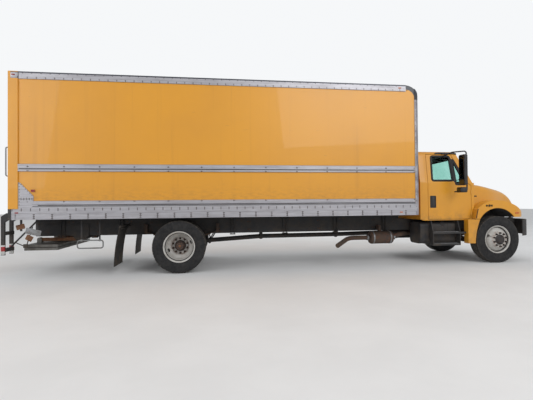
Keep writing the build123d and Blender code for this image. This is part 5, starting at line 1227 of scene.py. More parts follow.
RED_LENS = Lens("red lamp lens", srgb(168, 18, 16), srgb(92, 8, 8))
AMBER_LENS = Lens("amber lamp lens", srgb(224, 118, 22), srgb(150, 66, 10))
FRONT_STEEL = WheelSteel("front wheel paint", FRONT_AXLE_X, 0.112, 1.17, srgb(40, 40, 44))
REAR_STEEL = WheelSteel("rear wheel paint", REAR_AXLE_X, 0.112, 0.922, srgb(58, 42, 36))


@dataclass
class Assembly:
    """A group of pieces that share the truck's finishes."""

    finishes: Finishes

    def add(
        self, name: str, skins: Iterable[Skin], finish: Surface, slot: str, body: str = "chassis"
    ) -> bpy.types.Object:
        """Makes a piece in a finish, on the chassis unless another body is named."""
        return make_piece(name, skins, self.finishes.of(finish), body)


@dataclass
class CadDress(Assembly):
    """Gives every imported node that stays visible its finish."""

    cover_reach: float = 0.1
    cap_height: float = 0.3

    def table(self) -> dict[str, Surface]:
        """Pairs each node's name with its finish. The black frame paint is for all that aren't named."""
        cover_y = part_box("box_front_wall")[1].y - self.cover_reach
        groups: tuple[tuple[Surface, str], ...] = (
            (BoxSkin(), "box_left_wall box_right_wall"), (RearFramePaint(), "box_rear_frame"),
            (FrontWallSkin(cover_y, BOX_TOP_Z - self.cap_height), "box_front_wall"),
            (ROOF_WHITE, "box_roof"), (RailMetal(WALL_REAR_X), "box_left_rails box_right_rails"),
            (BODY_PAINT, "box_rear_door cab_roof hood"),
            (CabPaint(), "cab_back cab_sides door_left door_right"), (GREY_PLASTIC, "cab_floor dashboard"),
            (TintedGlass(), "cab_glass door_glass_left door_glass_right"), (SkirtPaint(), "fender_skirts"),
            (HeadlampLens(), "headlamps"), (RED_LENS, "lamps"),
            (BLACK_PLASTIC, "grille seat_bases mirror_left mirror_right cab_steps battery_box"),
            (FLAP_RUBBER, "mud_flaps"), (TreadPlate(), "liftgate_platform"), (RUST_BROWN, "liftgate_arms"),
            (FRONT_STEEL, "front_left_wheel front_right_wheel"),
            (REAR_STEEL, "rear_left_wheels rear_right_wheels"),
            (
                CAST_IRON,
                "engine exhaust rear_axle front_axle_beam leaf_springs knuckle_left knuckle_right tie_rod",
            ),
            (CoreFins(), "radiator"),
        )
        return {name: finish for finish, names in groups for name in names.split()}

    def build(self) -> None:
        """Puts the finishes into the nodes' material slots."""
        pairs = self.table()
        for name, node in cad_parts.items():
            material = self.finishes.of(pairs.get(name, FRAME_PAINT))
            for held in node.material_slots:
                held.material = material
            log.info("finished node %s in %s", name, material.name)


class Tread(Enum):
    """The two tread patterns: straight ribs in front and cross lugs at the back."""

    RIB = "rib"
    LUG = "lug"


@dataclass
class TyreForm:
    """One tyre about the origin, its axle along Y."""

    tread: Tread
    radius: float = 0.51
    tread_half: float = 0.112
    groove_depth: float = 0.013
    bead: Pair = (0.098, 0.287)

    def sidewall(self) -> np.ndarray:
        """Half section from the shoulder to the bead as pairs (radius, y).

        A parabola from the shoulder over the widest point to the rim's edge. Fine ribs, a sine
        wave under a bell, and the rim guard, a bell 3.5 mm high, are added to its y.
        """
        shoulder, widest, rim = (0.118, 0.502), 0.1365, (0.115, 0.316)
        t = np.linspace(0, 1, 26)
        bow = widest - (shoulder[0] * 0.5 + rim[0] * 0.5)
        y = shoulder[0] * (1 - t) + rim[0] * t + 4 * bow * t * (1 - t)
        r = shoulder[1] * (1 - t) + rim[1] * t
        ribs = 0.0013 * np.sin(t * 2 * math.pi / 0.08) * np.exp(-(((t - 0.16) / 0.09) ** 2))
        guard = 0.0035 * np.exp(-(((t - 0.9) / 0.035) ** 2))
        y = y + ribs + guard
        tail = np.array([(0.302, 0.104), (self.bead[1], self.bead[0]), (0.262, 0.062)])
        return np.concatenate([np.stack([r, y], -1), tail])

    def crown(self) -> tuple[np.ndarray, np.ndarray, np.ndarray]:
        """Section across the tread: radius, y, and how deep the cross cuts go there."""
        edge = 0.0015
        if self.tread is Tread.RIB:
            grooves, half = (-0.076, -0.027, 0.027, 0.076), 0.006
        else:
            grooves, half = (-0.038, 0.038), 0.007
        marks = [(-self.tread_half - 0.004, 0.0)]
        for middle in grooves:
            marks += [
                (middle - half - edge, 0.0),
                (middle - half, self.groove_depth),
                (middle + half, self.groove_depth),
                (middle + half + edge, 0.0),
            ]
        marks.append((self.tread_half + 0.004, 0.0))
        places = np.array(marks)
        y = places[:, 0]
        drop = 0.0035 * (np.abs(y) / self.tread_half) ** 2
        shoulder = np.abs(y) > (0.09 if self.tread is Tread.RIB else 0.04)
        if self.tread is Tread.RIB:
            cut = np.where(shoulder, 0.004, 0.0025)
        else:
            cut = np.where(shoulder, 0.0125, 0.007)
        cut = np.where(places[:, 1] > 0, 0.0, cut)
        return self.radius - drop - places[:, 1], y, cut

    def build(self) -> Skin:
        """Turns the section, with cross cuts at every pitch.

        Column k of pitch n stands at angle 2 pi (n + f_k + 3 shear |y|) / N, where |y| stays at
        0.118 from 0.125 on, and inside a cut the crown's radius drops by the cut's depth.
        """
        if self.tread is Tread.RIB:
            pitches, fractions, cuts, shear = 90, (0.0, 0.08, 0.2, 0.28), (0, 1, 1, 0), 3.0
        else:
            pitches, fractions, cuts, shear = 52, (0.0, 0.05, 0.27, 0.32, 0.66), (0, 1, 1, 0, 0), 4.0
        radius, y, cut = self.crown()
        wall = self.sidewall()
        far = np.concatenate([wall[::-1, 0], radius, wall[:, 0]])
        along = np.concatenate([-wall[::-1, 1], y, wall[:, 1]])
        depth = np.concatenate([np.zeros(len(wall)), cut, np.zeros(len(wall))])
        reach = np.clip(1 - (0.502 - wall[:, 0]) / 0.02, 0, 1) * cut[-1] * 0.7
        depth[: len(wall)], depth[-len(wall):] = reach[::-1], reach
        column = (np.arange(pitches)[:, None] + np.array(fractions)[None]).reshape(-1)
        angle = column * 2 * math.pi / pitches
        inside = np.tile(np.array(cuts, float), pitches)
        slant = np.where(np.abs(along) < 0.125, shear * np.abs(along), shear * 0.118)
        lean = slant * 2 * math.pi / pitches * 3
        t = angle[:, None] + lean[None, :]
        r = far[None] - inside[:, None] * depth[None]
        points = np.stack([r * np.cos(t), np.broadcast_to(along, r.shape), r * np.sin(t)], -1)
        return Skin(points.reshape(-1, 3), grid_quads(len(angle), len(far), True, True))


@dataclass
class Wheels(Assembly):
    """The tyres with their treads, and the fasteners and caps of every wheel."""

    front_y: float = 1.0
    front_face: float = 1.17
    rear_ys: Pair = (0.74, 1.08)
    rear_face: float = 0.922
    studs: int = 10
    stud_circle: float = 0.142875
    stud_reach: float = 0.034
    front_nose: float = 1.2043
    rear_nose: float = 1.0443

    def fasteners(self, face: float) -> Skin:
        """Nut flanges and stud ends of one wheel, its face at a distance along +Y."""
        flange = capped([(0.0215, 0.0), (0.0215, 0.003), (0.018, 0.006)], 16)
        tip = capped([(0.0105, 0.0), (0.0105, 0.014), (0.0085, 0.017)], 12)
        parts = [flange.moved(y=face), tip.moved(y=face + self.stud_reach)]
        return ring(self.studs, self.stud_circle, math.radians(18), joined(parts))

    def cap(self, nose: float, bolts: int, radius: float) -> Skin:
        """The cover on a hub's nose: a stepped disc with a ring of bolts and a middle plug."""
        rim = [(radius, -0.006), (radius, 0.004), (radius - 0.008, 0.008)]
        cover = capped([*rim, (0.03, 0.009), (0.026, 0.013), (0.012, 0.014)], 40)
        head = plate(circle(0.0075, 6), 0.014, 0.0015, 2)
        return joined([cover, ring(bolts, radius - 0.014, 0.2, head)]).moved(y=nose)

    def valve(self, face: float, low: float) -> Skin:
        """The valve stem, bent out of the rim through a hand hole."""
        path = rounded_run([(0.24, low, 0.0), (0.236, face - 0.03, 0.0), (0.215, face + 0.01, 0.0)], 0.02)
        return carried(path, circle(0.0045, 8), (0, 0, 1))

    def build(self) -> None:
        """Makes the tyres and the wheels' hardware on all four corners."""
        rubber_front = TyreRubber("front tyre rubber", FRONT_AXLE_X)
        rubber_rear = TyreRubber("rear tyre rubber", REAR_AXLE_X)
        rib, lug = TyreForm(Tread.RIB).build(), TyreForm(Tread.LUG).build()
        for name, side in SIDES.items():
            front = rib.sided(side).moved(FRONT_AXLE_X, side * self.front_y, WHEEL_Z)
            body = f"front_{name}_wheel"
            tyre = self.add(f"front_{name}_tread", [front], rubber_front, "tyre_rubber", body)
            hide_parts(f"front_{name}_tyre")
            pair = [lug.sided(side).moved(REAR_AXLE_X, side * y, WHEEL_Z) for y in self.rear_ys]
            twin = self.add(f"rear_{name}_treads", pair, rubber_rear, "tyre_rubber", f"rear_{name}_wheels")
            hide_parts(f"rear_{name}_tyres")

            studs = self.fasteners(self.front_face).sided(side).moved(x=FRONT_AXLE_X, z=WHEEL_Z)
            valve = self.valve(self.front_face, self.front_y + 0.03).turned(
                Matrix.Rotation(math.radians(-160), 3, "Y")
            )
            valve = valve.sided(side).moved(x=FRONT_AXLE_X, z=WHEEL_Z)
            self.add(f"front_{name}_wheel_nuts", [studs, valve], NUT_IRON, "galvanised", body)
            cap = self.cap(self.front_nose - 0.012, 6, 0.062).sided(side).moved(x=FRONT_AXLE_X, z=WHEEL_Z)
            self.add(f"front_{name}_hub_cap", [cap], BLACK_PLASTIC, "black_plastic", body)

            studs = self.fasteners(self.rear_face).sided(side).moved(x=REAR_AXLE_X, z=WHEEL_Z)
            self.add(f"rear_{name}_wheel_nuts", [studs], NUT_IRON, "galvanised", f"rear_{name}_wheels")
            cap = self.cap(self.rear_nose - 0.012, 8, 0.072).sided(side).moved(x=REAR_AXLE_X, z=WHEEL_Z)
            self.add(f"rear_{name}_axle_flange", [cap], RUST_BROWN, "grey_steel", f"rear_{name}_wheels")


@dataclass
class BoxHardware(Assembly):
    """Rivets, seams, beads, lamps, handles, door hardware and tape on the freight box."""

    rail_out: float = 1.283
    rub_out: float = 1.295
    rivet: float = 0.009
    bottom_rail: Pair = (1.072, 1.305)
    top_rail: Pair = (3.636, 3.77)
    mid_rub_z: float = 1.951
    low_rub_z: float = 1.314
    wall_rear: float = WALL_REAR_X
    post_rear: float = BOX_FRONT_X - 0.11
    top_pitch: float = 0.156
    low_pitch: float = 0.1557
    pair_pitch: float = 0.3115
    rub_pitch: float = 0.6215
    bead_z: float = 1.187
    foot_lip_z: float = 1.078
    top_lip_z: float = 3.642

    def rows(self) -> np.ndarray:
        """Places of all rivets on one side as (x, z, out).

        A line is (first x, end, pitch, z, out). After the lines come the rivets up the front post.
        """
        start, end = self.wall_rear, self.post_rear
        lines = [
            (start + self.top_pitch, end - 0.03, self.top_pitch, self.top_rail[0] + 0.03, self.rail_out),
            (start + self.top_pitch / 2, end - 0.3, self.top_pitch, self.top_rail[1] - 0.03, self.rail_out),
            (start + 0.0555, end - 0.03, self.low_pitch, self.bottom_rail[1] - 0.035, self.rail_out),
            (start + 0.0555, end - 0.03, self.low_pitch, self.bottom_rail[1] - 0.057, self.rail_out),
        ]
        rubs = (
            (0.156, self.mid_rub_z + 0.014), (0.156, self.mid_rub_z + 0.086),
            (0.7775, self.low_rub_z + 0.084),
        )
        lines += [
            (start + first + off, end - 0.03, self.rub_pitch, z, self.rub_out)
            for off in (0.0, 0.02)
            for first, z in rubs
        ]
        lines += [(start + 0.266 + off, end, self.pair_pitch, z, self.rail_out)
                  for off in (-0.011, 0.011) for z in (1.095, 1.13, 1.165)]
        spots = [(x, z, out) for low, high, step, z, out in lines for x in np.arange(low, high, step)]
        post_z = np.arange(self.bottom_rail[0] + 0.06, self.top_rail[0] - 0.2, 0.12)
        spots += [(self.post_rear + 0.016, z, self.rail_out) for z in post_z]
        return np.array(spots)

    def gusset_spots(self) -> np.ndarray:
        """Rivets at the rear corner plate as (x, z, y), spaced evenly between the ends of four runs."""
        rear = self.wall_rear + 0.02
        runs = (
            ((rear, 1.345), (rear, 1.735), 8), ((rear + 0.03, 1.712), (rear + 0.215, 1.513), 6),
            ((rear + 0.03, 1.463), (rear + 0.215, 1.463), 5),
            ((rear + 0.03, 1.436), (rear + 0.215, 1.436), 5),
        )
        points = [np.linspace(start, end, count) for start, end, count in runs]
        flat = np.concatenate(points)
        return np.column_stack([flat, np.full(len(flat), self.rail_out)])

    def heads(self, side: int) -> Skin:
        """All rivet heads of one side in place."""
        spots = np.concatenate([self.rows(), self.gusset_spots()])
        return scattered(dome(self.rivet, 0.0045), spots[:, [0, 2, 1]]).sided(side)

    def bar(self, ends: Pair, out: float, z: float, section: np.ndarray, normal: Point = (0, 0, 1)) -> Skin:
        """A straight bar along one side, between two places in x."""
        return carried(np.array([(x, out, z) for x in ends]), section, normal)

    def grooves(self, side: int) -> list[Skin]:
        """Dark strips painted as the shade in the grooves of the two rub rails, and the dark seam line over
        the rear corner plate.
        """
        start, end = self.wall_rear, self.post_rear - 0.02
        wide, fine = bar_section(0.012, 0.0026), bar_section(0.005, 0.0016)
        # Painted shade: the two rub-rail strips are dark bars standing for the shade in the rails' grooves.
        lines = [
            self.bar((start + 0.02, end), self.rub_out, self.mid_rub_z + 0.05, wide, (0, 1, 0)),
            self.bar((start + 0.34, end), self.rub_out, self.low_rub_z + 0.018, wide, (0, 1, 0)),
            self.bar((start + 0.004, start + 0.254), self.rail_out, 1.45, fine, (0, 1, 0)),
        ]
        return mirrored(lines, side)

    def markers(self) -> None:
        """The small side lamps at the box's corners, and the bezels of the tail and header lamps."""
        red, amber = [], []
        lens = plate(centred(0.03, 0.011, 0.008), 0.012, 0.004)
        for side in SIDES.values():
            red += [lens.moved(self.wall_rear - 0.027, self.rail_out - 0.001, 1.2).sided(side),
                    lens.moved(self.wall_rear - 0.075, BOX_HALF + 0.001, 3.705).sided(side)]
            amber += [
                lens.moved(self.post_rear - 0.32, self.rail_out - 0.001, z).sided(side)
                for z in (3.705, 1.135)
            ]
        self.add("side_lamps_red", red, RED_LENS, "lamp_red")
        self.add("side_lamps_amber", amber, AMBER_LENS, "lamp_red")
        bezel = band(0.0495, 0.012, 0.008).turned(TO_REAR).moved(
            BOX_REAR_X - 0.006, 0.0, self.bottom_rail[0] + 0.068
        )
        rings = [bezel.moved(y=y) for y in (-1.176, -1.064, 1.064, 1.176)]
        pad = centred(0.066, 0.026, 0.014)
        for y in (-1.15, -0.16, 0.0, 0.16, 1.15):
            path = upright(pad + (y, BOX_TOP_Z - 0.06), BOX_REAR_X - 0.003)
            rings.append(carried(path, bar_section(0.01, 0.008, 0.002), (1, 0, 0), loop=True))
        self.add("lamp_bezels", rings, BLACK_PLASTIC, "black_plastic")

    def side(self, side: int) -> list[Skin]:
        """The beads, lips and seams of one side in place."""
        start, end = self.wall_rear + 0.01, self.post_rear - 0.004
        bead = self.bar((start, end), self.rail_out, self.bead_z, circle(0.005, 10))
        lip = self.bar((start, end), self.rail_out, self.foot_lip_z, bar_section(0.010, 0.012, 0.003))
        top = self.bar(
            (start, self.post_rear - 0.2), self.rail_out, self.top_lip_z, bar_section(0.008, 0.01, 0.003)
        )
        cap = block((BOX_REAR_X + 0.05, BOX_HALF - 0.004, self.top_lip_z),
                    (self.wall_rear + 0.004, BOX_HALF + 0.002, BOX_TOP_Z - 0.012), 0.0012)
        low, high = self.low_rub_z, self.low_rub_z + 0.1
        seams = [
            block((x - 0.002, self.rub_out - 0.004, low), (x + 0.002, self.rub_out + 0.0008, high), 0.0006)
            for x in (self.wall_rear + 2.6, self.wall_rear + 5.2)
        ]
        return mirrored([bead, lip, top, cap, *seams], side)

    def rear(self) -> None:
        """Hinges, latch and pull strap of the roll-up door."""
        door_low, door_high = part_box("box_rear_door")
        slat = (door_high.z - door_low.z) / 8
        face = BOX_REAR_X + 0.06
        hinges, latch = [], []
        leaf = plate(centred(0.032, 0.045, 0.01), 0.004, 0.001, 2)
        for row in range(1, 8):
            z = door_low.z + row * slat
            for y in (-0.98, -0.36, 0.36, 0.98):
                hinges.append(leaf.turned(TO_REAR).moved(face, y, z))
                hinges.append(rod((face - 0.007, y - 0.03, z), (face - 0.007, y + 0.03, z), 0.007, 10))
                for dy in (-0.016, 0.016):
                    for dz in (-0.03, 0.03):
                        hinges.append(
                            dome(0.005, 0.003).turned(TO_REAR).moved(face - 0.004, y + dy, z + dz)
                        )
        self.add("rear_door_hinges", hinges, ZINC, "galvanised")
        low = door_low.z
        base = plate(centred(0.11, 0.06, 0.02), 0.008, 0.002)
        latch.append(base.turned(TO_REAR).moved(face, 0.0, low + 0.24))
        lever = rounded_run(
            [
                (face - 0.012, -0.07, low + 0.24), (face - 0.04, 0.0, low + 0.25),
                (face - 0.035, 0.09, low + 0.22),
            ],
            0.03,
        )
        latch.append(carried(lever, bar_section(0.012, 0.03, 0.004), (0, 0, 1)))
        latch.append(rod((face - 0.03, 0.0, low + 0.25), (face, 0.0, low + 0.25), 0.02))
        self.add("rear_door_latch", latch, ZINC, "galvanised")
        strap_path = rounded_run(
            [
                (face - 0.006, 0.33, low + 0.2), (face - 0.012, 0.34, low + 0.1),
                (face - 0.02, 0.33, low + 0.03),
            ],
            0.03,
        )
        strap = carried(strap_path, bar_section(0.03, 0.003), (1, 0, 0))
        self.add("rear_door_strap", [strap], RUBBER_SEAL, "black_plastic")

    def grab_handles(self) -> list[Skin]:
        """The upright tube handles on the rear posts, bent in to a foot at each end."""
        parts = []
        for side in SIDES.values():
            y, x, out = side * (BOX_HALF - 0.045), BOX_REAR_X, BOX_REAR_X - 0.05
            path = rounded_run(
                [(x + 0.002, y, 1.87), (out, y, 1.87), (out, y, 2.39), (x + 0.002, y, 2.39)], 0.035, 8
            )
            parts.append(carried(path, circle(0.011, 12), (0, 1, 0)))
            parts += [
                block((x - 0.004, y - 0.022, z - 0.03), (x + 0.001, y + 0.022, z + 0.03), 0.0015)
                for z in (1.87, 2.39)
            ]
        return parts

    def patch(self, across: Pair, heights: Pair) -> Skin:
        """A strip of tape on the rear frame, between two places across and two heights."""
        low, high = sorted(across)
        return block((BOX_REAR_X - 0.0012, low, heights[0]), (BOX_REAR_X + 0.001, high, heights[1]), 0.0004)

    def tape(self) -> None:
        """Reflective tape: bars across the sill and the door's foot, up the posts, along the left side."""
        bars = SafetyTape("safety tape across", 1)
        sill, door_z = (BOX_BOTTOM_Z + 0.008, BOX_BOTTOM_Z + 0.03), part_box("box_rear_door")[0].z + 0.02
        strips = [self.patch((-BOX_HALF + 0.02, -0.95), sill), self.patch((0.95, BOX_HALF - 0.02), sill)]
        strips.append(
            block((BOX_REAR_X + 0.0588, -1.16, door_z), (BOX_REAR_X + 0.0602, 1.16, door_z + 0.05), 0.0004)
        )
        self.add("tape_rear_bars", strips, bars, "lamp_red")
        white = Finish(
            "white corner tape", srgb(206, 206, 204), srgb(186, 184, 180), 0.4, dirt=0.3, dirt_top=9.0
        )
        corners = []
        top, middle, foot = BOX_TOP_Z - 0.11, BOX_TOP_Z - 0.16, BOX_TOP_Z - 0.46
        for side in SIDES.values():
            corners.append(self.patch((side * (BOX_HALF - 0.06), side * (BOX_HALF - 0.36)), (middle, top)))
            corners.append(self.patch((side * (BOX_HALF - 0.03), side * (BOX_HALF - 0.08)), (foot, middle)))
        self.add("tape_rear_corners", corners, white, "white_paint")
        lines = SafetyTape("safety tape along", 0)
        sides = []
        for x in np.arange(self.wall_rear + 0.3, self.post_rear - 0.5, 1.38):
            sides.append(
                block((x, self.rail_out - 0.001, 1.102), (x + 0.46, self.rail_out + 0.0009, 1.15), 0.0004)
            )
        self.add("tape_left_side", sides, lines, "lamp_red")
        self.add(
            "post_tape", self.step_tape(), SafetyTape("safety tape upright", 2, 0.085, 0.085), "lamp_red"
        )

    def step_tape(self) -> list[Skin]:
        """Tape bands round the feet of the rear step posts."""
        low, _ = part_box("rear_bumper")
        bands = []
        for side in SIDES.values():
            for y in (0.985, 1.255):
                near, far = sorted((side * y - 0.0212, side * y + 0.0212))
                bands.append(
                    block((low.x + 0.0005, near, low.z + 0.01), (low.x + 0.0612, far, low.z + 0.18), 0.0006)
                )
        return bands

    def build(self) -> None:
        """Makes the hardware of the box."""
        rail = RailMetal(WALL_REAR_X)
        for name, side in SIDES.items():
            self.add(f"box_{name}_beads", self.side(side), rail, "bare_aluminium")
            self.add(f"box_{name}_rivets", [self.heads(side)], RIVET_METAL, "bare_aluminium")
            self.add(f"box_{name}_rail_groove_shade", self.grooves(side), RUBBER_SEAL, "black_plastic")
        self.markers()
        self.add("rear_grab_handles", self.grab_handles(), GALVANISED, "galvanised")
        self.rear()
        self.tape()


@dataclass
class CabTrim(Assembly):
    """Seals, handles, hinges, wipers, visors, mirror faces and inner trim of the cab and its doors."""

    half: float = 1.01
    belt_z: float = 1.76
    lean: float = 0.1397  # how far the wall leans in for each metre above the belt
    windows: tuple[tuple[Pair, ...], ...] = (
        ((-1.455, 1.803), (-1.439, 2.342), (-1.008, 2.342), (-0.965, 1.803)),
        ((-0.9, 1.722), (-0.948, 2.262), (-0.925, 2.262), (-0.672, 1.722)),
    )
    front_edge: tuple[Pair, ...] = ((-0.612, 1.722), (-0.905, 2.262))
    screen_normal: Point = (0.88, 0.0, 0.47)

    def wall_y(self, z: np.ndarray) -> np.ndarray:
        """|y| of the cab's outer face at a height."""
        return self.half - np.maximum(z - self.belt_z, 0) * self.lean

    def on_wall(self, outline: np.ndarray, proud: float) -> np.ndarray:
        """Lays points (x, z) on the cab's outer face, a distance outside it."""
        return np.stack(
            [FRONT_AXLE_X + outline[:, 0], self.wall_y(outline[:, 1]) + proud, outline[:, 1]], -1
        )

    def window_seals(self) -> list[Skin]:
        """Rubber channels round the two panes of a door, on its left side."""
        seals = []
        for corners, radius in zip(self.windows, (0.045, 0.02)):
            path = self.on_wall(rounded_loop(corners, radius, 6), -0.012)
            seals.append(carried(path, bar_section(0.046, 0.034, 0.006), (0.0, 1.0, 0.15), loop=True))
        return seals

    def pillars(self) -> list[Skin]:
        """The black bar between a door's two panes, and the black strip ahead of the second."""
        rise = np.linspace(0, 1, 9)[:, None]
        strips = []
        for near, far in (
            ((self.windows[0][3], self.windows[0][2]), (self.windows[1][0], self.windows[1][1])),
            ((self.windows[1][3], self.windows[1][2]), self.front_edge),
        ):
            runs = [np.array(run[0]) * (1 - rise) + np.array(run[1]) * rise for run in (near, far)]
            strips.append(
                shell(between(*(self.on_wall(run, 0.0032) for run in runs), 4), (0.0, -0.006, 0.0))
            )
        return strips

    def gutter_with_shade_band(self) -> list[Skin]:
        """The black gutter along the roof's edge over a door, and the mirror's bracket on it; the gutter's
        tall black band also stands in for the shadow under the roof's edge.
        """
        # Painted shadow: the gutter is a tall black band, so it also covers the shadow under the roof's
        # edge.
        path = rounded_run(
            [(3.12, 0.9255, 2.4), (3.18, 0.934, 2.412), (3.56, 0.934, 2.412), (3.63, 0.915, 2.396)], 0.03
        )
        foot = block((3.27, 0.918, 2.388), (3.35, 0.952, 2.428), 0.006)
        return [carried(path, bar_section(0.016, 0.034, 0.005), (0, 0, 1)), foot]

    def headliner(self) -> Skin:
        """The dark ceiling cloth: z falls from the middle with the square of y."""
        x, y = np.meshgrid(np.linspace(2.79, 3.585, 10), np.linspace(-0.852, 0.852, 25), indexing="ij")
        z = 2.4 - 0.045 * (y / 0.852) ** 2
        return shell(np.stack([x, y, z], -1), (0.0, 0.0, 0.012))

    def visors(self) -> list[Skin]:
        """Two padded visors folded against the top of the windscreen, and the trim strip over them."""
        pads = []
        for side in SIDES.values():
            share, across = np.meshgrid(np.linspace(0, 1, 8), np.linspace(0.035, 0.765, 16), indexing="ij")
            foot = 2.325 + 0.01 * across
            face = self.screen_point(
                across * side, foot + share * (2.388 - foot), -0.05 - 0.09 * (1 - share)
            )
            pads.append(shell(face, (-0.018, 0.0, 0.0)))
        up, across = np.meshgrid(np.linspace(2.35, 2.402, 4), np.linspace(-0.8, 0.8, 24), indexing="ij")
        pads.append(shell(self.screen_point(across, up, -0.018), (-0.012, 0.0, 0.0)))
        return pads

    def door_card(self) -> list[Skin]:
        """The inner trim of a left door: its panel, armrest, pocket, pull and window winder."""
        panel = rectangle((2.965, 1.02), (3.79, 1.69), 0.05)
        centre = panel.mean(0)
        inner = self.half - 0.055
        card = plate(panel - centre, 0.008, 0.003).sided(-1).moved(centre[0], inner, centre[1])
        rest = block((3.06, inner - 0.062, 1.385), (3.6, inner - 0.004, 1.45), 0.018)
        pocket = block((3.12, inner - 0.032, 1.06), (3.66, inner - 0.004, 1.2), 0.012)
        rim = carried(
            rounded_run([(3.12, inner - 0.03, 1.203), (3.66, inner - 0.03, 1.203)], 0.01), circle(0.008, 8),
            (0, 0, 1),
        )
        foot, reach = inner - 0.006, inner - 0.045
        grip = rounded_run(
            [(3.2, foot, 1.5), (3.2, reach, 1.52), (3.42, reach, 1.52), (3.42, foot, 1.5)], 0.02
        )
        pull = carried(grip, circle(0.009, 10), (0, 0, 1))
        boss = capped([(0.026, 0.0), (0.022, 0.014)], 20).sided(-1)
        boss = boss.moved(3.62, foot, 1.34)
        crank = rod((3.62, inner - 0.02, 1.34), (3.7, inner - 0.024, 1.29), 0.007)
        knob = capped([(0.014, 0.0), (0.016, 0.02), (0.009, 0.03)], 16).sided(-1)
        return [card, rest, pocket, rim, pull, boss, crank, knob.moved(3.7, inner - 0.018, 1.29)]

    def handle(self) -> list[Skin]:
        """The pull handle: its tray, the tray's rim and the paddle."""
        x, z = FRONT_AXLE_X - 1.445, 1.344
        outline = centred(0.0625, 0.1245, 0.012)
        tray = plate(outline, 0.013, 0.001, 2).moved(x, self.half - 0.0178, z)
        rim_y = np.full(len(outline), self.half + 0.0015)
        rim_path = np.stack([x + outline[:, 0] * 1.02, rim_y, z + outline[:, 1] * 1.01], -1)
        rim = carried(rim_path, bar_section(0.01, 0.008, 0.002), (0, 1, 0), loop=True)
        paddle = plate(centred(0.025, 0.1243, 0.01), 0.011, 0.004)
        return [tray, rim, paddle.moved(x, self.half - 0.005, z)]

    def hinges(self) -> list[Skin]:
        """The two door hinges: knuckles on the door's front edge."""
        x = FRONT_AXLE_X - 0.547
        return [
            rod((x, self.half + 0.002, z - 0.045), (x, self.half + 0.002, z + 0.045), 0.012)
            for z in (1.1, 1.55)
        ]

    def mirror_faces(self, side: int) -> list[Skin]:
        """The silvered faces of the flat and the convex mirror, looking back."""
        faces = []
        for x, (y_low, y_high), (z_low, z_high), bow in (
            (-0.985, (1.245, 1.415), (1.705, 2.315), 0.0),
            (-1.04, (1.245, 1.395), (1.55, 1.63), 0.01),
        ):
            outline = centred((y_high - y_low) / 2, (z_high - z_low) / 2, 0.03)
            face = plate(outline, 0.004 + bow, 0.003 + bow, 4).turned(TO_REAR)
            faces.append(face.moved(FRONT_AXLE_X + x, side * (y_low + y_high) / 2, (z_low + z_high) / 2))
        return faces

    def screen_point(self, across: np.ndarray, up: np.ndarray, proud: float) -> np.ndarray:
        """A point on the bowed, raked windscreen.

        Args:
            across: y of the point.
            up: Height of the point.
            proud: Distance in front of the cab's outer face.

        Returns:
            Points whose x falls back by the rake with height and by the bow's circle with |y|.
        """
        rake = (-0.855 + 0.515) / (2.392 - 1.752)
        chord, bow = self.half + 0.01, 0.08
        bend = (chord**2 + bow**2) / (2 * bow)
        x = FRONT_AXLE_X - 0.515 + bow - (bend - np.sqrt(bend**2 - across**2)) + rake * (up - 1.752)
        return np.stack(
            [x + proud * math.sin(math.radians(62)), across, up + proud * math.cos(math.radians(62))], -1
        )

    def screen_seal(self) -> Skin:
        """The rubber round the windscreen."""
        corners = rounded_loop([(-0.85, 1.8), (0.85, 1.8), (0.785, 2.402), (-0.785, 2.402)], 0.09, 6)
        fine = refined(corners, 6)
        path = self.screen_point(fine[:, 0], fine[:, 1], -0.004)
        return carried(path, bar_section(0.03, 0.026, 0.006), self.screen_normal, loop=True)

    def wipers(self) -> list[Skin]:
        """Two wiper arms with their blades, parked along the foot of the screen."""
        parts = []
        for pivot, tip in ((-0.1, -0.72), (0.55, 0.02)):
            across = np.linspace(pivot, tip, 12)
            up = 1.775 + 0.06 * np.sin(np.linspace(0, math.pi / 2, 12))
            arm = self.screen_point(across, up + 0.02, 0.028)
            parts.append(carried(arm, bar_section(0.012, 0.008, 0.002), self.screen_normal))
            along = np.linspace(pivot + 0.02 * np.sign(tip - pivot), tip, 14)
            blade = self.screen_point(along, np.full(14, 1.845), 0.014)
            parts.append(carried(blade, bar_section(0.008, 0.018, 0.002), self.screen_normal))
            foot = self.screen_point(np.array([pivot]), np.array([1.79]), 0.0)[0]
            hub = capped([(0.018, -0.01), (0.018, 0.03), (0.012, 0.038)], 16)
            parts.append(hub.turned(TO_TOP).moved(*foot))
        return parts

    def back_seal(self) -> Skin:
        """The rubber round the cab's rear window."""
        corners = rectangle((-0.43, 1.8), (0.43, 2.2), 0.07, 6)
        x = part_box("cab_back")[0].x + 0.002
        return carried(upright(corners, x), bar_section(0.03, 0.02, 0.006), (1, 0, 0), loop=True)

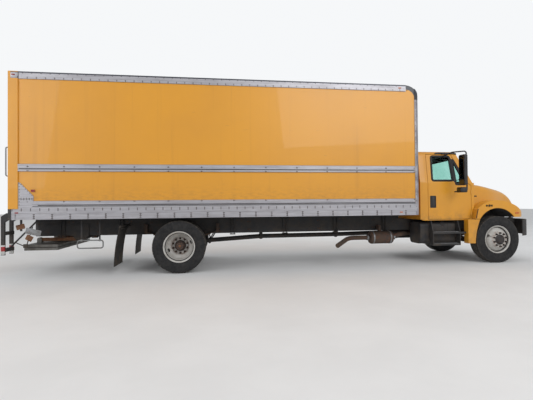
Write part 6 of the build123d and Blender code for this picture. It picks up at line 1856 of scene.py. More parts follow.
    def build(self) -> None:
        """Makes the cab's trim."""
        for name, side in SIDES.items():
            door = f"door_{name}"
            self.add(
                f"{door}_seals", mirrored(self.window_seals(), side), RUBBER_SEAL, "black_plastic", door
            )
            self.add(f"{door}_handle", mirrored(self.handle(), side), BLACK_PLASTIC, "black_plastic", door)
            self.add(f"{door}_hinges", mirrored(self.hinges(), side), BODY_PAINT, "yellow_paint", door)
            self.add(f"{door}_mirror_glass", self.mirror_faces(side), MirrorGlass(), "clear_glass", door)
            self.add(
                f"{door}_pillar_trim", mirrored(self.pillars(), side), BLACK_PLASTIC, "black_plastic", door
            )
            self.add(
                f"{door}_inner_trim", mirrored(self.door_card(), side), GREY_PLASTIC, "grey_plastic", door
            )
            self.add(
                f"roof_{name}_gutter", mirrored(self.gutter_with_shade_band(), side), BLACK_PLASTIC, "black_plastic"
            )
        self.add("windscreen_seal", [self.screen_seal()], RUBBER_SEAL, "black_plastic")
        self.add("rear_window_seal", [self.back_seal()], RUBBER_SEAL, "black_plastic")
        self.add("wipers", self.wipers(), BLACK_PLASTIC, "black_plastic")
        self.add("headliner", [self.headliner()], DARK_CLOTH, "seat_fabric")
        self.add("sun_visors", self.visors(), DARK_CLOTH, "seat_fabric")


@dataclass
class HoodTrim(Assembly):
    """What is fixed to the tilting hood: arch lips and liners, shields, latches, lamps and mesh."""

    fender: float = 1.15
    arch: tuple[Pair, ...] = ((-0.441, 0.965), (-0.02, 1.2), (0.383, 0.999))
    arch_steps: int = 30
    shield_y: float = 0.53
    shield_x: Pair = (4.06, 5.12)
    shield_z: Pair = (0.966, 1.37)

    def lip(self, inset: float) -> np.ndarray:
        """The wheel arch's edge as points (x, z), moved in towards the axle by an inset."""
        arc = arc_through(*self.arch, self.arch_steps)
        centre = np.array([(arc[0, 0] + arc[-1, 0]) / 2, 0.7])
        inward = (centre - arc) / np.linalg.norm(centre - arc, axis=1)[:, None]
        return arc + inward * inset + np.array([FRONT_AXLE_X, 0.0])

    def arch_roll(self) -> Skin:
        """The rolled edge of the arch: a round bar along the arc."""
        arc = self.lip(-0.004)
        path = np.stack([arc[:, 0], np.full(len(arc), self.fender - 0.011), arc[:, 1]], -1)
        return carried(path, circle(0.011, 10), (0, 1, 0))

    def liner(self) -> Skin:
        """The black liner inside the arch: the arc swept from the shield out to the lip."""
        arc = self.lip(0.003)
        y = np.linspace(self.shield_y + 0.02, self.fender - 0.02, 12)
        face = np.stack(
            [np.repeat(arc[:, :1], 12, 1), np.tile(y, (len(arc), 1)), np.repeat(arc[:, 1:], 12, 1)], -1
        )
        return shell(face, (0.0, 0.0, 0.006))

    def shield(self) -> list[Skin]:
        """The upright shield between wheel and engine, with ribs pressed in it as sine waves."""
        x, z = np.meshgrid(np.linspace(*self.shield_x, 70), np.linspace(*self.shield_z, 10), indexing="ij")
        wave = 0.004 * np.sin((x - self.shield_x[0]) * 2 * math.pi / 0.12)
        face = np.stack([x, self.shield_y + wave, z], -1)
        lip = rod(
            (self.shield_x[0], self.shield_y, self.shield_z[0]),
            (self.shield_x[1], self.shield_y, self.shield_z[0]), 0.007,
        )
        return [shell(face, (0.0, 0.006, 0.0)), lip]

    def latch(self) -> list[Skin]:
        """The rubber hood latch with its feet, a dark strip on the fender's rear edge painted as the shade
        of the gap between fender and cab, and a dark bar painted as the shaded vent slot.
        """
        y = self.fender + 0.004
        strap = carried(
            rounded_run(
                [(4.17, y, 1.25), (4.2, y + 0.012, 1.25), (4.27, y + 0.012, 1.25), (4.3, y, 1.25)], 0.02
            ),
            bar_section(0.03, 0.01, 0.003), (0, 0, 1),
        )
        feet = [
            block((x - 0.012, self.fender - 0.002, 1.23), (x + 0.012, self.fender + 0.012, 1.27), 0.004)
            for x in (4.172, 4.298)
        ]
        grip = rod((4.235, y + 0.014, 1.224), (4.235, y + 0.014, 1.276), 0.009)
        # Painted shade: a dark strip drawn where the gap between the fender and the cab lies in shade.
        strip = carried(
            rounded_run(
                [
                    (3.928, self.fender + 0.001, 0.978), (3.948, self.fender + 0.001, 1.08),
                    (3.972, self.fender + 0.001, 1.18),
                ],
                0.03,
            ),
            bar_section(0.016, 0.008, 0.002), (0, 1, 0),
        )
        # Painted shade: a dark bar drawn where the hood's vent slot lies in shade.
        slot = carried(np.array([(4.03, 0.9015, 1.464), (4.09, 0.8825, 1.464), (4.15, 0.8712, 1.464)]),
                       bar_section(0.006, 0.026, 0.002), (0, 0, 1))
        return [strap, *feet, grip, strip, slot]

    def marker(self) -> list[Skin]:
        """The amber lamp low on the fender's nose."""
        lens = centred(0.05, 0.02, 0.012)
        return [plate(lens, 0.014, 0.005).moved(4.9, self.fender - 0.012, 1.085)]

    def lamp_rim(self) -> Skin:
        """The black rim of a headlamp, on its sloped face: x falls as z climbs."""
        corners = rectangle((0.703, 1.037), (0.982, 1.184), 0.035, 6)
        fine = refined(corners, 4)
        depth = np.interp(
            fine[:, 1], [1.035, 1.06, 1.09, 1.12, 1.16, 1.19], [5.15, 5.135, 5.1024, 5.0675, 5.0157, 4.972]
        )
        return carried(
            upright(fine, depth + 0.001), bar_section(0.008, 0.008, 0.002), (0.75, 0, 0.65), loop=True
        )

    def lamp_top(self) -> Skin:
        """The lens's upper half, which follows the fender's slope: x is read off z along its curve."""
        z, y = np.meshgrid(np.linspace(1.118, 1.1845, 8), np.linspace(0.7015, 0.9835, 12), indexing="ij")
        x = np.interp(z, [1.118, 1.14, 1.16, 1.18, 1.19], [5.0695, 5.0423, 5.0156, 4.9871, 4.972])
        return shell(np.stack([x + 0.0005, y, z], -1), (-0.02, 0.0, -0.012))

    def mesh(self) -> list[Skin]:
        """The fine black mesh behind the grille's bars."""
        low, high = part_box("grille")
        column = block((-0.0015, -0.0015, low.z + 0.012), (0.0015, 0.0015, high.z - 0.012), 0.0006)
        level = block((-0.0015, low.y + 0.012, -0.0015), (0.0015, high.y - 0.012, 0.0015), 0.0006)
        ys = np.arange(low.y + 0.02, high.y - 0.01, 0.0125)
        zs = np.arange(low.z + 0.02, high.z - 0.01, 0.0125)
        x = low.x + 0.003
        places = np.stack([np.full(len(ys), x), ys, np.zeros(len(ys))], -1)
        rows = np.stack([np.full(len(zs), x), np.zeros(len(zs)), zs], -1)
        return [scattered(column, places), scattered(level, rows)]

    def build(self) -> None:
        """Makes the hood's trim on both sides."""
        for name, side in SIDES.items():
            self.add(
                f"hood_{name}_arch_lip", [self.arch_roll().sided(side)], BODY_PAINT, "yellow_paint", "hood"
            )
            self.add(
                f"hood_{name}_arch_liner", [self.liner().sided(side)], BLACK_PLASTIC, "black_plastic",
                "hood",
            )
            self.add(
                f"hood_{name}_shield", mirrored(self.shield(), side), BLACK_PLASTIC, "black_plastic", "hood"
            )
            self.add(
                f"hood_{name}_latch", mirrored(self.latch(), side), RUBBER_SEAL, "black_plastic", "hood"
            )
            self.add(f"hood_{name}_marker", mirrored(self.marker(), side), AMBER_LENS, "lamp_clear", "hood")
            self.add(
                f"hood_{name}_lamp_rim", [self.lamp_rim().sided(side)], BLACK_PLASTIC, "black_plastic",
                "hood",
            )
            self.add(
                f"hood_{name}_lamp_top", [self.lamp_top().sided(side)], HeadlampLens(), "lamp_clear", "hood"
            )
        self.add("grille_mesh", self.mesh(), BLACK_PLASTIC, "black_plastic", "hood")


@dataclass
class Underbody(Assembly):
    """Bolts, straps, treads, clamps and hangers on and under the frame."""

    rail_y: float = 0.432
    crossmembers: tuple[float, ...] = (5.34, 3.2, 1.9, 0.62, -0.94, -3.0, -4.06, -5.235)
    step_x: Pair = (2.974, 3.586)
    step_y: Pair = (0.958, 1.078)
    step_tops: Pair = (0.44, 0.69)
    muffler_axis: Pair = (-0.6, 0.56)  # (y, z) of the muffler and its pipes
    loop_y: float = -1.0
    loop_beams: Pair = (-4.2, -3.87)
    plate_tilt: float = 14.0

    def frame_bolts(self, side: int) -> Skin:
        """Bolt heads where each crossmember, spring bracket and floor clamp meets a frame rail."""
        spots = [
            (x + dx, self.rail_y, z)
            for x in self.crossmembers
            for dx in (-0.022, 0.022)
            for z in (0.78, 0.95)
        ]
        spots += [(x + dx, self.rail_y, 0.985) for x in np.arange(-4.6, 2.3, 1.15) for dx in (-0.04, 0.04)]
        spots += [
            (x + dx, self.rail_y, z)
            for x in (3.86, 5.02, -1.62, -3.06)
            for dx in (-0.04, 0.0, 0.04)
            for z in (0.75, 0.81)
        ]
        return scattered(bolt(0.012, 0.011), np.array(spots)).sided(side)

    def floor_clamps(self, side: int) -> list[Skin]:
        """The long bolts and plates that hold the box's sills to the frame."""
        parts = []
        for x in np.arange(-4.75, 2.3, 1.15):
            parts.append(
                block((x - 0.05, self.rail_y + 0.002, 0.86), (x + 0.05, self.rail_y + 0.014, 1.055), 0.003)
            )
            parts += [
                rod((x + dx, self.rail_y + 0.03, 0.68), (x + dx, self.rail_y + 0.03, 1.05), 0.008)
                for dx in (-0.035, 0.035)
            ]
            parts.append(
                block((x - 0.06, self.rail_y - 0.02, 0.676), (x + 0.06, self.rail_y + 0.05, 0.694), 0.003)
            )
        return mirrored(parts, side)

    def treads(self) -> list[Skin]:
        """The bar grip plates on the cab's steps: a pad with rows of raised bars."""
        parts = []
        for side in SIDES.values():
            for top in self.step_tops:
                parts.append(
                    block(
                        (self.step_x[0] + 0.01, self.step_y[0], top - 0.003),
                        (self.step_x[1] - 0.01, self.step_y[1], top + 0.003), 0.001,
                    ).sided(side)
                )
                bar = block((-0.009, -0.045, 0.0), (0.009, 0.045, 0.008), 0.003)
                xs = np.arange(self.step_x[0] + 0.04, self.step_x[1] - 0.03, 0.036)
                places = np.stack(
                    [xs, np.full(len(xs), sum(self.step_y) / 2), np.full(len(xs), top + 0.002)], -1
                )
                parts.append(scattered(bar, places).sided(side))
        return parts

    def boxes(self) -> list[Skin]:
        """The battery box's lid and its two straps with their buckles."""
        low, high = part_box("battery_box")
        lid = block(
            (low.x + 0.02, low.y + 0.06, high.z - 0.012), (high.x - 0.02, high.y - 0.01, high.z - 0.002),
            0.004,
        )
        parts = [lid]
        for x in (low.x + 0.24, high.x - 0.24):
            path = rounded_run(
                [
                    (x, high.y + 0.002, high.z - 0.25), (x, high.y + 0.003, high.z - 0.03),
                    (x, high.y - 0.03, high.z + 0.001), (x, low.y + 0.1, high.z + 0.001),
                ],
                0.02,
            )
            parts.append(carried(path, bar_section(0.03, 0.004, 0.001), (1, 0, 0)))
            parts.append(
                block(
                    (x - 0.02, high.y - 0.004, high.z - 0.29), (x + 0.02, high.y + 0.008, high.z - 0.24),
                    0.004,
                )
            )
        return parts

    def filler(self) -> list[Skin]:
        """The fuel tank's filler neck with its cap, on the tank's front upper edge."""
        low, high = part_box("fuel_tank")
        cap = lathe(
            [
                (0.0, -0.03), (0.045, -0.03), (0.045, 0.0), (0.052, 0.002), (0.052, 0.022), (0.046, 0.028),
                (0.0, 0.03),
            ],
            28,
        )
        grips = ring(12, 0.052, 0.0, block((-0.003, 0.004, -0.004), (0.003, 0.02, 0.004), 0.001))
        turn = Matrix.Rotation(math.radians(-40), 3, "X") @ Matrix.Rotation(math.radians(180), 3, "Z")
        return [joined([cap, grips]).turned(turn).moved(high.x - 0.3, low.y + 0.04, high.z - 0.045)]

    def muffler(self) -> list[Skin]:
        """The muffler's two clamp bands with their bolts, and the clamps on its pipes."""
        parts = []
        for x in (1.8, 2.19):
            parts.append(band(0.1375, 0.03, 0.004).turned(TO_FRONT).moved(x, *self.muffler_axis))
            parts.append(rod((x, -0.585, 0.7), (x, -0.545, 0.7), 0.008))
        for x in (1.69, 2.3):
            parts.append(band(0.05, 0.04, 0.006).turned(TO_FRONT).moved(x, *self.muffler_axis))
        return parts

    def flaps(self) -> list[Skin]:
        """The clamp bars over the tops of the mud flaps, with their bolts."""
        _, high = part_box("mud_flaps")
        parts = []
        for side in SIDES.values():
            for x in (high.x - 0.001, high.x - 0.024):
                bar = block((x - 0.004, 0.62, high.z - 0.07), (x + 0.004, 1.2, high.z - 0.045), 0.002)
                parts.append(bar.sided(side))
            heads = scattered(
                bolt(0.009, 0.009).turned(TO_FRONT),
                np.array([(high.x + 0.003, y, high.z - 0.0575) for y in np.linspace(0.66, 1.16, 5)]),
            )
            parts.append(heads.sided(side))
        return parts

    def torque_rods(self) -> list[Skin]:
        """The V of two rods ahead of the rear axle, with eyes at its ends."""
        parts = []
        for side in SIDES.values():
            y = side * (self.rail_y + 0.05)
            foot = (-1.79, y, 0.53)
            for top in ((-1.875, y, 0.74), (-1.663, y, 0.74)):
                parts.append(rod(foot, top, 0.012))
                parts.append(band(0.012, 0.05, 0.016, 20).moved(*top))
            parts.append(band(0.012, 0.06, 0.02, 20).moved(*foot))
        return parts

    def side_loop(self) -> list[Skin]:
        """The grey tube loop hung by two straps from the floor beams on the right, ahead of the flaps."""
        y = self.loop_y
        corners = rounded_loop(
            [(-4.28, y, 0.505), (-3.81, y, 0.505), (-3.81, y, 0.655), (-4.28, y, 0.655)], 0.05, 6
        )
        parts = [carried(corners, circle(0.012, 12), (0, 1, 0), loop=True)]
        parts += [
            block((x - 0.02, y - 0.016, 0.635), (x + 0.02, y + 0.016, 0.675), 0.006)
            for x in self.loop_beams
        ]
        return parts

    def loop_straps(self) -> list[Skin]:
        """The two flat straps that carry the tube loop."""
        return [
            block((x - 0.015, self.loop_y - 0.004, 0.64), (x + 0.015, self.loop_y + 0.004, 1.078), 0.002)
            for x in self.loop_beams
        ]

    def step_braces(self, side: int) -> list[Skin]:
        """What stiffens one rear step: a slanted tube, two straps, two thin rods and a block, with bolts."""
        parts = [rod((-5.405, 1.12, 0.56), (-4.9, 1.12, 1.09), 0.015, 14)]
        parts += [
            block((x - 0.02, 1.127, low), (x + 0.02, 1.135, 1.085), 0.002)
            for x, low in ((-4.94, 0.78), (-5.21, 0.86))
        ]
        parts.append(rod((-5.33, 1.12, 0.66), (-5.16, 1.12, 0.58), 0.009, 12))
        parts.append(block((-5.18, 1.11, 0.55), (-5.1, 1.13, 0.62), 0.006))
        parts.append(rod((-5.12, 1.12, 0.6), (-5.02, 1.12, 0.94), 0.009, 12))
        parts += [
            bolt(0.013, 0.012).turned(HALF_TURN).moved(x, 1.126, z)
            for x, z in ((-5.1, 0.86), (-4.9, 0.81), (-5.24, 0.95), (-5.17, 0.92))
        ]
        return mirrored(parts, side)

    def brace_plates(self, side: int) -> list[Skin]:
        """The tilted plates bolted across the braces of one rear step."""
        plates = []
        tilt = self.plate_tilt
        for x, z, width, height, lean in (
            (-5.0, 0.84, 0.27, 0.11, tilt), (-5.22, 0.94, 0.15, 0.09, -tilt),
            (-5.07, 0.73, 0.12, 0.1, 2 * tilt),
        ):
            form = plate(centred(width / 2, height / 2, 0.012), 0.006, 0.002)
            plates.append(
                form.turned(Matrix.Rotation(math.radians(lean), 3, "Y")).moved(x, 1.134, z).sided(side)
            )
        return plates

    def build(self) -> None:
        """Makes the hardware under the truck."""
        for name, side in SIDES.items():
            self.add(f"frame_{name}_bolts", [self.frame_bolts(side)], NUT_IRON, "grey_steel")
            self.add(f"box_{name}_clamps", self.floor_clamps(side), FRAME_PAINT, "black_paint")
        self.add("step_treads", self.treads(), GALVANISED, "galvanised")
        self.add("battery_lid_straps", self.boxes(), RUBBER_SEAL, "black_plastic")
        self.add("fuel_cap", self.filler(), FRAME_PAINT, "black_paint")
        self.add("exhaust_clamps", self.muffler(), GALVANISED, "galvanised")
        self.add("flap_clamps", self.flaps(), FRAME_PAINT, "black_paint")
        self.add("torque_rods", self.torque_rods(), FRAME_PAINT, "black_paint")
        self.add("side_tube_loop", self.side_loop(), GALVANISED, "galvanised")
        self.add("tube_loop_straps", self.loop_straps(), FRAME_PAINT, "black_paint")
        for name, side in SIDES.items():
            self.add(f"step_{name}_braces", self.step_braces(side), FRAME_PAINT, "black_paint")
            plates = self.brace_plates(side)
            self.add(f"step_{name}_plate", plates[:1], GALVANISED, "galvanised")
            self.add(f"step_{name}_rusty_plates", plates[1:], RUST_BROWN, "grey_steel")


@dataclass
class Seats(Assembly):
    """Two padded seats, each a cushion, a back and a head pad swelled as cloth under pressure."""

    seat_y: float = 0.5
    voxel: float = 0.013
    pressure: float = 4.0
    frames: int = 20
    swell: float = 0.022
    head_swell: float = 0.014
    cushion_half: Point = (0.212, 0.232, 0.06)
    back_half: Point = (0.05, 0.222, 0.31)
    head_half: Point = (0.038, 0.13, 0.07)

    def start_form(self, half: Point, power: float = 0.34) -> Skin:
        """A rounded cushion form: each axis is its half size times a sine or cosine to a power.

        Args:
            half: Half sizes along x, y and z.
            power: Less than 1 squares the form off.

        Returns:
            A closed form about the origin.
        """
        rise, turn = np.linspace(-math.pi / 2, math.pi / 2, 33), np.linspace(
            0, 2 * math.pi, 64, endpoint=False
        )
        up, round_ = np.meshgrid(rise, turn, indexing="ij")
        level = powered(np.cos(up), power)
        x = half[0] * level * powered(np.cos(round_), power)
        y = half[1] * level * powered(np.sin(round_), power)
        z = half[2] * powered(np.sin(up), power)
        return Skin(np.stack([x, y, z], -1).reshape(-1, 3), grid_quads(33, 64, False, True))

    def cloth(self, name: str, form: Skin, held: Point, reach: float) -> bpy.types.Mesh:
        """Remeshes a form in voxels and swells it, without letting any point move further than a cap.

        Args:
            name: Name of the mesh.
            form: The start form.
            held: Points p with p . held above 1 are fixed, where the pad lies on its base.
            reach: The cap on a point's move.

        Returns:
            The swollen mesh, with one subdivision.
        """
        scene = bpy.context.scene
        raw = bpy.data.meshes.new(name + "_start")
        raw.from_pydata(form.points.tolist(), [], form.quads.tolist())
        shape = bmesh.new()
        shape.from_mesh(raw)
        bmesh.ops.remove_doubles(shape, verts=shape.verts, dist=1e-4)
        bmesh.ops.recalc_face_normals(shape, faces=shape.faces)
        shape.to_mesh(raw)
        shape.free()
        start = bpy.data.objects.new(name + "_start", raw)
        scene.collection.objects.link(start)
        voxels = start.modifiers.new("voxels", "REMESH")
        voxels.mode, voxels.voxel_size = "VOXEL", self.voxel
        mesh = bpy.data.meshes.new_from_object(start.evaluated_get(bpy.context.evaluated_depsgraph_get()))
        bpy.data.objects.remove(start)
        pad = bpy.data.objects.new(name + "_pad", mesh)
        scene.collection.objects.link(pad)
        rest = self.coordinates(mesh)
        group = pad.vertex_groups.new(name="held")
        group.add(np.nonzero(rest @ np.array(held) > 1)[0].tolist(), 1.0, "REPLACE")
        cloth = pad.modifiers.new("cloth", "CLOTH")
        cloth.settings.use_pressure = True
        cloth.settings.uniform_pressure_force = self.pressure
        cloth.settings.vertex_group_mass = "held"
        cloth.settings.effector_weights.gravity = 0
        cloth.settings.tension_stiffness = cloth.settings.compression_stiffness = 12
        cloth.point_cache.frame_start, cloth.point_cache.frame_end = 1, self.frames
        for step in range(1, self.frames + 1):
            scene.frame_set(step)
        swollen = bpy.data.meshes.new_from_object(
            pad.evaluated_get(bpy.context.evaluated_depsgraph_get())
        )
        move = self.coordinates(swollen) - rest
        length = np.maximum(np.linalg.norm(move, axis=1), 1e-9)[:, None]
        rest = rest + move * np.minimum(1, reach / length)
        pad.modifiers.clear()
        mesh.vertices.foreach_set("co", rest.astype(np.float32).ravel())
        scene.frame_set(1)
        finer = pad.modifiers.new("finer", "SUBSURF")
        finer.levels = finer.render_levels = 1
        fine = bpy.data.meshes.new_from_object(pad.evaluated_get(bpy.context.evaluated_depsgraph_get()))
        bpy.data.objects.remove(pad)
        return fine

    def coordinates(self, mesh: bpy.types.Mesh) -> np.ndarray:
        """A mesh's points as an array."""
        flat = np.empty(3 * len(mesh.vertices), np.float32)
        mesh.vertices.foreach_get("co", flat)
        return flat.reshape(-1, 3).astype(float)

    def sewn(
        self, points: np.ndarray, seams: Sequence[tuple[int, float]], thin: int, depth: float = 0.009
    ) -> np.ndarray:
        """Presses sewn channels into a pad: a bell of width 6.5 mm about each seam, towards the middle.

        Args:
            points: The pad's points about its middle.
            seams: Pairs of an axis and where on it the seam lies.
            thin: The axis across the pad, along which the channel sinks.
            depth: Depth of a channel.

        Returns:
            The points with their channels.
        """
        sunk = np.zeros(len(points))
        for axis, place in seams:
            sunk = np.maximum(sunk, np.exp(-(((points[:, axis] - place) / 0.0065) ** 2)))
        half = np.abs(points[:, thin]).max()
        out = points.copy()
        out[:, thin] -= depth * sunk * np.clip(points[:, thin] / half * 1.6, -1, 1)
        return out

    def place(self, name: str, mesh: bpy.types.Mesh, points: np.ndarray, tilt: float, at: Point) -> None:
        """Puts a copy of a pad on its seat.

        Args:
            name: The piece's name.
            mesh: The pad's faces.
            points: Its points about its middle.
            tilt: Turn about Y in degrees, backwards.
            at: Where its middle goes.
        """
        turn = np.array(Matrix.Rotation(math.radians(-tilt), 3, "Y"))
        copy = mesh.copy()
        copy.name = name
        copy.vertices.foreach_set("co", (points @ turn.T + np.array(at)).astype(np.float32).ravel())
        copy.polygons.foreach_set("use_smooth", np.ones(len(copy.polygons), bool))
        copy.materials.clear()
        copy.materials.append(self.finishes.of(SeatCloth()))
        copy.update()
        piece = bpy.data.objects.new(name, copy)
        bpy.context.scene.collection.objects.link(piece)
        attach(piece, "chassis")
        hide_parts("seats")
        log.info("made %s with %d faces on chassis", name, len(copy.polygons))

    def build(self) -> None:
        """Makes the pads of one seat, copies them to the other, and adds their shells and posts."""
        cushion = self.cloth(
            "cushion", self.start_form(self.cushion_half), (0.0, 0.0, -1 / 0.045), self.swell
        )
        back = self.cloth("back", self.start_form(self.back_half), (-1 / 0.035, 0.0, 0.0), self.swell)
        head = self.cloth(
            "head", self.start_form(self.head_half, 0.5), (-1 / 0.032, 0.0, 0.0), self.head_swell
        )
        cushion_points = self.sewn(
            self.coordinates(cushion), ((1, -0.135), (1, 0.135), (0, -0.1), (0, 0.03)), 2
        )
        back_points = self.sewn(self.coordinates(back), ((1, -0.13), (1, 0.13), (2, -0.12), (2, 0.06)), 0)
        head_points = self.sewn(self.coordinates(head), ((1, -0.09), (1, 0.09)), 0, 0.005)
        for name, side in SIDES.items():
            y = side * self.seat_y
            self.place(f"seat_{name}_cushion", cushion, cushion_points, 2.5, (3.11, y, 1.35))
            self.place(f"seat_{name}_back", back, back_points, 7.5, (2.905, y, 1.735))
            self.place(f"seat_{name}_head_pad", head, head_points, 5.0, (2.862, y, 2.135))
            posts = [rod((2.868, y + dy, 2.02), (2.864, y + dy, 2.1), 0.007) for dy in (-0.06, 0.06)]
            shell_back = block((2.812, y - 0.2, 1.45), (2.832, y + 0.2, 2.0), 0.009)
            tilt = Matrix.Rotation(math.radians(-7.5), 3, "Y")
            posts.append(shell_back.moved(-2.822, -y, -1.735).turned(tilt).moved(2.858, y, 1.73))
            posts.append(rod((2.9, y - 0.246, 1.4), (2.9, y + 0.246, 1.4), 0.014))
            self.add(f"seat_{name}_frame", posts, BLACK_PLASTIC, "black_plastic")


@dataclass
class CabInterior(Assembly):
    """Gauges, vents, controls, pedals and mats inside the cab."""

    upper: Pair = (3.6749, 1.56)  # a point of the dash's upper slope as (x, z)
    upper_tilt: float = 25.3  # degrees that the slope's top leans forward
    lower: Pair = (3.735, 1.4)
    lower_tilt: float = -23.4

    def on_dash(self, part: Skin, y: float, up: float, lower: bool = False) -> Skin:
        """Puts a part that points along +Y on the dash's upper or lower slope, facing the seats.

        Args:
            part: The part.
            y: Its place across.
            up: How far up the slope it lies.
            lower: Whether it lies on the lower slope.

        Returns:
            The part in place.
        """
        (x, z), tilt = (self.lower, self.lower_tilt) if lower else (self.upper, self.upper_tilt)
        lean = math.radians(tilt)
        turned = part.turned(TO_REAR).turned(Matrix.Rotation(lean, 3, "Y"))
        return turned.moved(x + up * math.sin(lean) - 0.0005, y, z + up * math.cos(lean))

    def slab(self, width: float, height: float, depth: float, corner: float = 0.01) -> Skin:
        """A rounded rectangular plate about the origin."""
        return plate(centred(width / 2, height / 2, corner), depth, min(0.003, depth / 2))

    def dials(self) -> tuple[list[Skin], list[Skin]]:
        """The instrument panel's bezels, and its dial faces."""
        rims, faces = [self.on_dash(self.slab(0.46, 0.105, 0.004, 0.03), 0.48, 0.05)], []
        for y, up, radius in (
            (0.38, 0.05, 0.042), (0.58, 0.05, 0.042), (0.48, 0.072, 0.02), (0.48, 0.028, 0.02),
            (0.305, 0.05, 0.022), (0.655, 0.05, 0.022),
        ):
            disc = capped([(radius, 0.003), (radius, 0.006)], 32)
            faces.append(self.on_dash(disc, y, up))
            rims.append(self.on_dash(band(radius, 0.014, 0.004, 32).moved(y=0.005), y, up))
        return rims, faces

    def controls(self) -> list[Skin]:
        """Vents, the heater and radio panel, the glove box lid and its lock."""
        parts = []
        for y in (0.02, -0.2, -0.62, 0.82):
            parts.append(self.on_dash(self.slab(0.13, 0.07, 0.006), y, 0.05))
            for row in range(5):
                bar = block((-0.056, 0.0, -0.003), (0.056, 0.013, 0.003), 0.001)
                parts.append(self.on_dash(bar, y, 0.026 + row * 0.012))
        parts.append(self.on_dash(self.slab(0.24, 0.15, 0.006), 0.08, 0.02, True))
        for y in (0.0, 0.08, 0.16):
            knob = lathe([(0.0, 0.004), (0.019, 0.004), (0.016, 0.022), (0.0, 0.023)], 20)
            parts.append(self.on_dash(knob, y, -0.02, True))
        button = block((-0.014, 0.004, -0.006), (0.014, 0.011, 0.006), 0.002)
        parts += [self.on_dash(button, y, 0.05, True) for y in np.linspace(-0.01, 0.17, 6)]
        parts.append(self.on_dash(self.slab(0.42, 0.19, 0.006, 0.02), -0.5, 0.0, True))
        lock = capped([(0.012, 0.004), (0.012, 0.012)], 16)
        parts.append(self.on_dash(lock, -0.5, 0.065, True))
        return parts

    def lever(self) -> list[Skin]:
        """The gear lever: a boot of three folds, a bent rod and a knob."""
        folds = [(0.075, 0.0), (0.06, 0.03), (0.066, 0.036), (0.045, 0.07), (0.05, 0.076), (0.02, 0.12)]
        boot = capped(folds, 24).turned(TO_TOP).moved(3.42, 0.03, 1.128)
        bend = rounded_run([(3.42, 0.03, 1.2), (3.4, 0.03, 1.42), (3.33, 0.07, 1.62)], 0.1)
        knob = lathe([(0.0, -0.03), (0.016, -0.028), (0.027, 0.0), (0.022, 0.022), (0.0, 0.03)], 24)
        stick = carried(bend, circle(0.009, 12), (0, 1, 0))
        return [boot, stick, knob.turned(TO_TOP).moved(3.325, 0.073, 1.64)]

    def pedals(self) -> list[Skin]:
        """Clutch, brake and accelerator, each a ribbed pad on a bent arm."""
        parts = []
        for y, z, wide in ((0.33, 1.17, 0.035), (0.47, 1.17, 0.04), (0.6, 1.13, 0.028)):
            arm = rounded_run([(3.86, y, 1.45), (3.83, y, 1.3), (3.79, y, z + 0.01)], 0.06)
            parts.append(carried(arm, bar_section(0.012, 0.02, 0.003), (0, 1, 0)))
            parts.append(block((3.765, y - wide, z - 0.045), (3.783, y + wide, z + 0.045), 0.006))
            parts += [
                rod((3.763, y - wide + 0.006, z + dz), (3.763, y + wide - 0.006, z + dz), 0.0035, 8)
                for dz in (-0.03, -0.01, 0.01, 0.03)
            ]
        return parts

    def mats(self) -> list[Skin]:
        """Two ribbed floor mats: their height ripples with a sine across x."""
        mats = []
        for side in SIDES.values():
            x, y = np.meshgrid(np.linspace(3.36, 3.78, 90), np.linspace(0.3, 0.86, 8), indexing="ij")
            z = 1.016 + 0.0018 * np.sin(x * 2 * math.pi / 0.025)
            mats.append(shell(np.stack([x, y * side, z], -1), (0.0, 0.0, -0.005)))
        return mats

    def build(self) -> None:
        """Makes everything inside the cab apart from the seats."""
        rims, faces = self.dials()
        self.add("dash_bezels", rims, BLACK_PLASTIC, "black_plastic")
        self.add("dash_dials", faces, GaugeFace(), "black_plastic")
        self.add("dash_controls", self.controls(), BLACK_PLASTIC, "black_plastic")
        self.add("gear_lever", self.lever(), BLACK_PLASTIC, "black_plastic")
        self.add("pedals", self.pedals(), BLACK_PLASTIC, "black_plastic")
        self.add("floor_mats", self.mats(), RUBBER_SEAL, "black_plastic")


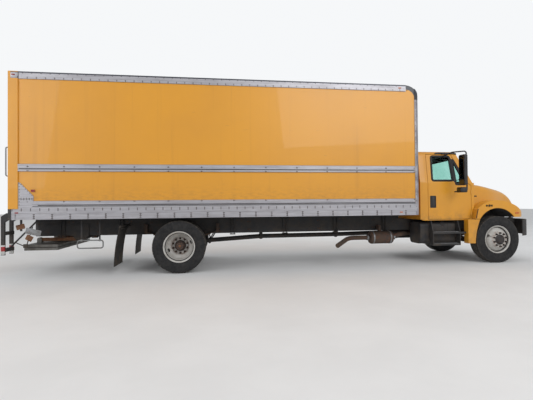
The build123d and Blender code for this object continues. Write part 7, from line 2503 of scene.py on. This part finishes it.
@dataclass
class EngineBay(Assembly):
    """What stands round the engine block under the hood."""

    front_x: float = 4.94
    top_z: float = 1.3
    fan_z: float = 0.97
    cleaner_axis: Pair = (-0.42, 1.18)  # (y, z) of the air cleaner

    def covers(self) -> list[Skin]:
        """The ribbed valve cover with its bolts and oil cap."""
        parts = [block((4.2, -0.15, self.top_z - 0.004), (4.88, 0.15, self.top_z + 0.1), 0.03)]
        rib = block((-0.008, -0.14, 0.0), (0.008, 0.14, 0.012), 0.004)
        places = [(x, 0.0, self.top_z + 0.096) for x in np.linspace(4.28, 4.8, 9)]
        parts.append(scattered(rib, np.array(places)))
        edge = [
            (x, side * 0.165, self.top_z + 0.002) for x in np.linspace(4.24, 4.84, 6) for side in (-1, 1)
        ]
        parts.append(scattered(bolt(0.009, 0.012).turned(TO_TOP), np.array(edge)))
        cap = capped([(0.034, 0.0), (0.034, 0.03), (0.028, 0.036)], 24)
        parts.append(cap.turned(TO_TOP).moved(4.72, 0.06, self.top_z + 0.1))
        return parts

    def fan(self) -> list[Skin]:
        """Eight twisted blades round a hub, and the shroud's ring on the radiator.

        Blade point (r, s) lies at radius r and turns out of the fan's plane by s times its pitch.
        """
        r, s = np.meshgrid(np.linspace(0.06, 0.25, 8), np.linspace(-1, 1, 5), indexing="ij")
        chord = 0.032 + 0.02 * (r - 0.06) / 0.19
        face = np.stack([r, 0.014 * s, chord * s], -1)
        blade = shell(face, (0.0, 0.003, 0.0))
        blades = ring(8, 0.0, 0.0, blade)
        hub = capped([(0.07, -0.02), (0.07, 0.012), (0.04, 0.02)], 32)
        return [joined([blades, hub]).turned(TO_FRONT).moved(4.972, 0.0, self.fan_z)]

    def air(self) -> list[Skin]:
        """The air cleaner's canister, its bands and its hose to the engine."""
        body = capped(
            [(0.06, 0.0), (0.078, 0.02), (0.082, 0.03), (0.082, 0.42), (0.078, 0.43), (0.05, 0.46)], 36
        )
        hoop = band(0.0815, 0.02, 0.003)
        parts = [body.turned(TO_FRONT).moved(4.2, *self.cleaner_axis)]
        parts += [hoop.turned(TO_FRONT).moved(x, *self.cleaner_axis) for x in (4.28, 4.56)]
        parts += [block((x - 0.02, -0.36, 1.1), (x + 0.02, -0.29, 1.2), 0.006) for x in (4.28, 4.56)]
        hose = rounded_run(
            [
                (4.22, -0.42, 1.18), (4.08, -0.42, 1.2), (4.07, -0.3, 1.36), (4.16, -0.2, 1.36),
                (4.24, -0.12, 1.36),
            ],
            0.07, 8,
        )
        parts.append(carried(hose, circle(0.04, 18), (0.2, 1, 0.35)))
        return parts

    def hoses(self) -> list[Skin]:
        """The two coolant hoses and the charge pipe."""
        upper = rounded_run(
            [(4.86, 0.2, 1.32), (4.93, 0.22, 1.36), (5.0, 0.24, 1.36), (5.06, 0.24, 1.27)], 0.05, 8
        )
        lower = rounded_run([(4.9, -0.31, 0.8), (4.97, -0.34, 0.74), (5.05, -0.3, 0.72)], 0.05, 8)
        charge = rounded_run(
            [(4.3, 0.28, 1.26), (4.38, 0.36, 1.34), (4.8, 0.37, 1.34), (4.98, 0.34, 1.3), (5.06, 0.31, 1.2)],
            0.07, 8,
        )
        return [
            carried(upper, circle(0.026, 16), (0.1, 1, 0.2)),
            carried(lower, circle(0.026, 16), (0.1, 0.3, 1)),
            carried(charge, circle(0.036, 18), (0.15, 1, 0.3)),
        ]

    def drive(self) -> list[Skin]:
        """Pulleys, belt and alternator on the engine's front."""
        spots = ((0.0, self.fan_z, 0.07), (0.0, 0.72, 0.09), (0.3, 1.12, 0.035))
        wheels = []
        for y, z, r in spots:
            groove = r - 0.008
            edge = [(r, 0.0), (r, 0.006), (groove, 0.009), (groove, 0.015), (r, 0.018), (r, 0.022)]
            wheels.append(capped(edge, 28).turned(TO_FRONT).moved(self.front_x - 0.004, y, z))
        corners = [(-0.085, 0.7), (0.085, 0.69), (0.335, 1.11), (0.3, 1.155), (0.0, 1.045), (-0.07, 0.97)]
        path = upright(rounded_loop(corners, 0.06, 8), self.front_x + 0.008)
        belt = carried(path, bar_section(0.006, 0.014, 0.001), (1, 0, 0), loop=True)
        case = capped([(0.06, 0.0), (0.07, 0.015), (0.07, 0.11), (0.06, 0.125)], 28)
        return [*wheels, belt, case.turned(TO_FRONT).moved(4.81, 0.365, 1.12)]

    def manifold(self) -> list[Skin]:
        """The exhaust manifold's log with six short runners, on the engine's right."""
        log_pipe = rod((4.22, -0.34, 0.98), (4.86, -0.34, 0.98), 0.034, 18)
        runner = rod((0.0, -0.335, 0.98), (0.0, -0.296, 1.06), 0.024, 14)
        flange = block((-0.035, -0.31, 1.03), (0.035, -0.298, 1.1), 0.006)
        places = np.array([(x, 0.0, 0.0) for x in np.linspace(4.26, 4.82, 6)])
        return [log_pipe, scattered(runner, places), scattered(flange, places)]

    def tanks(self) -> list[Skin]:
        """The coolant and brake fluid tanks on the bulkhead, with their caps."""
        parts = []
        for low, high in (((3.99, 0.22, 1.42), (4.1, 0.48, 1.6)), ((3.99, -0.1, 1.46), (4.08, 0.06, 1.56))):
            parts.append(block(low, high, 0.02))
            cap = lathe([(0.0, 0.0), (0.026, 0.0), (0.026, 0.018), (0.0, 0.02)], 20).turned(TO_TOP)
            parts.append(cap.moved((low[0] + high[0]) / 2, (low[1] + high[1]) / 2, high[2] - 0.002))
        return parts

    def build(self) -> None:
        """Makes the engine bay's parts."""
        self.add("valve_cover", self.covers(), FRAME_PAINT, "black_paint")
        self.add("cooling_fan", self.fan(), BLACK_PLASTIC, "black_plastic")
        self.add("air_cleaner", self.air(), BLACK_PLASTIC, "black_plastic")
        self.add("engine_hoses", self.hoses(), RUBBER_SEAL, "black_plastic")
        self.add("belt_drive", self.drive(), CAST_IRON, "grey_steel")
        self.add("exhaust_manifold", self.manifold(), RUST_BROWN, "grey_steel")
        self.add("bulkhead_tanks", self.tanks(), ROOF_WHITE, "grey_plastic")


@dataclass
class Studio:
    """The camera of the photograph, a pale floor and soft light."""

    eye: Point = (-1.61246, -8.48465, 1.31543)
    yaw: float = math.radians(-7.5029)
    pitch: float = math.radians(0.6944)
    roll: float = math.radians(-0.4793)
    lens: float = 24.966
    sensor: float = 36.0

    def camera(self) -> None:
        """Places the camera by its yaw from +Y, its pitch and its roll."""
        flat = math.cos(self.pitch)
        forward = Vector((-math.sin(self.yaw) * flat, math.cos(self.yaw) * flat, math.sin(self.pitch)))
        level = Vector((math.cos(self.yaw), math.sin(self.yaw), 0.0))
        over = level.cross(forward)
        right = level * math.cos(self.roll) + over * math.sin(self.roll)
        up = over * math.cos(self.roll) - level * math.sin(self.roll)
        data = bpy.data.cameras.new("photo camera")
        data.lens, data.sensor_width, data.sensor_fit = self.lens, self.sensor, "HORIZONTAL"
        data.clip_end = 200.0
        camera = bpy.data.objects.new("photo camera", data)
        turn = Matrix((right, up, -forward)).transposed().to_4x4()
        camera.matrix_world = Matrix.Translation(self.eye) @ turn
        bpy.context.scene.collection.objects.link(camera)
        bpy.context.scene.camera = camera

    def lamp(
        self, name: str, place: Sequence[float], aim: Sequence[float], size: float, power: float
    ) -> None:
        """Adds one square soft lamp that looks at a point."""
        data = bpy.data.lights.new(name, "AREA")
        data.size, data.energy = size, power
        lamp = bpy.data.objects.new(name, data)
        turn = (Vector(aim) - Vector(place)).to_track_quat("-Z", "Y").to_matrix().to_4x4()
        lamp.matrix_world = Matrix.Translation(place) @ turn
        bpy.context.scene.collection.objects.link(lamp)

    def floor(self) -> None:
        """Lays a wide pale floor at the tyres' feet."""
        reach = 60.0
        mesh = bpy.data.meshes.new("floor")
        corners = [(-reach, -reach, 0), (reach, -reach, 0), (reach, reach, 0), (-reach, reach, 0)]
        mesh.from_pydata(corners, [], [(0, 1, 2, 3)])
        wires = Wiring("pale floor")
        pale = wires.mixed(wires.cloud(0.7, 5.0, 0.3, 0.7), srgb(226, 226, 226), srgb(232, 232, 232))
        mesh.materials.append(wires.finished(pale, 0.9))
        floor = bpy.data.objects.new("floor", mesh)
        bpy.context.scene.collection.objects.link(floor)

    def sky(self) -> None:
        """Lights the scene softly all round and shows a white background to camera and mirrors."""
        world = bpy.data.worlds.new("studio")
        bpy.context.scene.world = world
        world.use_nodes = True
        nodes, links = world.node_tree.nodes, world.node_tree.links
        path = nodes.new("ShaderNodeLightPath")
        seen = nodes.new("ShaderNodeMath")
        seen.operation = "MAXIMUM"
        links.new(path.outputs["Is Camera Ray"], seen.inputs[0])
        links.new(path.outputs["Is Transmission Ray"], seen.inputs[1])
        strength = nodes.new("ShaderNodeMapRange")
        strength.inputs["To Min"].default_value = 0.62
        strength.inputs["To Max"].default_value = 0.95
        links.new(seen.outputs[0], strength.inputs["Value"])
        nodes["Background"].inputs["Color"].default_value = (0.97, 0.985, 1.0, 1.0)
        links.new(strength.outputs["Result"], nodes["Background"].inputs["Strength"])

    def build(self) -> None:
        """Sets up the camera, floor, lamps and world."""
        self.camera()
        self.floor()
        self.sky()
        self.lamp("key lamp", (6.0, -14.0, 9.0), (0.0, 0.0, 1.5), 9.0, 900.0)
        self.lamp("fill lamp", (-12.0, -10.0, 6.0), (-1.0, 0.0, 1.4), 8.0, 420.0)
        self.lamp("back lamp", (3.0, 14.0, 9.0), (0.0, 0.0, 2.0), 9.0, 500.0)
        bpy.context.scene.view_settings.view_transform = "Standard"


def main() -> None:
    """Builds every sub-assembly in order."""
    logging.basicConfig(level=logging.INFO, format="%(message)s")
    finishes = Finishes()
    Studio().build()
    CadDress(finishes).build()
    Wheels(finishes).build()
    BoxHardware(finishes).build()
    CabTrim(finishes).build()
    HoodTrim(finishes).build()
    Underbody(finishes).build()
    CabInterior(finishes).build()
    EngineBay(finishes).build()
    Seats(finishes).build()


if __name__ == "__main__":
    main()
